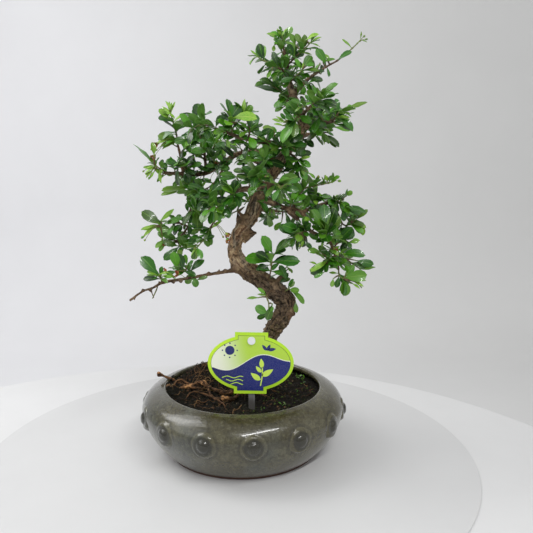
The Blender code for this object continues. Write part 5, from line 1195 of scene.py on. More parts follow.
def plan_spray(spray: Spray, taken: list[np.ndarray], wood: np.ndarray) -> tuple[Route, list, list[Leaf]]:
    """The leaves of a spray, station by station, clear of the points already taken.

    Args:
        spray: The leafy twig.
        taken: Points of the leaves so far; the new leaves' points are added.
        wood: Rows (x, y, z, radius) of the wood.

    Returns:
        Its route, the frames of its stations and its leaves.
    """
    rng = random.Random(spray.name)
    route = Route([seen(*place) for place in spray.route])
    marks = [station.along * route.length for station in spray.stations]
    frames = twig_frames(route, marks)
    face_turn = 2 * math.pi / TWIG_SIDES
    every = []
    for station, (spot, along, side, across) in zip(spray.stations, frames):
        phase = rng.uniform(-0.5, 0.5) * face_turn
        if station.tips:
            x, z, _ = station.tips[0]
            first = turn_of(seen(x, z, spot[1]) - spot, side, across) - 0.5 * face_turn
            phase = (first + 0.5 * face_turn) % face_turn - 0.5 * face_turn
        free = list(range(TWIG_SIDES))
        leaves = []
        for x, z, kind in station.tips:
            reach = np.linalg.norm(seen(x, z, spot[1]) - spot)
            tries = []
            for _ in range(READ_TRIES):
                tip = seen(x, z, spot[1] + rng.uniform(-READ_LEAN, READ_LEAN) * reach)
                aim = turn_of(tip - spot, side, across)
                face = max(free, key=lambda f: math.cos(phase + (f + 0.5) * face_turn - aim))
                base = spot + 0.8 * NODE_RADIUS * outward(phase + (face + 0.5) * face_turn, side, across)
                up = np.array((rng.uniform(-0.5, 0.5), -0.75, rng.uniform(0.2, 0.9))) + 0.3 * along
                leaf = Leaf(base, tip, up, kind, rng.uniform(0.02, 0.10), face)
                spots = leaf_samples(leaf)
                room = min(nearest(spots, taken), nearest_wood(spots, wood) + 1.0)
                tries.append((min(room, ENOUGH_ROOM), -len(tries), leaf, spots))
            _, _, leaf, spots = max(tries, key=lambda item: item[:2])
            free.remove(leaf.face)
            leaves.append(leaf)
            taken.append(spots)
        rng.shuffle(free)
        for face in free[:]:
            if len(leaves) >= len(station.tips) + station.more:
                break
            turn = phase + (face + 0.5) * face_turn
            base = spot + 0.8 * NODE_RADIUS * outward(turn, side, across)
            for _ in range(MORE_TRIES):
                aim = outward(turn + rng.uniform(-0.5, 0.5), side, across)
                tilt = math.radians(rng.uniform(*MORE_TILT))
                ahead = math.cos(tilt) * along + math.sin(tilt) * aim
                ahead = unit(ahead + np.array((0, 0, rng.uniform(-0.25, 0.35))))
                length = rng.uniform(*station.size)
                kind = rng.choice((MATURE, MATURE, LONG, WIDE)) if length > YOUNG_BELOW else YOUNG
                up = 0.5 * along + np.array((rng.uniform(-0.4, 0.4), rng.uniform(-0.7, 0.3), 0.8))
                leaf = Leaf(base, base + ahead * length, up, kind, rng.uniform(0.02, 0.12), face)
                spots = leaf_samples(leaf)
                if nearest(spots, taken) > LEAF_SPACING and nearest_wood(spots, wood) > WOOD_SPACING:
                    leaves.append(leaf)
                    taken.append(spots)
                    break
        every += leaves
    return route, frames, every


@dataclass(frozen=True)
class Glaze:
    """Celadon glaze gone grey and olive, finely cracked, over brown clay."""

    body: Paint = ink(74, 70, 46)
    ash: Paint = ink(100, 96, 72)
    haze: Paint = ink(120, 119, 96)
    blue: Paint = ink(74, 80, 76)
    olive: Paint = ink(60, 53, 26)
    line: Paint = ink(34, 33, 22)
    speck: Paint = ink(28, 24, 15)
    clay: Paint = ink(64, 38, 30)
    clay_pale: Paint = ink(84, 54, 42)
    # Heights in metres: where the bare clay ends, and between which the glaze gathers
    clay_top: float = 0.0034
    shoulder: tuple = (0.050, 0.063)

    @staticmethod
    def from_stud(across: Value, depth: Value, height: Value, reach: Value) -> Value:
        """Distance over the pot's skin from the nearest stud's middle.

        Args:
            across: The place along X.
            depth: The place along Y.
            height: The place along Z.
            reach: The distance from the pot's axis.

        Returns:
            The distance in metres.
        """
        turn = depth.worked("ARCTAN2", depth, across) - math.radians(FIRST_STUD)
        share = (turn * (STUD_COUNT / (2 * math.pi)) + 0.5).remainder() - 0.5
        aside = share * (2 * math.pi / STUD_COUNT) * reach
        above = height - STUD_HEIGHT * MM
        return (aside * aside + above * above).power(0.5)

    def made(self) -> bpy.types.Material:
        """The material, by height over the foot, by clouds of glaze and round the studs."""
        s = Shade("celadon_glaze")
        across, depth, height = s.parts()
        reach = (across * across + depth * depth).power(0.5)
        off = self.from_stud(across, depth, height, reach)
        clouds = s.noise(26, 4, 0.6, 0.4)
        fine = s.noise(230, 4, 0.65)
        mottle = s.noise(75, 4, 0.7, 0.3)
        freckle = s.noise(340, 3, 0.7, 0.2)
        colour = s.mix(clouds.rise(0.36, 0.66), self.body, self.ash)
        colour = s.mix(mottle.rise(0.42, 0.66) * 0.6, colour, self.olive)
        # Blue-grey clouds that grow towards the left and the front: painted reflection.
        painted_left_reflection = s.noise(15, 3, 0.5, 0.3, s.stretched((1, 1, 1.6))) - across * 1.9 - depth * 0.4
        colour = s.mix(painted_left_reflection.rise(0.50, 0.72) * 0.7, colour, self.blue)
        colour = s.mix(s.noise(115, 4, 0.75, 0.5).rise(0.54, 0.70) * 0.40, colour, self.haze)
        # Olive where the glaze gathers under the rim; it is drawn stronger on the front and left, and that
        # one-sided part is painted shade.
        facing = (across * -0.5 - depth).rise(-0.02, 0.10)
        gathered_and_front_shade = height.rise(*self.shoulder) * s.noise(38, 3, 0.6).rise(0.15, 0.5)
        gathered_and_front_shade = gathered_and_front_shade * (facing * 0.75 + 0.25)
        colour = s.mix(gathered_and_front_shade * 0.78, colour, self.olive)
        colour = s.mix(fine.rise(0.45, 0.72) * 0.45, colour, self.line)
        colour = s.mix(freckle.rise(0.52, 0.66) * 0.26, colour, self.haze)
        colour = s.mix(freckle.rise(0.46, 0.34) * 0.40, colour, self.line)
        crazing = s.cells(330, "DISTANCE_TO_EDGE", s.warped(0.0016, 260)).rise(0.075, 0.0)
        wide = s.cells(120, "DISTANCE_TO_EDGE", s.warped(0.004, 90)).rise(0.035, 0.0)
        crazing = crazing * 0.36 + wide * 0.28
        colour = s.mix(crazing, colour, self.line)
        # A darker band round the pot at the studs' height: painted dark reflection.
        band = abs(height - STUD_HEIGHT * MM - 0.001).rise(0.0062, 0.0012)
        band = band * s.noise(48, 3, 0.6, 0.4).rise(0.36, 0.58)
        colour = s.mix(band * 0.36, colour, self.line)
        pool = off.rise(0.0120, 0.0128) * off.rise(0.0160, 0.0134)
        colour = s.mix(pool * 0.42, colour, self.line)
        # A lighter ring round each stud: painted highlight.
        ring = off.rise(0.0098, 0.0108) * off.rise(0.0124, 0.0117)
        colour = s.mix(ring * fine * 0.55, colour, self.ash)
        # The studs' domes darker: painted dark reflection.
        dome = off.rise(0.0100, 0.0078) * (mottle * 0.9 + 0.34)
        colour = s.mix(dome, colour, self.line)
        specks = s.cells(430).rise(0.20, 0.10) * s.noise(95, 2).rise(0.50, 0.60)
        colour = s.mix(specks * 0.75, colour, self.speck)
        bare = (height + s.noise(60, 3) * 0.0024).rise(self.clay_top + 0.0016, self.clay_top + 0.0006)
        clay = s.mix(s.noise(320, 3), self.clay, self.clay_pale)
        colour = s.mix(bare, colour, clay)
        waves = s.bump(s.noise(34, 2, 0.4) + mottle * 0.25, 0.0013, 0.6)
        skin = s.bump(fine + crazing * -0.6, 0.00020, 0.6, waves)
        return s.dress(Base_Color=colour, Roughness=bare * 0.62 + fine * 0.10 + 0.14, Normal=skin,
                       Coat_Weight=(1.0 - bare) * 0.5, Coat_Roughness=0.04)


@dataclass
class Pot:
    """The turned bowl with its ring of applied studs and two drain holes."""

    sides: int = 144
    # Rows (radius, height) of the outside, the lip and the inside
    outside: tuple = ((76, 0), (77.6, 2.4), (84.8, 9.6), (92.4, 20), (98.2, 31), (101.4, 43),
                      (100.4, 49.6), (95.0, 57.3), (86.2, 62.5), (79.8, 64.6))
    lip: tuple = ((78.9, 64.75), (78.0, 64.45), (77.3, 63.8), (77.0, 62.9), (77.0, 60.9))
    inside: tuple = ((77.4, 60.2), (86.4, 53.6), (92.8, 43), (76, 13), (71, 7.5))
    # A stud: how far out it stands, how much it is tipped, and its own rows (radius, height)
    stud_reach: float = 99.7
    stud_tilt: float = 4.0
    stud: tuple = ((12.2, -4.4), (12.5, -2.2), (11.7, -0.8), (11.0, 0.2), (10.5, 1.1), (9.6, 1.7),
                   (8.4, 2.0), (7.1, 2.15), (6.2, 2.4), (5.5, 3.05), (4.6, 3.85), (3.4, 4.5), (1.7, 4.85))
    stud_sides: int = 40
    drain: tuple = ((7.0, -3), (7.0, 12))
    drain_sides: int = 32
    drains_at: tuple = ((-34.0, 6.0), (34.0, 6.0))
    edge_angle: float = 38.0

    def profile(self) -> list[Point]:
        """Rows from the foot's middle up the outside, over the lip and down to the floor."""
        outside = [tuple(row) for row in smooth_route(self.outside, 5)]
        inside = [tuple(row) for row in smooth_route(self.inside, 3)]
        return outside + list(self.lip) + inside

    def one_stud(self, turn: float) -> bpy.types.Object:
        """A flat dome with a nub, its foot flared into the glaze, facing away from the axis.

        Args:
            turn: Where it stands on the ring, in radians.

        Returns:
            The object at the origin.
        """
        item = turned("stud", self.stud, self.stud_sides)
        reach = self.stud_reach * MM
        item.rotation_euler = (0.0, math.radians(90.0 - self.stud_tilt), turn)
        item.location = (reach * math.cos(turn), reach * math.sin(turn), STUD_HEIGHT * MM)
        grounded(item)
        return item

    def build(self) -> None:
        """Turn the bowl, add the studs, cut the drain holes, and dress the bowl and its screens."""
        bowl = turned("glazed_pot", self.profile(), self.sides)
        turns = [math.radians(FIRST_STUD + 360.0 * k / STUD_COUNT) for k in range(STUD_COUNT)]
        combined(bowl, [self.one_stud(turn) for turn in turns], "UNION")
        combined(bowl, [turned("drain", self.drain, self.drain_sides, place) for place in self.drains_at],
                 "DIFFERENCE")
        softened(bowl, self.edge_angle)
        put(bowl, Glaze().made(), ("pot",))
        plastic = MeshPlastic().made()
        for side in ("left", "right"):
            dressed(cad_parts[f"drain_screen_{side}"], plastic)


@dataclass(frozen=True)
class MeshPlastic:
    """Black plastic of the drain screens."""

    def made(self) -> bpy.types.Material:
        """The material, with moulding marks and a little soil dust."""
        s = Shade("screen_plastic")
        dust = s.noise(240, 4, 0.6).rise(0.48, 0.7)
        colour = s.mix(dust * 0.5, ink(28, 29, 30), ink(66, 54, 40))
        return s.dress(Base_Color=colour, Roughness=dust * 0.3 + 0.45,
                       Normal=s.bump(s.noise(900, 2), 0.0001, 0.4))


def limb_path(rows: Sequence[Point]) -> tuple[np.ndarray, list[float]]:
    """Points and radii of a limb given as (x, z, y, radius)."""
    return np.array([seen(x, z, y) for x, z, y, _ in rows]), [row[3] for row in rows]


def root_path(rows: Sequence[Point]) -> tuple[np.ndarray, list[float]]:
    """Points and radii of a surface root given as (x, y, radius, height above the soil)."""
    return (np.array([(x, y, soil_height(x, y) + up) for x, y, _, up in rows]),
            [row[2] for row in rows])


def soil_height(x: float, y: float) -> float:
    """Height of the soil: raised round the trunk and in a mound at the left and behind."""
    near_trunk = math.hypot(x - TRUNK_FOOT[0], y - TRUNK_FOOT[1])
    mound = ((x + 34) / 24) ** 2 + ((y - 34) / 19) ** 2
    grit = 0.5 * math.sin(0.31 * x + 1.3) * math.sin(0.27 * y) + 0.35 * math.sin(0.73 * x - 0.51 * y)
    height = SOIL_LEVEL + 3.2 * math.exp(-near_trunk ** 2 / 900) + 12.5 * math.exp(-mound / 2) + grit
    return min(height, SOIL_EDGE_TOP + 0.9 * max(SOIL_RADIUS - math.hypot(x, y), 0.0))


@dataclass(frozen=True)
class Earth:
    """Dark peaty soil in crumbs and clumps, with damp patches."""

    deep: Paint = ink(9, 8, 5)
    brown: Paint = ink(24, 19, 12)
    warm: Paint = ink(52, 37, 23)

    def made(self) -> bpy.types.Material:
        """The material of the ground itself."""
        s = Shade("peaty_soil")
        crumbs = s.noise(420, 5, 0.7)
        clumps = s.cells(310, "F1", s.warped(0.003, 200))
        colour = s.ramp(crumbs, (0.32, self.deep), (0.55, self.brown), (0.78, self.warm))
        colour = s.mix(clumps.rise(0.35, 0.75) * 0.6, colour, self.deep)
        damp = s.noise(30, 3).rise(0.45, 0.62)
        colour = s.mix(damp * 0.35, colour, ink(30, 33, 16))
        crumb = s.bump(crumbs - clumps * 0.8, 0.0022, 0.9)
        return s.dress(Base_Color=colour, Roughness=crumbs * 0.2 + 0.78, Normal=crumb, Specular_IOR_Level=0.2)


@dataclass(frozen=True)
class Tinted:
    """Small matter whose colour every point holds, with grain of its own."""

    name: str
    grain: float = 900.0
    rough: float = 0.75
    dark: float = 0.55

    def made(self) -> bpy.types.Material:
        """The stored colour, darkened in its grain."""
        s = Shade(self.name)
        grain = s.noise(self.grain, 4, 0.6)
        colour = s.mix(grain.rise(0.62, 0.35) * self.dark, s.stored("tint", "Color"), ink(20, 15, 10))
        return s.dress(Base_Color=colour, Roughness=grain * 0.25 + (self.rough - 0.1),
                       Normal=s.bump(grain, 0.0004, 0.6), Specular_IOR_Level=0.25)


def scattered(name: str, master: bpy.types.Object, places: np.ndarray, tints: np.ndarray) -> bpy.types.Object:
    """Many changed copies of a small closed mesh as one mesh.

    Args:
        name: The new object's name.
        master: The mesh that repeats; it is removed.
        places: For each copy the places of all its points, in millimetres.
        tints: For each copy its colour.

    Returns:
        The object at the origin, with the colours stored as "tint".
    """
    count, size = places.shape[:2]
    faces = [tuple(v + size * k for v in face) for k in range(count) for face in faces_of(master)]
    item = from_faces(name, places.reshape(-1, 3), faces)
    tinted(item, np.repeat(tints, size, axis=0))
    bpy.data.objects.remove(master)
    return item


@dataclass
class Soil:
    """The ground in the pot, its mound finer than the solid's, with crumbs, chips and fine roots."""

    # How fine the ground is drawn, and how many crumbs and fine roots lie on it
    rings: int = 74
    spokes: int = 168
    crumbs: int = 2100
    spilled: int = 90
    fibres: int = 260
    side: tuple = ((70.4, 9.5), (75.4, 13), (92.2, 43), (85.8, 53.6), (76.9, 57.2))
    pole: float = 0.6
    # The bank behind and the heap at the left rim, which the solid's ground lacks
    bank_middle: tuple = (-36, 45)
    bank_spread: tuple = (19, 14)
    bank_height: float = 7.0
    heap_height: float = 6.6
    heap_degrees: float = 17.0
    # How far round the trunk no crumb and no fine root starts
    bare_foot: float = 12.0
    rootless: float = 14.0
    # Crumbs spilled over the rim: how far out, and the middle and spread of their turn in degrees
    spill_reach: tuple = (71.0, 77.6)
    spill_degrees: tuple = (176.0, 13.0)
    rim_inside: float = 75.2
    rim_height: float = 64.8
    # Patches of fine roots: below which chance, then middle and spread along X and along Y
    fibre_patches: tuple = ((0.42, -38, 20, 4, 24), (0.78, -36, 18, 42, 14))
    fibre_reach: float = 70.0
    dark: tuple = (ink(17, 13, 8), ink(26, 20, 12), ink(12, 9, 6), ink(38, 28, 18), ink(30, 33, 14))
    light: tuple = (ink(84, 60, 38), ink(108, 82, 54), ink(66, 47, 30), ink(128, 112, 84))
    moss: tuple = (ink(58, 74, 26), ink(44, 58, 20), ink(74, 90, 34))
    fibre_colours: tuple = (ink(112, 80, 50), ink(84, 60, 38), ink(150, 116, 78), ink(60, 44, 28),
                            ink(74, 50, 32))
    seed: int = 11

    def top(self, x: float, y: float) -> float:
        """Height of the fine ground.

        Args:
            x: The place along X.
            y: The place along Y.

        Returns:
            The plain height with a bank behind, a heap at the left rim, lumps and crumbs.
        """
        reach = math.hypot(x, y)
        edge = clamped((SOIL_RADIUS + 1.0 - reach) / 6.0)
        lumps = noise.noise(Vector((x * 0.13, y * 0.13, 3.1))) * 1.5
        fine = noise.turbulence(Vector((x * 0.36, y * 0.36, 7.7)), 4, False) - 0.75
        aside = (x - self.bank_middle[0]) / self.bank_spread[0]
        behind = (y - self.bank_middle[1]) / self.bank_spread[1]
        bank = self.bank_height * math.exp(-(aside ** 2 + behind ** 2) / 2)
        limit = SOIL_EDGE_TOP + 1.6 * max(SOIL_RADIUS - reach, 0.0)
        beside = math.degrees(math.atan2(y, -x)) / self.heap_degrees
        heap = self.heap_height * math.exp(-beside ** 2) * clamped((reach - 60.0) / 12.0)
        return min(soil_height(x, y) + bank, limit) + heap + edge * (lumps + 1.5 * fine) - 0.5

    def ground(self) -> None:
        """A closed body: turned sides, then rings of top faces moved to the ground's height."""
        outer, level = self.side[-1]
        rings = [(outer - (outer - self.pole) * (k / self.rings), level) for k in range(1, self.rings + 1)]
        item = turned("soil_ground", [*self.side, *rings], self.spokes)
        points = points_of(item)
        for index in np.nonzero(points[:, 2] > level - 0.01)[0]:
            points[index, 2] = self.top(*points[index, :2])
        set_points(item, points)
        softened(item, 60)
        put(item, Earth().made(), ("soil",))

    @staticmethod
    def lump() -> bpy.types.Object:
        """An uneven crumb cut from a ball of few faces."""
        nothing_picked()
        bpy.ops.mesh.primitive_ico_sphere_add(subdivisions=1, radius=1.0)
        item = bpy.context.object
        with editing(item):
            bpy.ops.mesh.bisect(plane_co=(0.35, 0.1, 0.4), plane_no=(0.6, 0.2, 0.75), use_fill=True,
                                clear_outer=True)
            bpy.ops.mesh.quads_convert_to_tris()
            bpy.ops.mesh.normals_make_consistent(inside=False)
        return item

    def crumb_field(self) -> None:
        """Crumbs of peat, bark chips and a few pale grains strewn over the ground."""
        rng = random.Random(self.seed)
        master = self.lump()
        shape = np.array([v.co for v in master.data.vertices])
        places, tints = [], []
        while len(places) < self.crumbs:
            reach = (SOIL_RADIUS - 1.2) * math.sqrt(rng.random())
            turn = rng.uniform(0, 2 * math.pi)
            if len(places) < self.spilled:
                reach, turn = rng.uniform(*self.spill_reach), math.radians(rng.gauss(*self.spill_degrees))
            x, y = reach * math.cos(turn), reach * math.sin(turn)
            if math.hypot(x - TRUNK_FOOT[0], y - TRUNK_FOOT[1]) < self.bare_foot:
                continue
            size = min(0.45 + rng.expovariate(2.2), 2.0)
            axes = np.array([rng.uniform(0.7, 1.5), rng.uniform(0.6, 1.1), rng.uniform(0.45, 0.9)]) * size
            jitter = np.array([[rng.uniform(0.8, 1.2) for _ in range(3)] for _ in shape])
            spun = turned_about(shape * axes * jitter, rng)
            ground = self.top(x, y) if reach < self.rim_inside else self.rim_height
            places.append(spun + (x, y, ground + 0.22 * size))
            mossy = noise.noise(Vector((x * 0.05, y * 0.05, 2.0))) + 0.012 * x > 0.22
            pale = rng.random() < 0.10
            kinds = self.light if pale else self.moss if mossy and rng.random() < 0.4 else self.dark
            tints.append(rng.choice(kinds))
        item = scattered("soil_crumbs", master, np.array(places), np.array(tints))
        softened(item, 25)
        put(item, Tinted("peat_crumbs").made())

    def fibre_foot(self, rng: random.Random) -> tuple[float, float]:
        """Where a fine root starts, most often at the left and behind.

        Args:
            rng: Draws the place.

        Returns:
            The place (x, y).
        """
        while True:
            chance = rng.random()
            for below, x, wide, y, deep in self.fibre_patches:
                if chance < below:
                    x, y = rng.gauss(x, wide), rng.gauss(y, deep)
                    break
            else:
                reach, turn = self.fibre_reach * math.sqrt(rng.random()), rng.uniform(0, 2 * math.pi)
                x, y = reach * math.cos(turn), reach * math.sin(turn)
            if math.hypot(x, y) < SOIL_RADIUS - 6 and math.dist((x, y), TRUNK_FOOT) > self.rootless:
                return x, y

    def fibre_path(self, rng: random.Random) -> tuple[np.ndarray, np.ndarray]:
        """One fine root that lies over the ground.

        Args:
            rng: Draws every choice.

        Returns:
            Its points and radii.
        """
        x, y = self.fibre_foot(rng)
        heading = rng.uniform(0, 2 * math.pi)
        bend = rng.uniform(-0.22, 0.22)
        step = rng.uniform(1.1, 2.2)
        count = rng.randint(7, 13)
        hump = rng.uniform(0.2, 2.6)
        rows = []
        for k in range(count):
            share = k / (count - 1)
            if math.hypot(x, y) < SOIL_RADIUS - 2.5:
                up = hump * math.sin(math.pi * share)
                rows.append((x, y, self.top(x, y) + up + 0.25 - 0.5 * abs(share - 0.5)))
            heading += bend + rng.uniform(-0.24, 0.24)
            x += step * math.cos(heading)
            y += step * math.sin(heading)
        if len(rows) < 3:
            return self.fibre_path(rng)
        path = smooth_route(rows, 2)
        thick = 0.13 + 0.30 * rng.random() ** 2
        return path, thick * np.linspace(1.0, 0.55, len(path))

    def fine_roots(self) -> None:
        """The mat of fine roots, tan and brown."""
        rng = random.Random(self.seed + 1)
        each = self.fibres // len(self.fibre_colours)
        items = []
        for colour in self.fibre_colours:
            item = rod("fine_roots", [self.fibre_path(rng) for _ in range(each)], 6)
            tinted(item, colour)
            items.append(item)
        item = joined("soil_fine_roots", items)
        softened(item, 80)
        put(item, Tinted("root_skin", 1400.0, 0.7, 0.4).made())

    def build(self) -> None:
        """Make the ground and what lies on it."""
        self.ground()
        self.crumb_field()
        self.fine_roots()


def turned_about(shape: np.ndarray, rng: random.Random) -> np.ndarray:
    """Points turned by random angles about two axes.

    Args:
        shape: The points.
        rng: Draws the angles.

    Returns:
        The turned points.
    """
    turn, tip = rng.uniform(0, 2 * math.pi), rng.uniform(-0.7, 0.7)
    c, s = math.cos(turn), math.sin(turn)
    ct, st = math.cos(tip), math.sin(tip)
    about_z = np.array(((c, -s, 0), (s, c, 0), (0, 0, 1)))
    about_x = np.array(((1, 0, 0), (0, ct, -st), (0, st, ct)))
    return shape @ about_x.T @ about_z.T


@dataclass(frozen=True)
class Bark:
    """Fissured tan bark that follows each limb, dark and rough lower down; roots are warmer."""

    mid: Paint = ink(160, 130, 98)
    pale: Paint = ink(216, 190, 150)
    grey: Paint = ink(146, 132, 113)
    dark: Paint = ink(40, 31, 24)
    red: Paint = ink(124, 84, 58)
    old: Paint = ink(80, 67, 55)
    thin: Paint = ink(88, 66, 47)
    root: Paint = ink(114, 79, 51)
    root_dark: Paint = ink(40, 28, 19)
    root_pale: Paint = ink(214, 158, 104)
    # Heights in metres between which the bark turns old
    old_from: float = 0.192
    old_to: float = 0.166

    def made(self) -> bpy.types.Material:
        """The material, reading the stored grain coordinates in millimetres."""
        s = Shade("fissured_bark")
        grain = s.stored("grain")
        _, _, height = s.parts()
        cavity, rooty, slim = s.number("cavity"), s.number("rooty"), s.number("slim")
        patches = s.noise(0.12, 4, 0.6, 0.5, grain)
        fibre = s.noise(0.55, 6, 0.72, 0.4, grain)
        mottle = s.noise(260, 3, 0.65, 0.4)
        scales = s.cells(0.30, "F1", s.warped(3.0, 0.4, grain))
        aged = (height + patches * 0.03 - 0.015).rise(self.old_from, self.old_to) * (1.0 - slim)
        aged = aged * (height.rise(0.112, 0.136) * 0.38 + 0.62)
        colour = s.mix(patches.rise(0.40, 0.62), self.mid, self.grey)
        colour = s.mix(s.noise(0.14, 3, 0.6, 0.2, grain).rise(0.50, 0.64) * 0.7, colour, self.red)
        colour = s.mix((fibre - cavity * 0.25).rise(0.40, 0.62) * 0.8, colour, self.pale)
        colour = s.mix(aged * 0.90, colour, s.mix(fibre.rise(0.42, 0.66) * 0.36, self.old, self.mid))
        rooted = s.mix(fibre.rise(0.36, 0.62), self.root_dark, self.root)
        thick = slim.rise(1.0, 0.66) * 0.8 + 0.12
        # Thick roots turn paler in patches and away from the cracks.
        pale_patches = (s.noise(0.12, 3, 0.6, 0.2, grain) + fibre * 0.3 - cavity * 0.2).rise(0.50, 0.68)
        rooted = s.mix(pale_patches * thick, rooted, self.root_pale)
        colour = s.mix(slim * 0.7, colour, self.thin)
        colour = s.mix(rooty, colour, rooted)
        spots = mottle.rise(0.44, 0.30) * (aged * 0.6 + 0.4)
        cracks = cavity.rise(0.42, 0.85).either(fibre.rise(0.44, 0.28) * 0.85)
        cracks = cracks.either(scales.rise(0.66, 0.95) * (aged * 0.5 + 0.4)).either(spots)
        colour = s.mix(cracks * (aged * 0.17 + 0.71), colour, self.dark)
        relief = s.bump(fibre + mottle * 0.7 - cracks * 0.7, 0.0013, 0.9)
        return s.dress(Base_Color=colour, Roughness=fibre * 0.2 + 0.72, Normal=relief, Specular_IOR_Level=0.3)


@dataclass
class Wood:
    """The trunk with its limbs and surface roots, grown together and fissured."""

    voxel: float = 0.78
    # The grain: its stretch, its steps, and how far one limb's lies from the next one's
    grain_stretch: float = 0.30
    grain_step: float = 1.2
    grain_apart: float = 400.0
    grain_hint: tuple = (0.1, 0.95, 0.2)
    slim_branch: float = 0.80
    per_span: int = 7
    # Knots that show at (x, z), with their radius
    knots: tuple = ((-12.3, 201.0, 1.3), (13.5, 231.5, 1.8), (-4.5, 187.0, 7.4), (-7.5, 182.5, 3.6),
                    (27.0, 158.0, 4.6), (17.0, 171.0, 4.0), (36.0, 166.0, 4.4), (8.0, 184.0, 3.4),
                    (43.0, 152.0, 3.6), (33.0, 122.0, 3.4), (50.0, 141.0, 3.0), (20.0, 166.0, 3.2),
                    (44.0, 160.0, 3.4), (5.0, 180.0, 4.2), (-33.0, 179.8, 1.8), (-60.5, 171.5, 1.9),
                    (-68.0, 170.6, 1.8), (-90.5, 162.6, 1.7), (-98.0, 162.6, 1.6), (-17.0, 181.4, 2.1),
                    (-47.0, 174.6, 1.7), (15.5, 239.0, 3.8), (25.0, 262.0, 3.0))
    # Pruned spurs from (x, z) to (x, z), with the radius at their foot
    thorns: tuple = ((-79.0, 170.0, -80.5, 175.5, 1.2), (-90.0, 162.0, -87.5, 154.5, 1.0),
                     (-55.0, 173.5, -54.0, 178.0, 1.2), (-24.0, 179.0, -22.5, 183.5, 1.2),
                     (-105.0, 157.5, -107.0, 152.0, 1.0), (1.0, 212.0, 13.0, 218.0, 4.6),
                     (0.0, 219.0, 12.0, 218.5, 5.4), (0.0, 226.0, 12.0, 219.5, 4.2),
                     (42.0, 136.0, 53.0, 136.5, 4.2), (-3.0, 226.0, -4.5, 240.0, 3.4))
    thorn_end: float = 0.60

    def paths(self) -> dict[str, np.ndarray]:
        """Fine rows (x, y, z, radius) along every limb and root."""
        rows = {}
        for name, limb in LIMBS.items():
            rows[name] = smooth_route(np.column_stack(limb_path(limb)), self.per_span)
        rows["low_left"][8:, 3] *= self.slim_branch
        # The trunk's smaller bends and its changes of width, by the height of their middles
        trunk = rows["trunk"]
        up = trunk[:, 2]
        trunk[:, 0] += 4.0 * hill(up, 232, 10) - 1.8 * hill(up, 104, 13)
        trunk[:, 0] -= 2.2 * hill(up, 187, 6) + 2.2 * hill(up, 200, 8)
        trunk[:, 3] *= 1.0 - 0.17 * hill(up, 104, 16) + 0.08 * hill(up, 186, 8)
        for name, root in ROOTS.items():
            rows[name] = smooth_route(np.column_stack(root_path(root)), self.per_span)
            for row in rows[name]:
                self.swell(row, len(name))
        return rows

    @staticmethod
    def swell(row: np.ndarray, key: int) -> None:
        """Make a root knobbly and crooked at one row, away from the trunk.

        Args:
            row: Its (x, y, z, radius), changed in place.
            key: A number that sets one root apart from the others.
        """
        x, y = row[0], row[1]
        loose = 1.0 - math.exp(-(math.hypot(x - TRUNK_FOOT[0], y - TRUNK_FOOT[1]) / 19.0) ** 2)
        row[3] *= 1.0 + loose * 0.40 * noise.noise(Vector((x * 0.24, y * 0.24, key)))
        row[0] += 1.5 * loose * noise.noise(Vector((x * 0.17, y * 0.17, key + 4.5)))
        row[1] += 1.5 * loose * noise.noise(Vector((x * 0.17, y * 0.17, key + 9.5)))

    @staticmethod
    def knot(x: float, z: float, size: float, wood: np.ndarray, rng: random.Random) -> bpy.types.Object:
        """A rounded knot grown out of the wood.

        Args:
            x: Where it shows, across.
            z: Where it shows, upwards.
            size: Its radius.
            wood: Rows (x, y, z, radius) of the wood.
            rng: Draws its proportions.

        Returns:
            The object at the origin.
        """
        row = wood_at(x, z, wood)
        nothing_picked()
        bpy.ops.mesh.primitive_uv_sphere_add(segments=12, ring_count=8, radius=size * MM)
        item = bpy.context.object
        with editing(item):
            bpy.ops.transform.resize(value=(1.0, rng.uniform(0.8, 1.2), rng.uniform(0.75, 1.1)))
        item.location = [c * MM for c in seen(x, z, row[1]) + (0, -0.35 * row[3], 0)]
        grounded(item)
        return item

    def thorn(self, ends: Point, thick: float, wood: np.ndarray) -> bpy.types.Object:
        """A pruned spur from one place that shows on the wood to another, thinner towards its end."""
        x0, z0, x1, z1 = ends
        depth = wood_at(x0, z0, wood)[1]
        middle = seen((x0 + x1) / 2, (z0 + z1) / 2, depth - 1)
        path = np.array([seen(x0, z0, depth), middle, seen(x1, z1, depth)])
        return rod("thorn", [(path, (thick, 0.55 * thick + 0.2, self.thorn_end))], 10)

    def grown(self) -> bpy.types.Object:
        """Every limb, root and knot melted into one skin."""
        paths = self.paths()
        wood = np.vstack(list(paths.values()))
        items = [rod("wood", [(rows[:, :3], rows[:, 3])], 16) for rows in paths.values()]
        rng = random.Random(5)
        items += [self.knot(x, z, size, wood, rng) for x, z, size in self.knots]
        items += [self.thorn(ends, thick, wood) for *ends, thick in self.thorns]
        item = joined("trunk_and_roots", items)
        applied(item, "REMESH", mode="VOXEL", voxel_size=self.voxel * MM, adaptivity=0.0)
        applied(item, "SMOOTH", factor=0.5, iterations=2)
        return item

    def grain_line(self) -> list[tuple]:
        """Rows (middle, side, across, distance along, radius, root or not) along all the wood."""
        line = []
        for index, (name, rows) in enumerate(self.paths().items()):
            route = Route(rows[:, :3], 1)
            marks = np.linspace(0, route.length, max(int(route.length / self.grain_step), 3))
            for mark_at, place in zip(marks, twig_frames(route, marks, self.grain_hint)):
                middle, _, side, across = place
                radius = np.interp(mark_at, route.marks, rows[:, 3])
                along = mark_at + self.grain_apart * index
                line.append((middle, side, across, along, radius, name.startswith("root")))
        return line

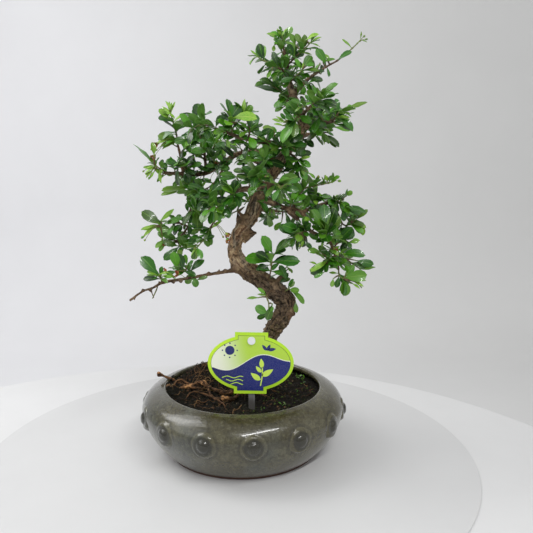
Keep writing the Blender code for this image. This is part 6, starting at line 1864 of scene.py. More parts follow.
    @staticmethod
    def relief(place: Vector, radius: float, height: float) -> tuple[float, float]:
        """The bark's form at one place.

        Args:
            place: The place in the grain's own coordinates.
            radius: The limb's radius there.
            height: The height above the pot's foot.

        Returns:
            How far the bark stands out, and how deep in a crack the place lies, from 0 to 1.
        """
        def grown(fine: float, along: float, shift: Point = (0.0, 0.0, 0.0)) -> float:
            """Noise that runs along the grain."""
            return noise.noise(Vector((place.x * fine + shift[0], place.y * fine + shift[1],
                                       place.z * along + shift[2])))

        flute = grown(0.24, 0.22, (9.1, 0.0, 0.0))
        lumps = grown(0.40, 1.25, (0.0, 4.0, 0.0))
        ridge = 1.0 - 2.0 * abs(grown(0.34, 0.42, (0.0, 0.0, 7.0)))
        fine = grown(1.1, 2.6)
        crack = max(ridge - 0.72, 0.0) / 0.28
        size = min(radius, 9.0)
        rugged = 1.0 + 0.55 * clamped((180.0 - height) / 20.0)
        lift = size * (0.16 * flute + rugged * (0.13 * lumps + 0.06 * fine))
        cavity = clamped(0.30 + crack * 0.55 - 0.55 * lumps - 0.45 * flute - 0.25 * fine)
        return lift - (0.05 + 0.055 * size) * crack, cavity

    def fissure(self, item: bpy.types.Object) -> None:
        """Raise ridges and sink cracks that run along each limb, and store what the bark reads.

        Args:
            item: The wood.
        """
        line = self.grain_line()
        tree = tree_of([row[0] for row in line])
        points = points_of(item)
        normals = np.zeros(points.size)
        item.data.vertices.foreach_get("normal", normals)
        grain = np.zeros_like(points)
        stored = {name: np.zeros(len(points)) for name in ("cavity", "rooty", "slim")}
        for i, (point, normal) in enumerate(zip(points, normals.reshape(-1, 3))):
            middle, side, across, along, radius, is_root = line[tree.find(Vector(point))[1]]
            away = point - middle
            turn = math.atan2(float(away @ across), float(away @ side))
            place = Vector((radius * math.cos(turn), radius * math.sin(turn), along * self.grain_stretch))
            grain[i] = place
            lift, stored["cavity"][i] = self.relief(place, radius, point[2])
            points[i] = point + normal * lift
            stored["rooty"][i] = is_root
            stored["slim"][i] = clamped((4.6 - radius) / 2.4)
        set_points(item, points)
        mark(item, "grain", grain)
        for name, values in stored.items():
            mark(item, name, values, "FLOAT")

    def build(self) -> None:
        """Grow, fissure and dress the wood."""
        item = self.grown()
        self.fissure(item)
        softened(item, 75)
        put(item, Bark().made(), ("trunk",))


class Outline(Enum):
    """Blade outlines: rows (along, half width), then the tip row's corner and its notch."""

    OBOVATE = (((0.0, 0.07), (0.13, 0.15), (0.33, 0.62), (0.56, 0.98), (0.77, 0.93)),
               (0.92, 0.57), (0.95, 0.29))
    ROUNDED = (((0.0, 0.06), (0.12, 0.14), (0.30, 0.74), (0.54, 1.0), (0.77, 0.96)),
               (0.93, 0.60), (0.965, 0.31))
    LANCE = (((0.0, 0.13), (0.15, 0.34), (0.36, 0.82), (0.56, 1.0), (0.79, 0.66)),
             (0.93, 0.28), (0.97, 0.14))


@dataclass(frozen=True)
class LeafSkin:
    """Glossy green blades with veins, paler below; a point's colour holds youth, chance and side."""

    deep: Paint = ink(18, 44, 10)
    green: Paint = ink(46, 108, 14)
    fresh: Paint = ink(86, 152, 22)
    young: Paint = ink(146, 192, 62)
    below: Paint = ink(86, 134, 46)
    vein: Paint = ink(112, 162, 56)
    young_vein: Paint = ink(196, 216, 110)

    def made(self) -> bpy.types.Material:
        """The material; u runs across the blade and v along it."""
        s = Shade("glossy_leaf")
        stored = s.node("ShaderNodeSeparateColor", None, {0: s.stored("leaf", "Color")})
        youth, chance, under = (Value(s, out) for out in stored.outputs)
        across, along, _ = s.parts(s.node("ShaderNodeUVMap", {"uv_map": "blade"}).outputs[0])
        off_middle = abs(across - 0.5)
        clouds = s.noise(170, 3, 0.6)
        area = s.noise(22, 2, 0.5)
        colour = s.mix((chance * 0.7 + clouds * 0.4 + area * 0.3).rise(0.25, 0.90), self.deep, self.green)
        colour = s.mix((chance + clouds * 0.3 + area * 0.3).rise(0.90, 1.38), colour, self.fresh)
        colour = s.mix(youth, colour, self.young)
        mottles = s.noise(420, 3, 0.65).rise(0.50, 0.60) * youth.rise(0.5, 0.8) * 0.55
        colour = s.mix(mottles, colour, self.fresh)
        midrib = off_middle.rise(0.050, 0.010)
        side_veins = (along * 7.0 - off_middle * 5.0).remainder()
        side_veins = abs(side_veins - 0.5).rise(0.10, 0.0) * off_middle.rise(0.5, 0.2)
        veins = (midrib * 0.6).either(side_veins * 0.2)
        colour = s.mix(veins, colour, s.mix(youth, self.vein, self.young_vein))
        below = s.mix(youth * 0.7, s.mix(veins * 0.8, self.below, self.vein), self.young)
        colour = s.mix(under, colour, below)
        rough = clouds * 0.10 + under * 0.22 + youth * 0.06 + 0.27
        relief = s.bump(veins * -1.0 + clouds * 0.35, 0.00022, 0.8)
        return s.dress(Base_Color=colour, Roughness=rough, Normal=relief, Coat_Weight=(1.0 - under) * 0.30,
                       Coat_Roughness=0.06)


@dataclass(frozen=True)
class TwigSkin:
    """Brown twig bark that turns green towards the tip."""

    def made(self) -> bpy.types.Material:
        """The material, by the stored age."""
        s = Shade("twig_bark")
        age = s.number("age")
        grain = s.noise(700, 4, 0.65, 0.0, s.stretched((1.0, 1.0, 0.5)))
        old = s.ramp(grain, (0.3, ink(58, 42, 28)), (0.6, ink(104, 80, 54)), (0.8, ink(140, 116, 84)))
        green = s.mix(grain, ink(92, 112, 48), ink(132, 150, 76))
        colour = s.mix(age, old, green)
        return s.dress(Base_Color=colour, Roughness=grain * 0.2 + 0.5, Normal=s.bump(grain, 0.0003, 0.7))


def clear_places() -> np.ndarray:
    """Rows (x, z, radius, depth) in front of whose depth no leaf may show: gaps, then bare wood."""
    wood = limb_points()
    bare = [(x, z, radius, rooted(x, z, wood)[1][1] + 2.0) for x, z, radius in BARE]
    return np.array([(x, z, radius + 0.4, math.inf) for x, z, radius in GAPS] + bare, dtype=float)


CLEAR_PLACES = clear_places()


def over_gaps(spots: np.ndarray) -> int:
    """How many of the points show inside the crown's gaps or in front of its bare wood."""
    off = np.linalg.norm(shown(spots)[:, None] - CLEAR_PLACES[None, :, :2], axis=2)
    hidden = (off < CLEAR_PLACES[:, 2]) & (spots[:, 1, None] < CLEAR_PLACES[:, 3])
    return int(hidden.any(axis=1).sum())


class Room:
    """Points that leaves already take, for keeping new ones apart."""

    def __init__(self, taken: Sequence[np.ndarray], wood: np.ndarray) -> None:
        """Index what is taken; wood holds rows (x, y, z, radius)."""
        self.tree = tree_of(np.vstack(taken))
        self.fresh: list[np.ndarray] = []
        self.wood = wood

    def free(self, spots: np.ndarray, apart: float, off_wood: float) -> bool:
        """Whether a new blade has room and leaves the crown's gaps open.

        Args:
            spots: Points spread over the blade.
            apart: Its least distance from other blades.
            off_wood: Its least distance from the wood, but for its foot.

        Returns:
            Whether it may stay.
        """
        if over_gaps(spots):
            return False
        if any(self.tree.find(Vector(spot))[2] < apart for spot in spots):
            return False
        for other in self.fresh:
            if np.linalg.norm(other[None] - spots[:, None], axis=2).min() < apart:
                return False
        return nearest_wood(spots[1:], self.wood) > off_wood


@dataclass
class LeafyTwig:
    """One spray: its route, the frames of its stations and every leaf that it bears."""

    spray: Spray
    route: Route
    frames: list
    leaves: list

    def last(self) -> float:
        """How far along the twig its last leaves grow."""
        return self.spray.stations[-1].along * self.route.length

    def nodes(self) -> np.ndarray:
        """Distances along the twig of the nodes between its stations."""
        return np.arange(NODE_STEP * 0.8, self.last() - 2.0, NODE_STEP)


@dataclass
class Twigs:
    """The twigs themselves, a little swollen where leaves grow, with the spurs and stalks."""

    foot: float = 0.95
    taper: float = 0.45
    swelling: float = 0.26
    swelling_reach: float = 0.9
    step: float = 1.4
    beyond_leaves: float = 1.6
    tip_share: float = 0.55
    spur_end: float = 0.5
    sides: int = 8
    # The share of a twig's length where it starts to turn green, and over which it turns
    green_from: float = 0.45
    green_over: float = 0.5

    def rod_of(self, twig: LeafyTwig) -> tuple[np.ndarray, list[float]]:
        """One twig's points and radii.

        Args:
            twig: The leafy twig.

        Returns:
            Its points in millimetres and its radii.
        """
        last = twig.last()
        knees = [station.along * twig.route.length for station in twig.spray.stations]
        knees += list(twig.nodes())
        marks = np.arange(0.0, last + self.beyond_leaves, self.step)
        radii = []
        for mark_at in marks:
            swell = max(math.exp(-((mark_at - knee) / self.swelling_reach) ** 2) for knee in knees)
            radii.append(self.foot - self.taper * mark_at / (last + 2) + self.swelling * swell)
        radii[-1] *= self.tip_share
        return np.array([twig.route.at(mark_at) for mark_at in marks]), radii

    def made(self, twigs: Sequence[LeafyTwig], spurs: Sequence[np.ndarray]) -> bpy.types.Object:
        """All twigs, spurs and stalks in one mesh.

        Args:
            twigs: The leafy twigs.
            spurs: Paths of the spurs and stalks.

        Returns:
            The object at the origin, with each point's age stored as "age".
        """
        paths = [self.rod_of(twig) for twig in twigs]
        paths += [(spur, np.linspace(self.foot, self.spur_end, len(spur))) for spur in spurs]
        item = rod("twigs", paths, self.sides)
        tree = tree_of(np.vstack([path for path, _ in paths]))
        shares = [k / (len(path) - 1) for path, _ in paths for k in range(len(path))]
        share = np.array([shares[tree.find(Vector(point))[1]] for point in points_of(item)])
        mark(item, "age", np.clip((share - self.green_from) / self.green_over, 0, 1), "FLOAT")
        softened(item, 80)
        return item


class Blades:
    """The leaves' meshes, each laid out from the master of its outline."""

    # Blades are this much slimmer than the solids', and a row that is done is parked this far off
    slender: float = 0.92
    parked: float = 10.0

    def __init__(self) -> None:
        """Make the masters: for each outline its points, faces and blade map."""
        self.masters = {outline: self.master(outline) for outline in Outline}

    def master(self, outline: Outline) -> tuple[np.ndarray, list[tuple], np.ndarray]:
        """A flat grid drawn to the outline row by row, then given its thickness.

        Args:
            outline: The outline.

        Returns:
            The blade's points, its faces and its map's coordinates.
        """
        rows, corner, notch = outline.value
        nothing_picked()
        bpy.ops.mesh.primitive_grid_add(x_subdivisions=4, y_subdivisions=5, size=2.0, calc_uvs=True)
        item = bpy.context.object
        item.data.uv_layers[0].name = "blade"
        with editing(item):
            for index, (along, half) in enumerate(rows):
                level = -1.0 + 0.4 * index
                choose(item, lambda co: abs(co.y - level) < 0.01 and abs(co.x) <= 1.001)
                bpy.ops.transform.resize(value=(half, 1.0, 1.0), center_override=(0, level, 0))
                bpy.ops.transform.translate(value=(0, self.parked + along - level, 0))
            for at, (along, half) in ((1.0, corner), (0.5, notch)):
                for way in (-1.0, 1.0):
                    choose(item, lambda co: 0.9 < co.y < 1.5 and abs(co.x - way * at) < 0.01)
                    bpy.ops.transform.translate(value=(way * (half - at), self.parked + along - 1.0, 0))
            choose(item, lambda co: abs(co.x) < 0.01 and 0.9 < co.y < 1.5)
            bpy.ops.transform.translate(value=(0, self.parked, 0))
            bpy.ops.mesh.select_all(action="SELECT")
            bpy.ops.transform.translate(value=(0, -self.parked, 0))
        applied(item, "SOLIDIFY", thickness=1.0, offset=-1.0)
        outward_faces(item)
        flat = np.zeros(len(item.data.loops) * 2)
        item.data.uv_layers["blade"].data.foreach_get("uv", flat)
        made = (np.array([v.co for v in item.data.vertices]), faces_of(item), flat)
        bpy.data.objects.remove(item)
        return made

    def draped(self, shape: np.ndarray, leaf: Leaf, rng: random.Random) -> np.ndarray:
        """Lay a master along one leaf with its own fold, droop, twist and wave.

        Args:
            shape: The master's points.
            leaf: The leaf.
            rng: Draws every choice.

        Returns:
            The leaf's points in millimetres.
        """
        length, ahead, up, across = blade_frame(leaf)
        half = leaf.kind.value[0] * length / 2 * self.slender
        w, s, under = shape[:, 0], shape[:, 1], shape[:, 2] < UNDER_SIDE
        x = w * half
        fold = rng.uniform(0.10, 0.42)
        rise = leaf.arch * length * 4 * s * (1 - s) + fold * (np.sqrt(x * x + 0.15) - 0.387)
        rise -= rng.uniform(0.0, 0.28) * half * np.abs(w) ** 3
        rise -= rng.uniform(-0.10, 0.28) * length * np.maximum(s - 0.5, 0.0) ** 2 * 1.6
        phase = rng.uniform(0, 6.28)
        rise += 0.020 * length * np.abs(w) * np.sin(9.0 * s + phase) * np.sign(w + 0.01)
        twist = rng.uniform(-0.45, 0.45) * (s - 0.2)
        bend = rng.uniform(-0.10, 0.10) * length * s * s
        thick = 0.34 + 0.40 * np.maximum(1 - s / 0.2, 0.0)
        flat_x = x * np.cos(twist) - rise * np.sin(twist) * 0.6 + bend
        flat_z = rise * np.cos(twist) + x * np.sin(twist) - thick * under
        return leaf.base + np.outer(s * length, ahead) + np.outer(flat_x, across) + np.outer(flat_z, up)

    def mesh(self, label: str, leaves: Sequence[Leaf]) -> bpy.types.Object:
        """The leaves of one place in one mesh.

        Args:
            label: The place's name.
            leaves: Its leaves.

        Returns:
            The object, with youth, chance and side stored as "leaf", and the map "blade".
        """
        rng = random.Random(label + " drape")
        parts = Gathered()
        maps = []
        for leaf in leaves:
            outline = {ROUND: Outline.ROUNDED, YOUNG: Outline.LANCE}.get(leaf.kind, Outline.OBOVATE)
            shape, faces, flat = self.masters[outline]
            places = self.draped(shape, leaf, rng)
            maps.append(flat)
            ones = np.ones(len(shape))
            under = (shape[:, 2] < UNDER_SIDE).astype(float)
            parts.add(places, faces, np.column_stack((ones * leaf.youth, ones * rng.random(), under, ones)))
        item = parts.made(f"leaves_{label}", "leaf")
        item.data.uv_layers.new(name="blade").data.foreach_set("uv", np.concatenate(maps))
        softened(item, 60)
        return item


@dataclass
class Crown:
    """All leafy twigs of the plant, each over the plain spray that it stands for."""

    # Leaves added at a station and at a node, and their shortest and longest
    per_station: int = 4
    per_node: int = 2
    sizes: tuple = (11.0, 18.0)
    tip_sizes: tuple = (7.0, 11.0)
    node_sizes: tuple = (9.0, 15.0)
    # Thin sprays, and the share of the leaves above that each gets
    sparse: tuple = (("top_far", 0.0), ("top_left", 0.5), ("top_shoot", 0.45), ("top_right", 0.6),
                     ("top_mid", 0.7), ("top_right_end", 0.5), ("right_riser_top", 0.6),
                     ("left_shoot", 0.3), ("far_left", 0.3), ("left_tail", 0.6), ("low_left_end", 0.5),
                     ("mid_shoot", 0.35), ("trunk_left", 0.5), ("left_outer", 0.5),
                     ("low_left_tall", 0.6), ("trunk_side", 0.0), ("trunk_down", 0.0))
    # Where the upper face of a leaf looks that shows its narrow side
    edge_up: tuple = (0.6, -0.28, 0.8)
    # How near a leaf's tip has to be to its place on the solid, or to a place of the tables
    solid_near: float = 3.5
    edge_near: float = 2.0
    paler_near: float = 1.5
    # Turns in degrees and sizes that may clear a gap, and what a degree and a loss of size weigh
    eased_turns: tuple = (0.0, 12.0, -12.0, 24.0, -24.0, 36.0, -36.0)
    eased_sizes: tuple = (1.0, 0.85, 0.7)
    degrees_a_point: float = 40.0
    size_weight: float = 3.0
    # How far new leaves keep from other leaves and from wood, and how often a place is tried
    apart: float = 1.2
    off_wood: float = 0.9
    tries: int = 9
    # Leaves on spurs: the limb, the first and last share of its length, and the step between spurs
    spurs: tuple = (("trunk", 0.60, 1.0, 6.0), ("left_arm", 0.08, 0.96, 7.0), ("upper_arm", 0.15, 1.0, 7.0),
                    ("left_mid", 0.15, 0.75, 8.0), ("left_low_arm", 0.1, 1.0, 8.0),
                    ("left_hanging", 0.1, 1.0, 8.0), ("left_riser", 0.1, 1.0, 8.0),
                    ("mid_riser", 0.1, 1.0, 8.0), ("right_arm", 0.12, 0.97, 7.0),
                    ("right_fork", 0.1, 1.0, 8.0), ("right_riser", 0.2, 1.0, 8.0),
                    ("right_top", 0.2, 1.0, 8.0), ("far_twig", 0.2, 1.0, 8.0),
                    ("back_left", 0.2, 1.0, 9.0), ("back_right", 0.2, 1.0, 9.0),
                    ("back_low", 0.2, 1.0, 9.0), ("back_inner", 0.2, 1.0, 9.0),
                    ("back_top", 0.2, 1.0, 9.0), ("front_arm", 0.2, 1.0, 9.0),
                    ("front_top", 0.2, 1.0, 9.0))
    spur_leaves: int = 4
    spur_sizes: tuple = (9.0, 16.0)
    # Seedlings: (x, y), how many, how long, how far spread
    seedlings: tuple = ((59.6, 46.9, 4, 5.5, 2.4), (63.1, 34.3, 5, 6.0, 2.6), (64.2, 22.3, 2, 4.6, 2.0),
                        (50.6, -44.1, 2, 4.5, 1.2), (40.4, -35.7, 3, 4.0, 1.6),
                        (21.0, -44.9, 3, 3.0, 2.2), (2.0, -50.0, 1, 2.4, 2.0),
                        (45.0, -10.0, 2, 2.6, 8.0), (56.0, 8.0, 2, 2.8, 6.0))

    def planned(self) -> tuple[list[LeafyTwig], list[np.ndarray], np.ndarray]:
        """The leaves that the solids have.

        Returns:
            The twigs with those leaves, the points that the leaves take up, and the wood's rows.
        """
        wood = wood_points()
        taken: list[np.ndarray] = []
        twigs = []
        for spray in SPRAYS:
            route, frames, leaves = plan_spray(spray, taken, wood)
            solid = points_of(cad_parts[f"spray_{spray.name}"])
            for leaf in leaves:
                if any(math.dist(shown(leaf.tip), place) < self.edge_near for place in EDGE_ON):
                    leaf.up = np.array(self.edge_up)
            kept = [self.eased(leaf) for leaf in leaves
                    if np.linalg.norm(solid - leaf.tip, axis=1).min() < self.solid_near]
            twigs.append(LeafyTwig(spray, route, frames, kept))
        return twigs, taken, wood

    def eased(self, leaf: Leaf) -> Leaf:
        """Turn or shorten a leaf a little where it would hide a gap of the crown.

        Args:
            leaf: The leaf as planned.

        Returns:
            The leaf as it is made.
        """
        best = None
        for turn in self.eased_turns:
            c, s = math.cos(math.radians(turn)), math.sin(math.radians(turn))
            for size in self.eased_sizes:
                x, y, z = (leaf.tip - leaf.base) * size
                reach = np.array((x * c - z * s, y, x * s + z * c))
                tried = Leaf(leaf.base, leaf.base + reach, leaf.up, leaf.kind, leaf.arch, leaf.face)
                cost = (over_gaps(leaf_samples(tried)) + abs(turn) / self.degrees_a_point
                        + (1.0 - size) * self.size_weight)
                if best is None or cost < best[0]:
                    best = (cost, tried)
        return best[1]

    def sprouted(self, rng: random.Random, room: Room, place: tuple, sizes: tuple, want: int) -> list[Leaf]:
        """More leaves round one place of a twig.

        Args:
            rng: Draws every choice.
            room: What is taken already; new leaves are added.
            place: The frame (point, along, side, across).
            sizes: Shortest and longest leaf.
            want: How many leaves are looked for.

        Returns:
            Those that found room.
        """
        spot, along, side, across = place
        found = []
        for k in range(want):
            for _ in range(self.tries):
                turn = 2 * math.pi * (k + rng.uniform(-0.4, 0.4)) / want + rng.uniform(0, 6.3)
                aim = outward(turn, side, across)
                tilt = math.radians(rng.uniform(25, 85))
                ahead = math.cos(tilt) * along + math.sin(tilt) * aim
                ahead = unit(ahead + np.array((0, 0, rng.uniform(-0.2, 0.4))))
                length = rng.uniform(*sizes)
                kind = rng.choice((MATURE, MATURE, LONG, WIDE, ROUND)) if length > 8.5 else YOUNG
                up = 0.5 * along + np.array((rng.uniform(-0.5, 0.5), rng.uniform(-0.8, 0.4), 0.8))
                leaf = Leaf(spot + 0.35 * aim, spot + ahead * length, up, kind, rng.uniform(0.02, 0.12))
                leaf.youth = max(rng.uniform(*((-0.5, 0.75) if length < 11.0 else (-0.8, 0.35))), 0.0)
                spots = leaf_samples(leaf)
                if room.free(spots, self.apart, self.off_wood):
                    found.append(leaf)
                    room.fresh.append(spots)
                    break
        return found

    def filled(self, twig: LeafyTwig, room: Room) -> None:
        """Give a twig the leaves between those of its solid.

        Args:
            twig: The twig; new leaves are added to it.
            room: What is taken already; new leaves are added.
        """
        rng = random.Random(twig.spray.name + " more")
        share = dict(self.sparse).get(twig.spray.name, 1.0)
        for leaf in twig.leaves:
            leaf.youth = rng.uniform(0.55, 1.0) if leaf.kind is YOUNG else max(rng.uniform(-0.7, 0.3), 0.0)
            for *place, youth in PALER:
                if math.dist(shown(leaf.tip), place) < self.paler_near:
                    leaf.youth = youth
        for index, place in enumerate(twig.frames):
            at_tip = index == len(twig.frames) - 1
            sizes = self.tip_sizes if at_tip and share < 1.0 else self.sizes
            twig.leaves += self.sprouted(rng, room, place, sizes, round(self.per_station * share))
        for place in twig_frames(twig.route, twig.nodes()):
            twig.leaves += self.sprouted(rng, room, place, self.node_sizes, round(self.per_node * share))

    def spurred(self, taken: list[np.ndarray], wood: np.ndarray) -> tuple[list[Leaf], list[np.ndarray]]:
        """Leaves on short spurs straight out of the limbs.

        Args:
            taken: Points of the leaves so far; the new leaves' points are added.
            wood: Rows (x, y, z, radius) of the wood.

        Returns:
            The leaves, and the spurs' own paths.
        """
        rng = random.Random("spurs")
        leaves, rods = [], []
        for name, start, end, step in self.spurs:
            points, radii = limb_path(LIMBS[name])
            route = Route(points)
            widths = smooth_route([(r,) for r in radii])[:, 0]
            room = Room(taken, wood)
            turn = rng.uniform(0, 6.28)
            for mark_at in np.arange(start * route.length, end * route.length, step):
                spot, along, side, across = twig_frames(route, [mark_at + rng.uniform(-1.5, 1.5)])[0]
                radius = float(np.interp(mark_at, route.marks, widths))
                turn += 2.4 + rng.uniform(-0.5, 0.5)
                rise = unit(outward(turn, side, across) + 0.45 * along + np.array((0, 0, 0.25)))
                tip = spot + rise * (radius + rng.uniform(2.0, 5.0))
                rods.append(np.array([spot + rise * radius * 0.5, spot + rise * (radius + 1.0), tip]))
                place = (tip, rise, *square_to(rise, (0.3, 0.2, 0.9)))
                leaves += self.sprouted(rng, room, place, self.spur_sizes, self.spur_leaves)
            taken += room.fresh
        return leaves, rods

    @staticmethod
    def singles(wood: np.ndarray) -> tuple[list[Leaf], list[np.ndarray]]:
        """The leaves that are placed one by one, each with a stalk from the nearest wood.

        Args:
            wood: Rows (x, y, z, radius) of the wood.

        Returns:
            The leaves, and their stalks' paths.
        """
        rng = random.Random("singles")
        leaves, stalks = [], []
        for x, z, x0, z0, kind, youth in SINGLES:
            start, foot = rooted(x0, z0, wood)
            tip = seen(x, z, start[1] + rng.uniform(-5.0, 1.0))
            up = np.array((rng.uniform(-0.4, 0.4), -0.8, rng.uniform(0.3, 0.8)))
            leaf = Leaf(start, tip, up, kind, rng.uniform(0.03, 0.10))
            leaf.youth = youth
            leaves.append(leaf)
            if np.linalg.norm(start - foot) > 0.6:
                middle = (foot + start) / 2 + (0, 0, 0.4)
                stalks.append(np.array([foot, middle, start + (tip - start) * 0.06]))
        return leaves, stalks

    @staticmethod
    def bare_stalk(ends: Point, wood: np.ndarray) -> np.ndarray:
        """The path of a bare stalk from one place that shows on the wood to another."""
        x0, z0, x1, z1 = ends
        start, foot = rooted(x0, z0, wood)
        middle = seen((x0 + x1) / 2 + 0.6, (z0 + z1) / 2, start[1] - 1.0)
        return np.array([foot, start, middle, seen(x1, z1, start[1] - 2.0)])

    def weeds(self) -> list[Leaf]:
        """Seedlings and fallen leaf bits on the soil."""
        rng = random.Random("weeds")
        soil = Soil()
        leaves = []
        for x, y, count, length, spread in self.seedlings:
            for _ in range(count):
                foot = np.array((x + rng.gauss(0, spread), y + rng.gauss(0, spread), 0.0))
                foot[2] = soil.top(foot[0], foot[1]) + 0.4
                lean = np.array((rng.uniform(-0.9, 0.9), rng.uniform(-0.9, 0.5), rng.uniform(0.1, 1.0)))
                tip = foot + unit(lean) * length * rng.uniform(0.6, 1.2)
                up = np.array((rng.uniform(-0.5, 0.5), -0.5, 0.8))
                leaf = Leaf(foot, tip, up, YOUNG, rng.uniform(0.05, 0.2))
                leaf.youth = rng.uniform(0.0, 0.28)
                leaves.append(leaf)
        return leaves

    def build(self) -> None:
        """Plan, fill and make every leafy twig."""
        twigs, taken, wood = self.planned()
        for twig in twigs:
            room = Room(taken, wood)
            self.filled(twig, room)
            taken += room.fresh
        loose, spurs = self.spurred(taken, wood)
        single, stalks = self.singles(wood)
        loose += single
        spurs += stalks + [self.bare_stalk(ends, wood) for ends in STALKS]
        blades = Blades()
        skin = LeafSkin().made()
        for twig in twigs:
            name = twig.spray.name
            put(blades.mesh(name, twig.leaves), skin, (f"spray_{name}",))
        put(blades.mesh("spurs", loose), skin)
        put(blades.mesh("weeds", self.weeds()), skin)
        names = [f"spray_{twig.spray.name}" for twig in twigs]
        put(Twigs().made(twigs, spurs), TwigSkin().made(), names)
        LOG.info("%d leaves", sum(len(twig.leaves) for twig in twigs) + len(loose))


@dataclass
class Blossoms:
    """Withered flowers and small buds on thread-like stalks, each started in the wood."""

    cup: tuple = ((0.35, 0.0), (0.75, 0.35), (1.05, 0.9), (1.15, 1.5), (0.85, 1.55), (0.5, 1.2))
    bud: tuple = ((0.35, 0.0), (0.8, 0.5), (0.95, 1.1), (0.7, 1.8), (0.25, 2.2))
    sides: int = 7
    petals: int = 6
    # Half of a petal's outline: (along, half width)
    petal_rows: tuple = ((0.0, 0.25), (1.0, 0.85), (2.1, 1.0), (3.1, 0.55))
    petal_thick: float = 0.22
    stalk: tuple = (0.34, 0.24)
    stalk_colour: Paint = ink(122, 134, 70)
    flower_size: float = 1.4
    bud_size: float = 1.25

    @staticmethod
    def stood(shape: np.ndarray, place: np.ndarray, along: np.ndarray, rng: random.Random,
              size: float) -> np.ndarray:
        """A master stood on a place and turned about its own axis at random.

        Args:
            shape: The master's points.
            place: Where its foot stands.
            along: Which way it points.
            rng: Draws the turn.
            size: How much larger than the master it is.

        Returns:
            Its points in millimetres.
        """
        side, across = square_to(along, (rng.uniform(-1, 1), rng.uniform(-1, 1), 0.3))
        x, y, z = shape.T
        return place + size * (np.outer(x, side) + np.outer(y, across) + np.outer(z, along))

    def petal(self) -> tuple[np.ndarray, list[tuple]]:
        """A narrow crumpled petal: the points and faces of a small grid, its back and its rim."""
        front = np.array([(w * half * 0.9, 0.35 * math.sin(2.1 * along + 2 * w) + 0.25 * w * w, along)
                          for along, half in self.petal_rows for w in (-1.0, 0.0, 1.0)])
        back = front + (0.0, self.petal_thick, 0.0)
        cells = [(k, k + 1, k + 4, k + 3) for row in (0, 3, 6) for k in (row, row + 1)]
        rim = [0, 1, 2, 5, 8, 11, 10, 9, 6, 3]
        walls = [(a, b, b + 12, a + 12) for a, b in zip(rim, rim[1:] + rim[:1])]
        behind = [tuple(v + 12 for v in cell[::-1]) for cell in cells]
        return np.vstack((front, back)), cells + behind + walls

    def build(self) -> None:
        """Make every flower and bud with its stalk in one piece."""
        rng = random.Random("blossoms")
        wood = wood_points()
        masters = {"petal": self.petal()}
        for key, profile in (("cup", self.cup), ("bud", self.bud)):
            item = turned(key, profile, self.sides)
            masters[key] = (points_of(item), faces_of(item))
            bpy.data.objects.remove(item)
        parts = Gathered()
        threads = []

        def add(key: str, place: np.ndarray, along: np.ndarray, size: float, colour: Paint) -> None:
            """Add one part."""
            shape, faces = masters[key]
            parts.add(self.stood(shape, place, along, rng, size), faces, colour)

        for x, z, x0, z0, kind in BLOOMS:
            start, foot = rooted(x0, z0, wood)
            end = seen(x, z, start[1] - rng.uniform(1.0, 4.0))
            middle = (start + end) / 2 + np.array((0.0, -0.6, 0.12 * np.linalg.norm(end - start)))
            threads.append((smooth_route([foot, start, middle, end], 5), np.linspace(*self.stalk, 16)))
            along = unit(end - middle + np.array((rng.uniform(-0.2, 0.2), rng.uniform(-0.3, 0.1), 0.1)))
            green = ink(rng.randint(120, 165), rng.randint(150, 180), rng.randint(60, 100))
            if kind is BUD:
                add("bud", end - 0.2 * along, along, rng.uniform(0.8, 1.15) * self.bud_size, green)
                continue
            add("cup", end - 0.2 * along, along, rng.uniform(0.95, 1.2) * self.flower_size, green)
            frame_of = square_to(along, (0.31, 0.17, 0.93))
            for k in range(self.petals):
                spread = unit(along + 0.75 * outward(1.05 * k + rng.uniform(-0.3, 0.3), *frame_of))
                brown = ink(rng.randint(132, 196), rng.randint(78, 124), rng.randint(50, 84))
                add("petal", end + 0.6 * along, spread, rng.uniform(0.75, 1.15) * self.flower_size, brown)
        stalks = rod("stalks", threads, 6)
        tinted(stalks, self.stalk_colour)
        item = joined("blossoms", [parts.made("blossoms", "tint"), stalks])
        outward_faces(item)
        softened(item, 50)
        put(item, Tinted("withered_petals", 1500.0, 0.6, 0.35).made())


@dataclass(frozen=True)
class Print:
    """Printed plastic film: one ink fading to another across the label, with fine scuffs."""

    name: str
    left: Paint
    right: Paint
    fade: tuple = (-0.034, 0.0)

    def made(self) -> bpy.types.Material:
        """The material, fading along X about the label's middle."""
        s = Shade(self.name)
        across, _, up = s.parts()
        share = (across - LABEL_MIDDLE[0] * MM + (up - LABEL_MIDDLE[2] * MM) * 0.25).rise(*self.fade)
        dots = s.noise(2600, 2, 0.5)
        scuffs = s.noise(160, 4, 0.7, 0.0, s.stretched((1.0, 1.0, 5.0))).rise(0.62, 0.8)
        colour = s.mix(share, self.left, self.right)
        colour = s.mix(dots.rise(0.4, 0.7) * 0.06, colour, ink(250, 250, 240))
        return s.dress(Base_Color=colour, Roughness=scuffs * 0.25 + 0.34, Specular_IOR_Level=0.3,
                       Normal=s.bump(s.noise(45, 2), 0.0004, 0.25))


@dataclass(frozen=True)
class ClearPlastic:
    """Milky plastic of the stake, whiter in the peg's head."""

    def made(self) -> bpy.types.Material:
        """The material, split at the label's front face."""
        s = Shade("milky_plastic")
        _, depth, height = s.parts()
        head = depth.rise((LABEL_MIDDLE[1] - 0.7) * MM, (LABEL_MIDDLE[1] - 0.9) * MM)
        flow = s.noise(120, 3, 0.5, 0.6, s.stretched((1.0, 1.0, 0.3)))
        # Darker towards the bottom.
        darker_below = (height + flow * 0.01).rise(0.084, 0.066)
        stem = s.mix(flow, ink(146, 148, 150), ink(186, 188, 192))
        colour = s.mix(head, stem, ink(236, 238, 240))
        colour = s.mix(darker_below * 0.85, colour, ink(56, 50, 40))
        return s.dress(Base_Color=colour, Roughness=flow * 0.2 + 0.28, Normal=s.bump(flow, 0.0003, 0.4))


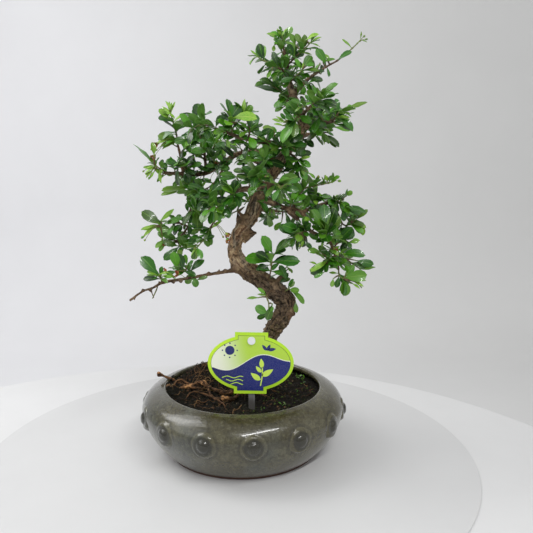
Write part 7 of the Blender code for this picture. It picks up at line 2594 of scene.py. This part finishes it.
@dataclass
class Label:
    """The oval label on its stake, printed with a sprout over a wavy field."""

    # Half the oval's width and height, and half the width and height with the step
    half: tuple = (40.5, 27.5)
    tab: tuple = (15.5, 30.0)
    thick: float = 1.2
    film: float = 0.05
    border: float = 3.3
    hole: float = 2.45
    tilt: float = 1.6
    lime: Paint = ink(196, 238, 46)
    lime_right: Paint = ink(186, 232, 42)
    lime_field: Paint = ink(186, 224, 70)
    pale: Paint = ink(246, 250, 228)
    dark: Paint = ink(52, 74, 48)
    navy: Paint = ink(14, 24, 96)
    navy_right: Paint = ink(18, 34, 116)
    sprout_inks: tuple = (ink(196, 234, 66), ink(208, 240, 90))
    sun_ink: Paint = ink(24, 38, 110)
    # The sprout's leaves and the small seedling's: (x, z, length, width, turn in degrees, curl)
    sprout_leaves: tuple = ((9.6, -16.0, 11.5, 5.2, 152, -0.12), (10.4, -12.0, 12.5, 5.6, 24, 0.12),
                            (10.4, -4.5, 9.5, 4.4, 92, 0.06), (10.2, -8.5, 8.0, 3.6, 138, -0.1))
    seedling: tuple = ((15.5, 13.2, 8.0, 3.4, 10), (14.8, 12.6, 7.0, 3.0, 64), (14.4, 12.9, 7.0, 3.0, 128))
    # The sun (x, z, radius), and its dots: how far from its middle, and their radius
    sun: tuple = (-20.0, 12.5, 4.4)
    ray: tuple = (6.9, 0.7)

    def outline(self, inset: float = 0.0) -> list[Point]:
        """The oval with a step at top and bottom.

        Args:
            inset: How far it is drawn in.

        Returns:
            Its points (x, z) about the label's middle.
        """
        wide, high, tab, top = (size - inset for size in (*self.half, *self.tab))
        start = math.acos(tab / wide)
        turns = [start - 2 * start * k / 40 for k in range(41)]
        right = [(wide * math.cos(t), high * math.sin(t)) for t in turns]
        upper = [(-tab, top), (tab, top)]
        return upper + right + [(-x, -z) for x, z in upper + right]

    def plate(self, name: str, shapes: Sequence[Sequence[Point]], front: float, thick: float,
              holed: bool = True) -> bpy.types.Object:
        """A flat closed plate of filled outlines, its front face at a depth in front of the label's.

        Args:
            name: The object's name.
            shapes: Closed outlines (x, z) about the label's middle.
            front: How far the front face stands before the label's own face.
            thick: How thick the plate is.
            holed: Whether the peg's hole goes through it.

        Returns:
            The object at the origin.
        """
        flat = bpy.data.curves.new(name, "CURVE")
        flat.dimensions = "2D"
        flat.fill_mode = "BOTH"
        flat.extrude = thick / 2 * MM
        pivot = PEG_HEIGHT - LABEL_MIDDLE[2]
        for shape in [*shapes, self.disc(0.0, pivot, self.hole, 24)] if holed else shapes:
            spline = flat.splines.new("POLY")
            spline.points.add(len(shape) - 1)
            for spot, (x, z) in zip(spline.points, shape):
                spot.co = (x * MM, z * MM, 0.0, 1.0)
            spline.use_cyclic_u = True
        item = as_mesh(name, flat)
        x, z, y = points_of(item).T
        turn = math.radians(-self.tilt)
        x, z = (x * math.cos(turn) - (z - pivot) * math.sin(turn),
                pivot + x * math.sin(turn) + (z - pivot) * math.cos(turn))
        face = LABEL_MIDDLE[1] - self.thick / 2 - front
        set_points(item, np.column_stack((LABEL_MIDDLE[0] + x, face + thick / 2 - y, LABEL_MIDDLE[2] + z)))
        outward_faces(item, 1e-7)
        return item

    @staticmethod
    def shore(x: float, lift: float) -> float:
        """Height of the wavy edge of the dark field."""
        return 1.5 + 5.2 * math.sin(0.105 * x + 0.6) + 0.16 * x + lift

    def cut_field(self, inset: float, lift: float) -> list[Point]:
        """The part of the inner field under the wavy edge.

        Args:
            inset: How far the field is drawn in from the label's own outline.
            lift: How much higher than its place the wavy edge is.

        Returns:
            The part's outline.
        """
        rim = self.outline(inset)
        fine = []
        for a, b in zip(rim, rim[1:] + rim[:1]):
            steps = max(int(math.dist(a, b) / 0.8), 1)
            fine += [tuple(p + (q - p) * k / steps for p, q in zip(a, b)) for k in range(steps)]
        under = [z < self.shore(x, lift) for x, z in fine]
        first = next(k for k in range(len(fine)) if under[k] and not under[k - 1])
        order = [(first + k) % len(fine) for k in range(len(fine))]
        ring = [fine[k] for k in order if under[k]]
        wave = [(x, self.shore(x, lift)) for x in np.linspace(ring[-1][0], ring[0][0], 60)[1:-1]]
        return ring + wave

    @staticmethod
    def leaf_shape(x: float, z: float, length: float, wide: float, turn: float,
                   curl: float = 0.0) -> list[Point]:
        """Outline of a pointed leaf.

        Args:
            x: Where it starts, across.
            z: Where it starts, upwards.
            length: Its length.
            wide: Its width.
            turn: Which way it points, in degrees.
            curl: How much it bends, for its length.

        Returns:
            The outline.
        """
        right, left = [], []
        for k in range(15):
            s = k / 14
            half = wide * math.sin(math.pi * s ** 0.8) ** 0.9 / 2 if 0 < k < 14 else 0.0
            along, off = s * length, curl * length * s * s
            right.append((along, off - half))
            left.append((along, off + half))
        ring = right + left[-2:0:-1]
        c, n = math.cos(math.radians(turn)), math.sin(math.radians(turn))
        return [(x + a * c - b * n, z + a * n + b * c) for a, b in ring]

    @staticmethod
    def disc(x: float, z: float, radius: float, count: int = 32) -> list[Point]:
        """Outline of a disc."""
        turns = [2 * math.pi * k / count for k in range(count)]
        return [(x + radius * math.cos(t), z + radius * math.sin(t)) for t in turns]

    @staticmethod
    def band(path: Sequence[Point], wide: float) -> list[Point]:
        """Outline of a line of even width along a path."""
        row = np.array(path, dtype=float)
        ahead = np.gradient(row, axis=0)
        ahead /= np.linalg.norm(ahead, axis=1)[:, None]
        off = np.column_stack((-ahead[:, 1], ahead[:, 0])) * wide / 2
        return [tuple(p) for p in np.vstack((row + off, (row - off)[::-1]))]

    def motif(self, name: str, shapes: Sequence[list[Point]], level: int, inks: tuple[Paint, Paint]) -> None:
        """Print several outlines as one piece, each in its own closed film.

        Args:
            name: What the motif shows.
            shapes: Its outlines.
            level: How many films lie under it.
            inks: Its colours at the left and right.
        """
        films = [self.plate(name, [shape], self.film * level, self.film * 1.6, False) for shape in shapes]
        put(joined(f"label_{name}", films), Print(f"{name}_print", *inks).made())

    def build(self) -> None:
        """The plate, its printed layers, and the stake's better finish."""
        plate = self.plate("label_plate", [self.outline()], 0.0, self.thick)
        applied(plate, "BEVEL", width=0.15 * MM, segments=2, limit_method="ANGLE")
        softened(plate, 40)
        put(plate, Print("lime_border", self.lime, self.lime_right).made(), ("label",))
        layers = (("label_line", self.outline(self.border - 0.35), self.dark, self.dark),
                  ("label_field", self.outline(self.border), self.pale, self.lime_field),
                  ("label_shore", self.cut_field(self.border, 0.7), self.pale, self.pale),
                  ("label_navy", self.cut_field(self.border, 0.0), self.navy, self.navy_right))
        for level, (name, shape, left, right) in enumerate(layers, 1):
            item = self.plate(name, [shape], self.film * level, self.film * 1.6)
            put(item, Print(name + "_print", left, right, (-0.034, 0.002)).made())
        stem = [(9.5 + 1.6 * math.sin(0.12 * t), -22.0 + t) for t in np.linspace(0, 18.5, 16)]
        ripples = [[(x, -13.5 - 3.2 * k + 0.9 * math.sin(0.5 * x + k))
                    for x in np.linspace(4 * k - 27, -7, 26)] for k in range(3)]
        sprout = [self.band(stem, 1.1), *(self.leaf_shape(*leaf) for leaf in self.sprout_leaves)]
        self.motif("sprout", sprout + [self.band(ripple, 0.7) for ripple in ripples], 5, self.sprout_inks)
        x, z, _ = self.sun
        away, size = self.ray
        rays = [self.disc(x + away * math.cos(t), z + away * math.sin(t), size, 16)
                for t in (0.0, *np.linspace(0.785, 5.5, 7))]
        sun = [self.disc(*self.sun), *(self.leaf_shape(*leaf) for leaf in self.seedling), *rays]
        self.motif("sun", sun, 3, (self.sun_ink, self.sun_ink))
        dressed(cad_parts["label_stake"], ClearPlastic().made())


@dataclass
class Studio:
    """Pale round table with a thin turning plate, pale backdrop, soft lights and the camera."""

    table_radius: float = 446.5
    table_middle: tuple = (-63, -190)
    table_thick: float = 20.0
    table_paint: Paint = ink(226, 226, 226)
    plate_radius: float = 240.0
    plate_middle: tuple = (-14, -22)
    plate_thick: float = 1.2
    plate_paint: Paint = ink(214, 214, 214)
    plate_top: float = -0.2
    # The backdrop, in metres
    sheet: float = 16.0
    sheet_height: float = -0.30
    wall_away: float = 1.1
    wall_bend: float = 0.4
    wall_high: float = 3.0
    # Lights: name, place, aim, sizes, watts and roll about their own axis in degrees
    lamps: tuple = (("key", (0.34, -0.86, 1.12), (0.0, 0.0, 0.10), (1.0, 0.055), 8.0, 20.0),
                    ("window", (-1.2, -0.45, 0.85), (0.0, 0.0, 0.15), (0.9, 0.9), 2.6, 0.0),
                    ("fill", (1.2, -0.5, 0.8), (0.0, 0.0, 0.2), (1.0, 1.0), 0.4, 0.0),
                    ("top", (-0.95, 0.20, 1.12), (0.0, 0.05, 0.0), (0.9, 0.9), 6.0, 0.0),
                    ("wall", (-1.0, 0.3, 1.1), (-0.3, 1.4, 0.3), (0.8, 0.8), 5.0, 0.0))
    sky: Paint = (0.985, 0.99, 1.0, 1.0)
    sky_strength: float = 0.52
    sensor: float = 36.0
    lens: float = 43.9
    camera_turn: tuple = (79.7, 0.0, -2.16)

    @staticmethod
    def round_top(name: str, middle: Point, radius: float, top: float, thick: float, paint: Paint,
                  rough: float) -> None:
        """A round top with a rounded edge, slightly smudged.

        Args:
            name: The object's name.
            middle: Where its axis stands.
            radius: Its radius.
            top: The height of its upper face.
            thick: Its thickness.
            paint: Its colour.
            rough: How dull it is.
        """
        item = turned(name, ((radius, top - thick), (radius, top)), 256, middle)
        applied(item, "BEVEL", width=thick * 0.35 * MM, segments=3, limit_method="ANGLE")
        softened(item, 40)
        s = Shade(name + "_finish")
        smudge = s.noise(9, 4, 0.6)
        marks = s.noise(160, 3, 0.7).rise(0.70, 0.80)
        colour = s.mix(smudge.rise(0.3, 0.7), paint, tuple(c * 0.97 for c in paint[:3]) + (1.0,))
        colour = s.mix(marks * 0.12, colour, ink(170, 160, 150))
        dressed(item, s.dress(Base_Color=colour, Roughness=smudge * 0.1 + rough))

    def backdrop(self) -> None:
        """One plain sheet: a floor far below that curves up into a wall."""
        nothing_picked()
        bpy.ops.mesh.primitive_plane_add(size=self.sheet, location=(0, 0, self.sheet_height))
        item = bpy.context.object
        item.name = "backdrop"
        grounded(item)
        bends = [k * math.pi / 16 for k in range(9)]
        steps = [(0, self.wall_bend * (math.sin(high) - math.sin(low)),
                  self.wall_bend * (math.cos(low) - math.cos(high))) for low, high in zip(bends, bends[1:])]
        with editing(item):
            choose(item, lambda co: co.y > 1.0)
            bpy.ops.transform.translate(value=(0, self.wall_away - self.sheet / 2, 0))
            for step in (*steps, (0, 0, self.wall_high)):
                bpy.ops.mesh.extrude_region_move(TRANSFORM_OT_translate={"value": step})
        outward_faces(item)
        softened(item, 60)
        s = Shade("paper_backdrop")
        across, _, _ = s.parts()
        # Darker towards the right: painted shade.
        colour = s.mix(across.rise(-0.75, 0.75), ink(234, 234, 236), ink(224, 224, 223))
        colour = s.mix(s.noise(6, 3).rise(0.2, 0.8) * 0.04, colour, ink(150, 150, 150))
        dressed(item, s.dress(Base_Color=colour, Roughness=0.9))

    @staticmethod
    def lamp(name: str, place: Point, aim: Point, size: Point, watts: float, roll: float) -> None:
        """A rectangular soft light.

        Args:
            name: The light's name.
            place: Where it hangs.
            aim: The point that it shines at.
            size: Its two sides.
            watts: Its power.
            roll: The turn about its own axis, in degrees.
        """
        light = bpy.data.lights.new(name, "AREA")
        light.shape = "RECTANGLE"
        light.size, light.size_y = size
        light.energy = watts
        item = bpy.data.objects.new(name, light)
        item.location = place
        facing = (Vector(aim) - Vector(place)).to_track_quat("-Z", "Y")
        item.rotation_euler = (facing @ Quaternion((0, 0, 1), math.radians(roll))).to_euler()
        bpy.context.scene.collection.objects.link(item)

    def camera(self) -> None:
        """The camera where the photograph's viewer stood."""
        lens = bpy.data.cameras.new("viewer")
        lens.sensor_width = self.sensor
        lens.lens = self.lens
        item = bpy.data.objects.new("viewer", lens)
        item.location = (0.0, -EYE_AWAY * MM, EYE_UP * MM)
        item.rotation_euler = [math.radians(turn) for turn in self.camera_turn]
        bpy.context.scene.collection.objects.link(item)
        bpy.context.scene.camera = item

    def build(self) -> None:
        """Set the stage."""
        self.round_top("turning_plate", self.plate_middle, self.plate_radius, self.plate_top,
                       self.plate_thick, self.plate_paint, 0.45)
        self.round_top("table", self.table_middle, self.table_radius, self.plate_top - self.plate_thick,
                       self.table_thick, self.table_paint, 0.40)
        self.backdrop()
        self.camera()
        for lamp in self.lamps:
            self.lamp(*lamp)
        world = bpy.data.worlds.new("studio")
        world.use_nodes = True
        sky = world.node_tree.nodes["Background"].inputs
        sky[0].default_value = self.sky
        sky[1].default_value = self.sky_strength
        bpy.context.scene.world = world
        bpy.context.scene.view_settings.view_transform = "Standard"


def main() -> None:
    """Build every assembly in order."""
    logging.basicConfig(level=logging.INFO, format="%(message)s")
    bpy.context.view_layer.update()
    for assembly in (Studio(), Pot(), Soil(), Wood(), Crown(), Blossoms(), Label()):
        began = time.perf_counter()
        assembly.build()
        LOG.info("%s in %.1f s", type(assembly).__name__, time.perf_counter() - began)


if __name__ == "__main__":
    main()
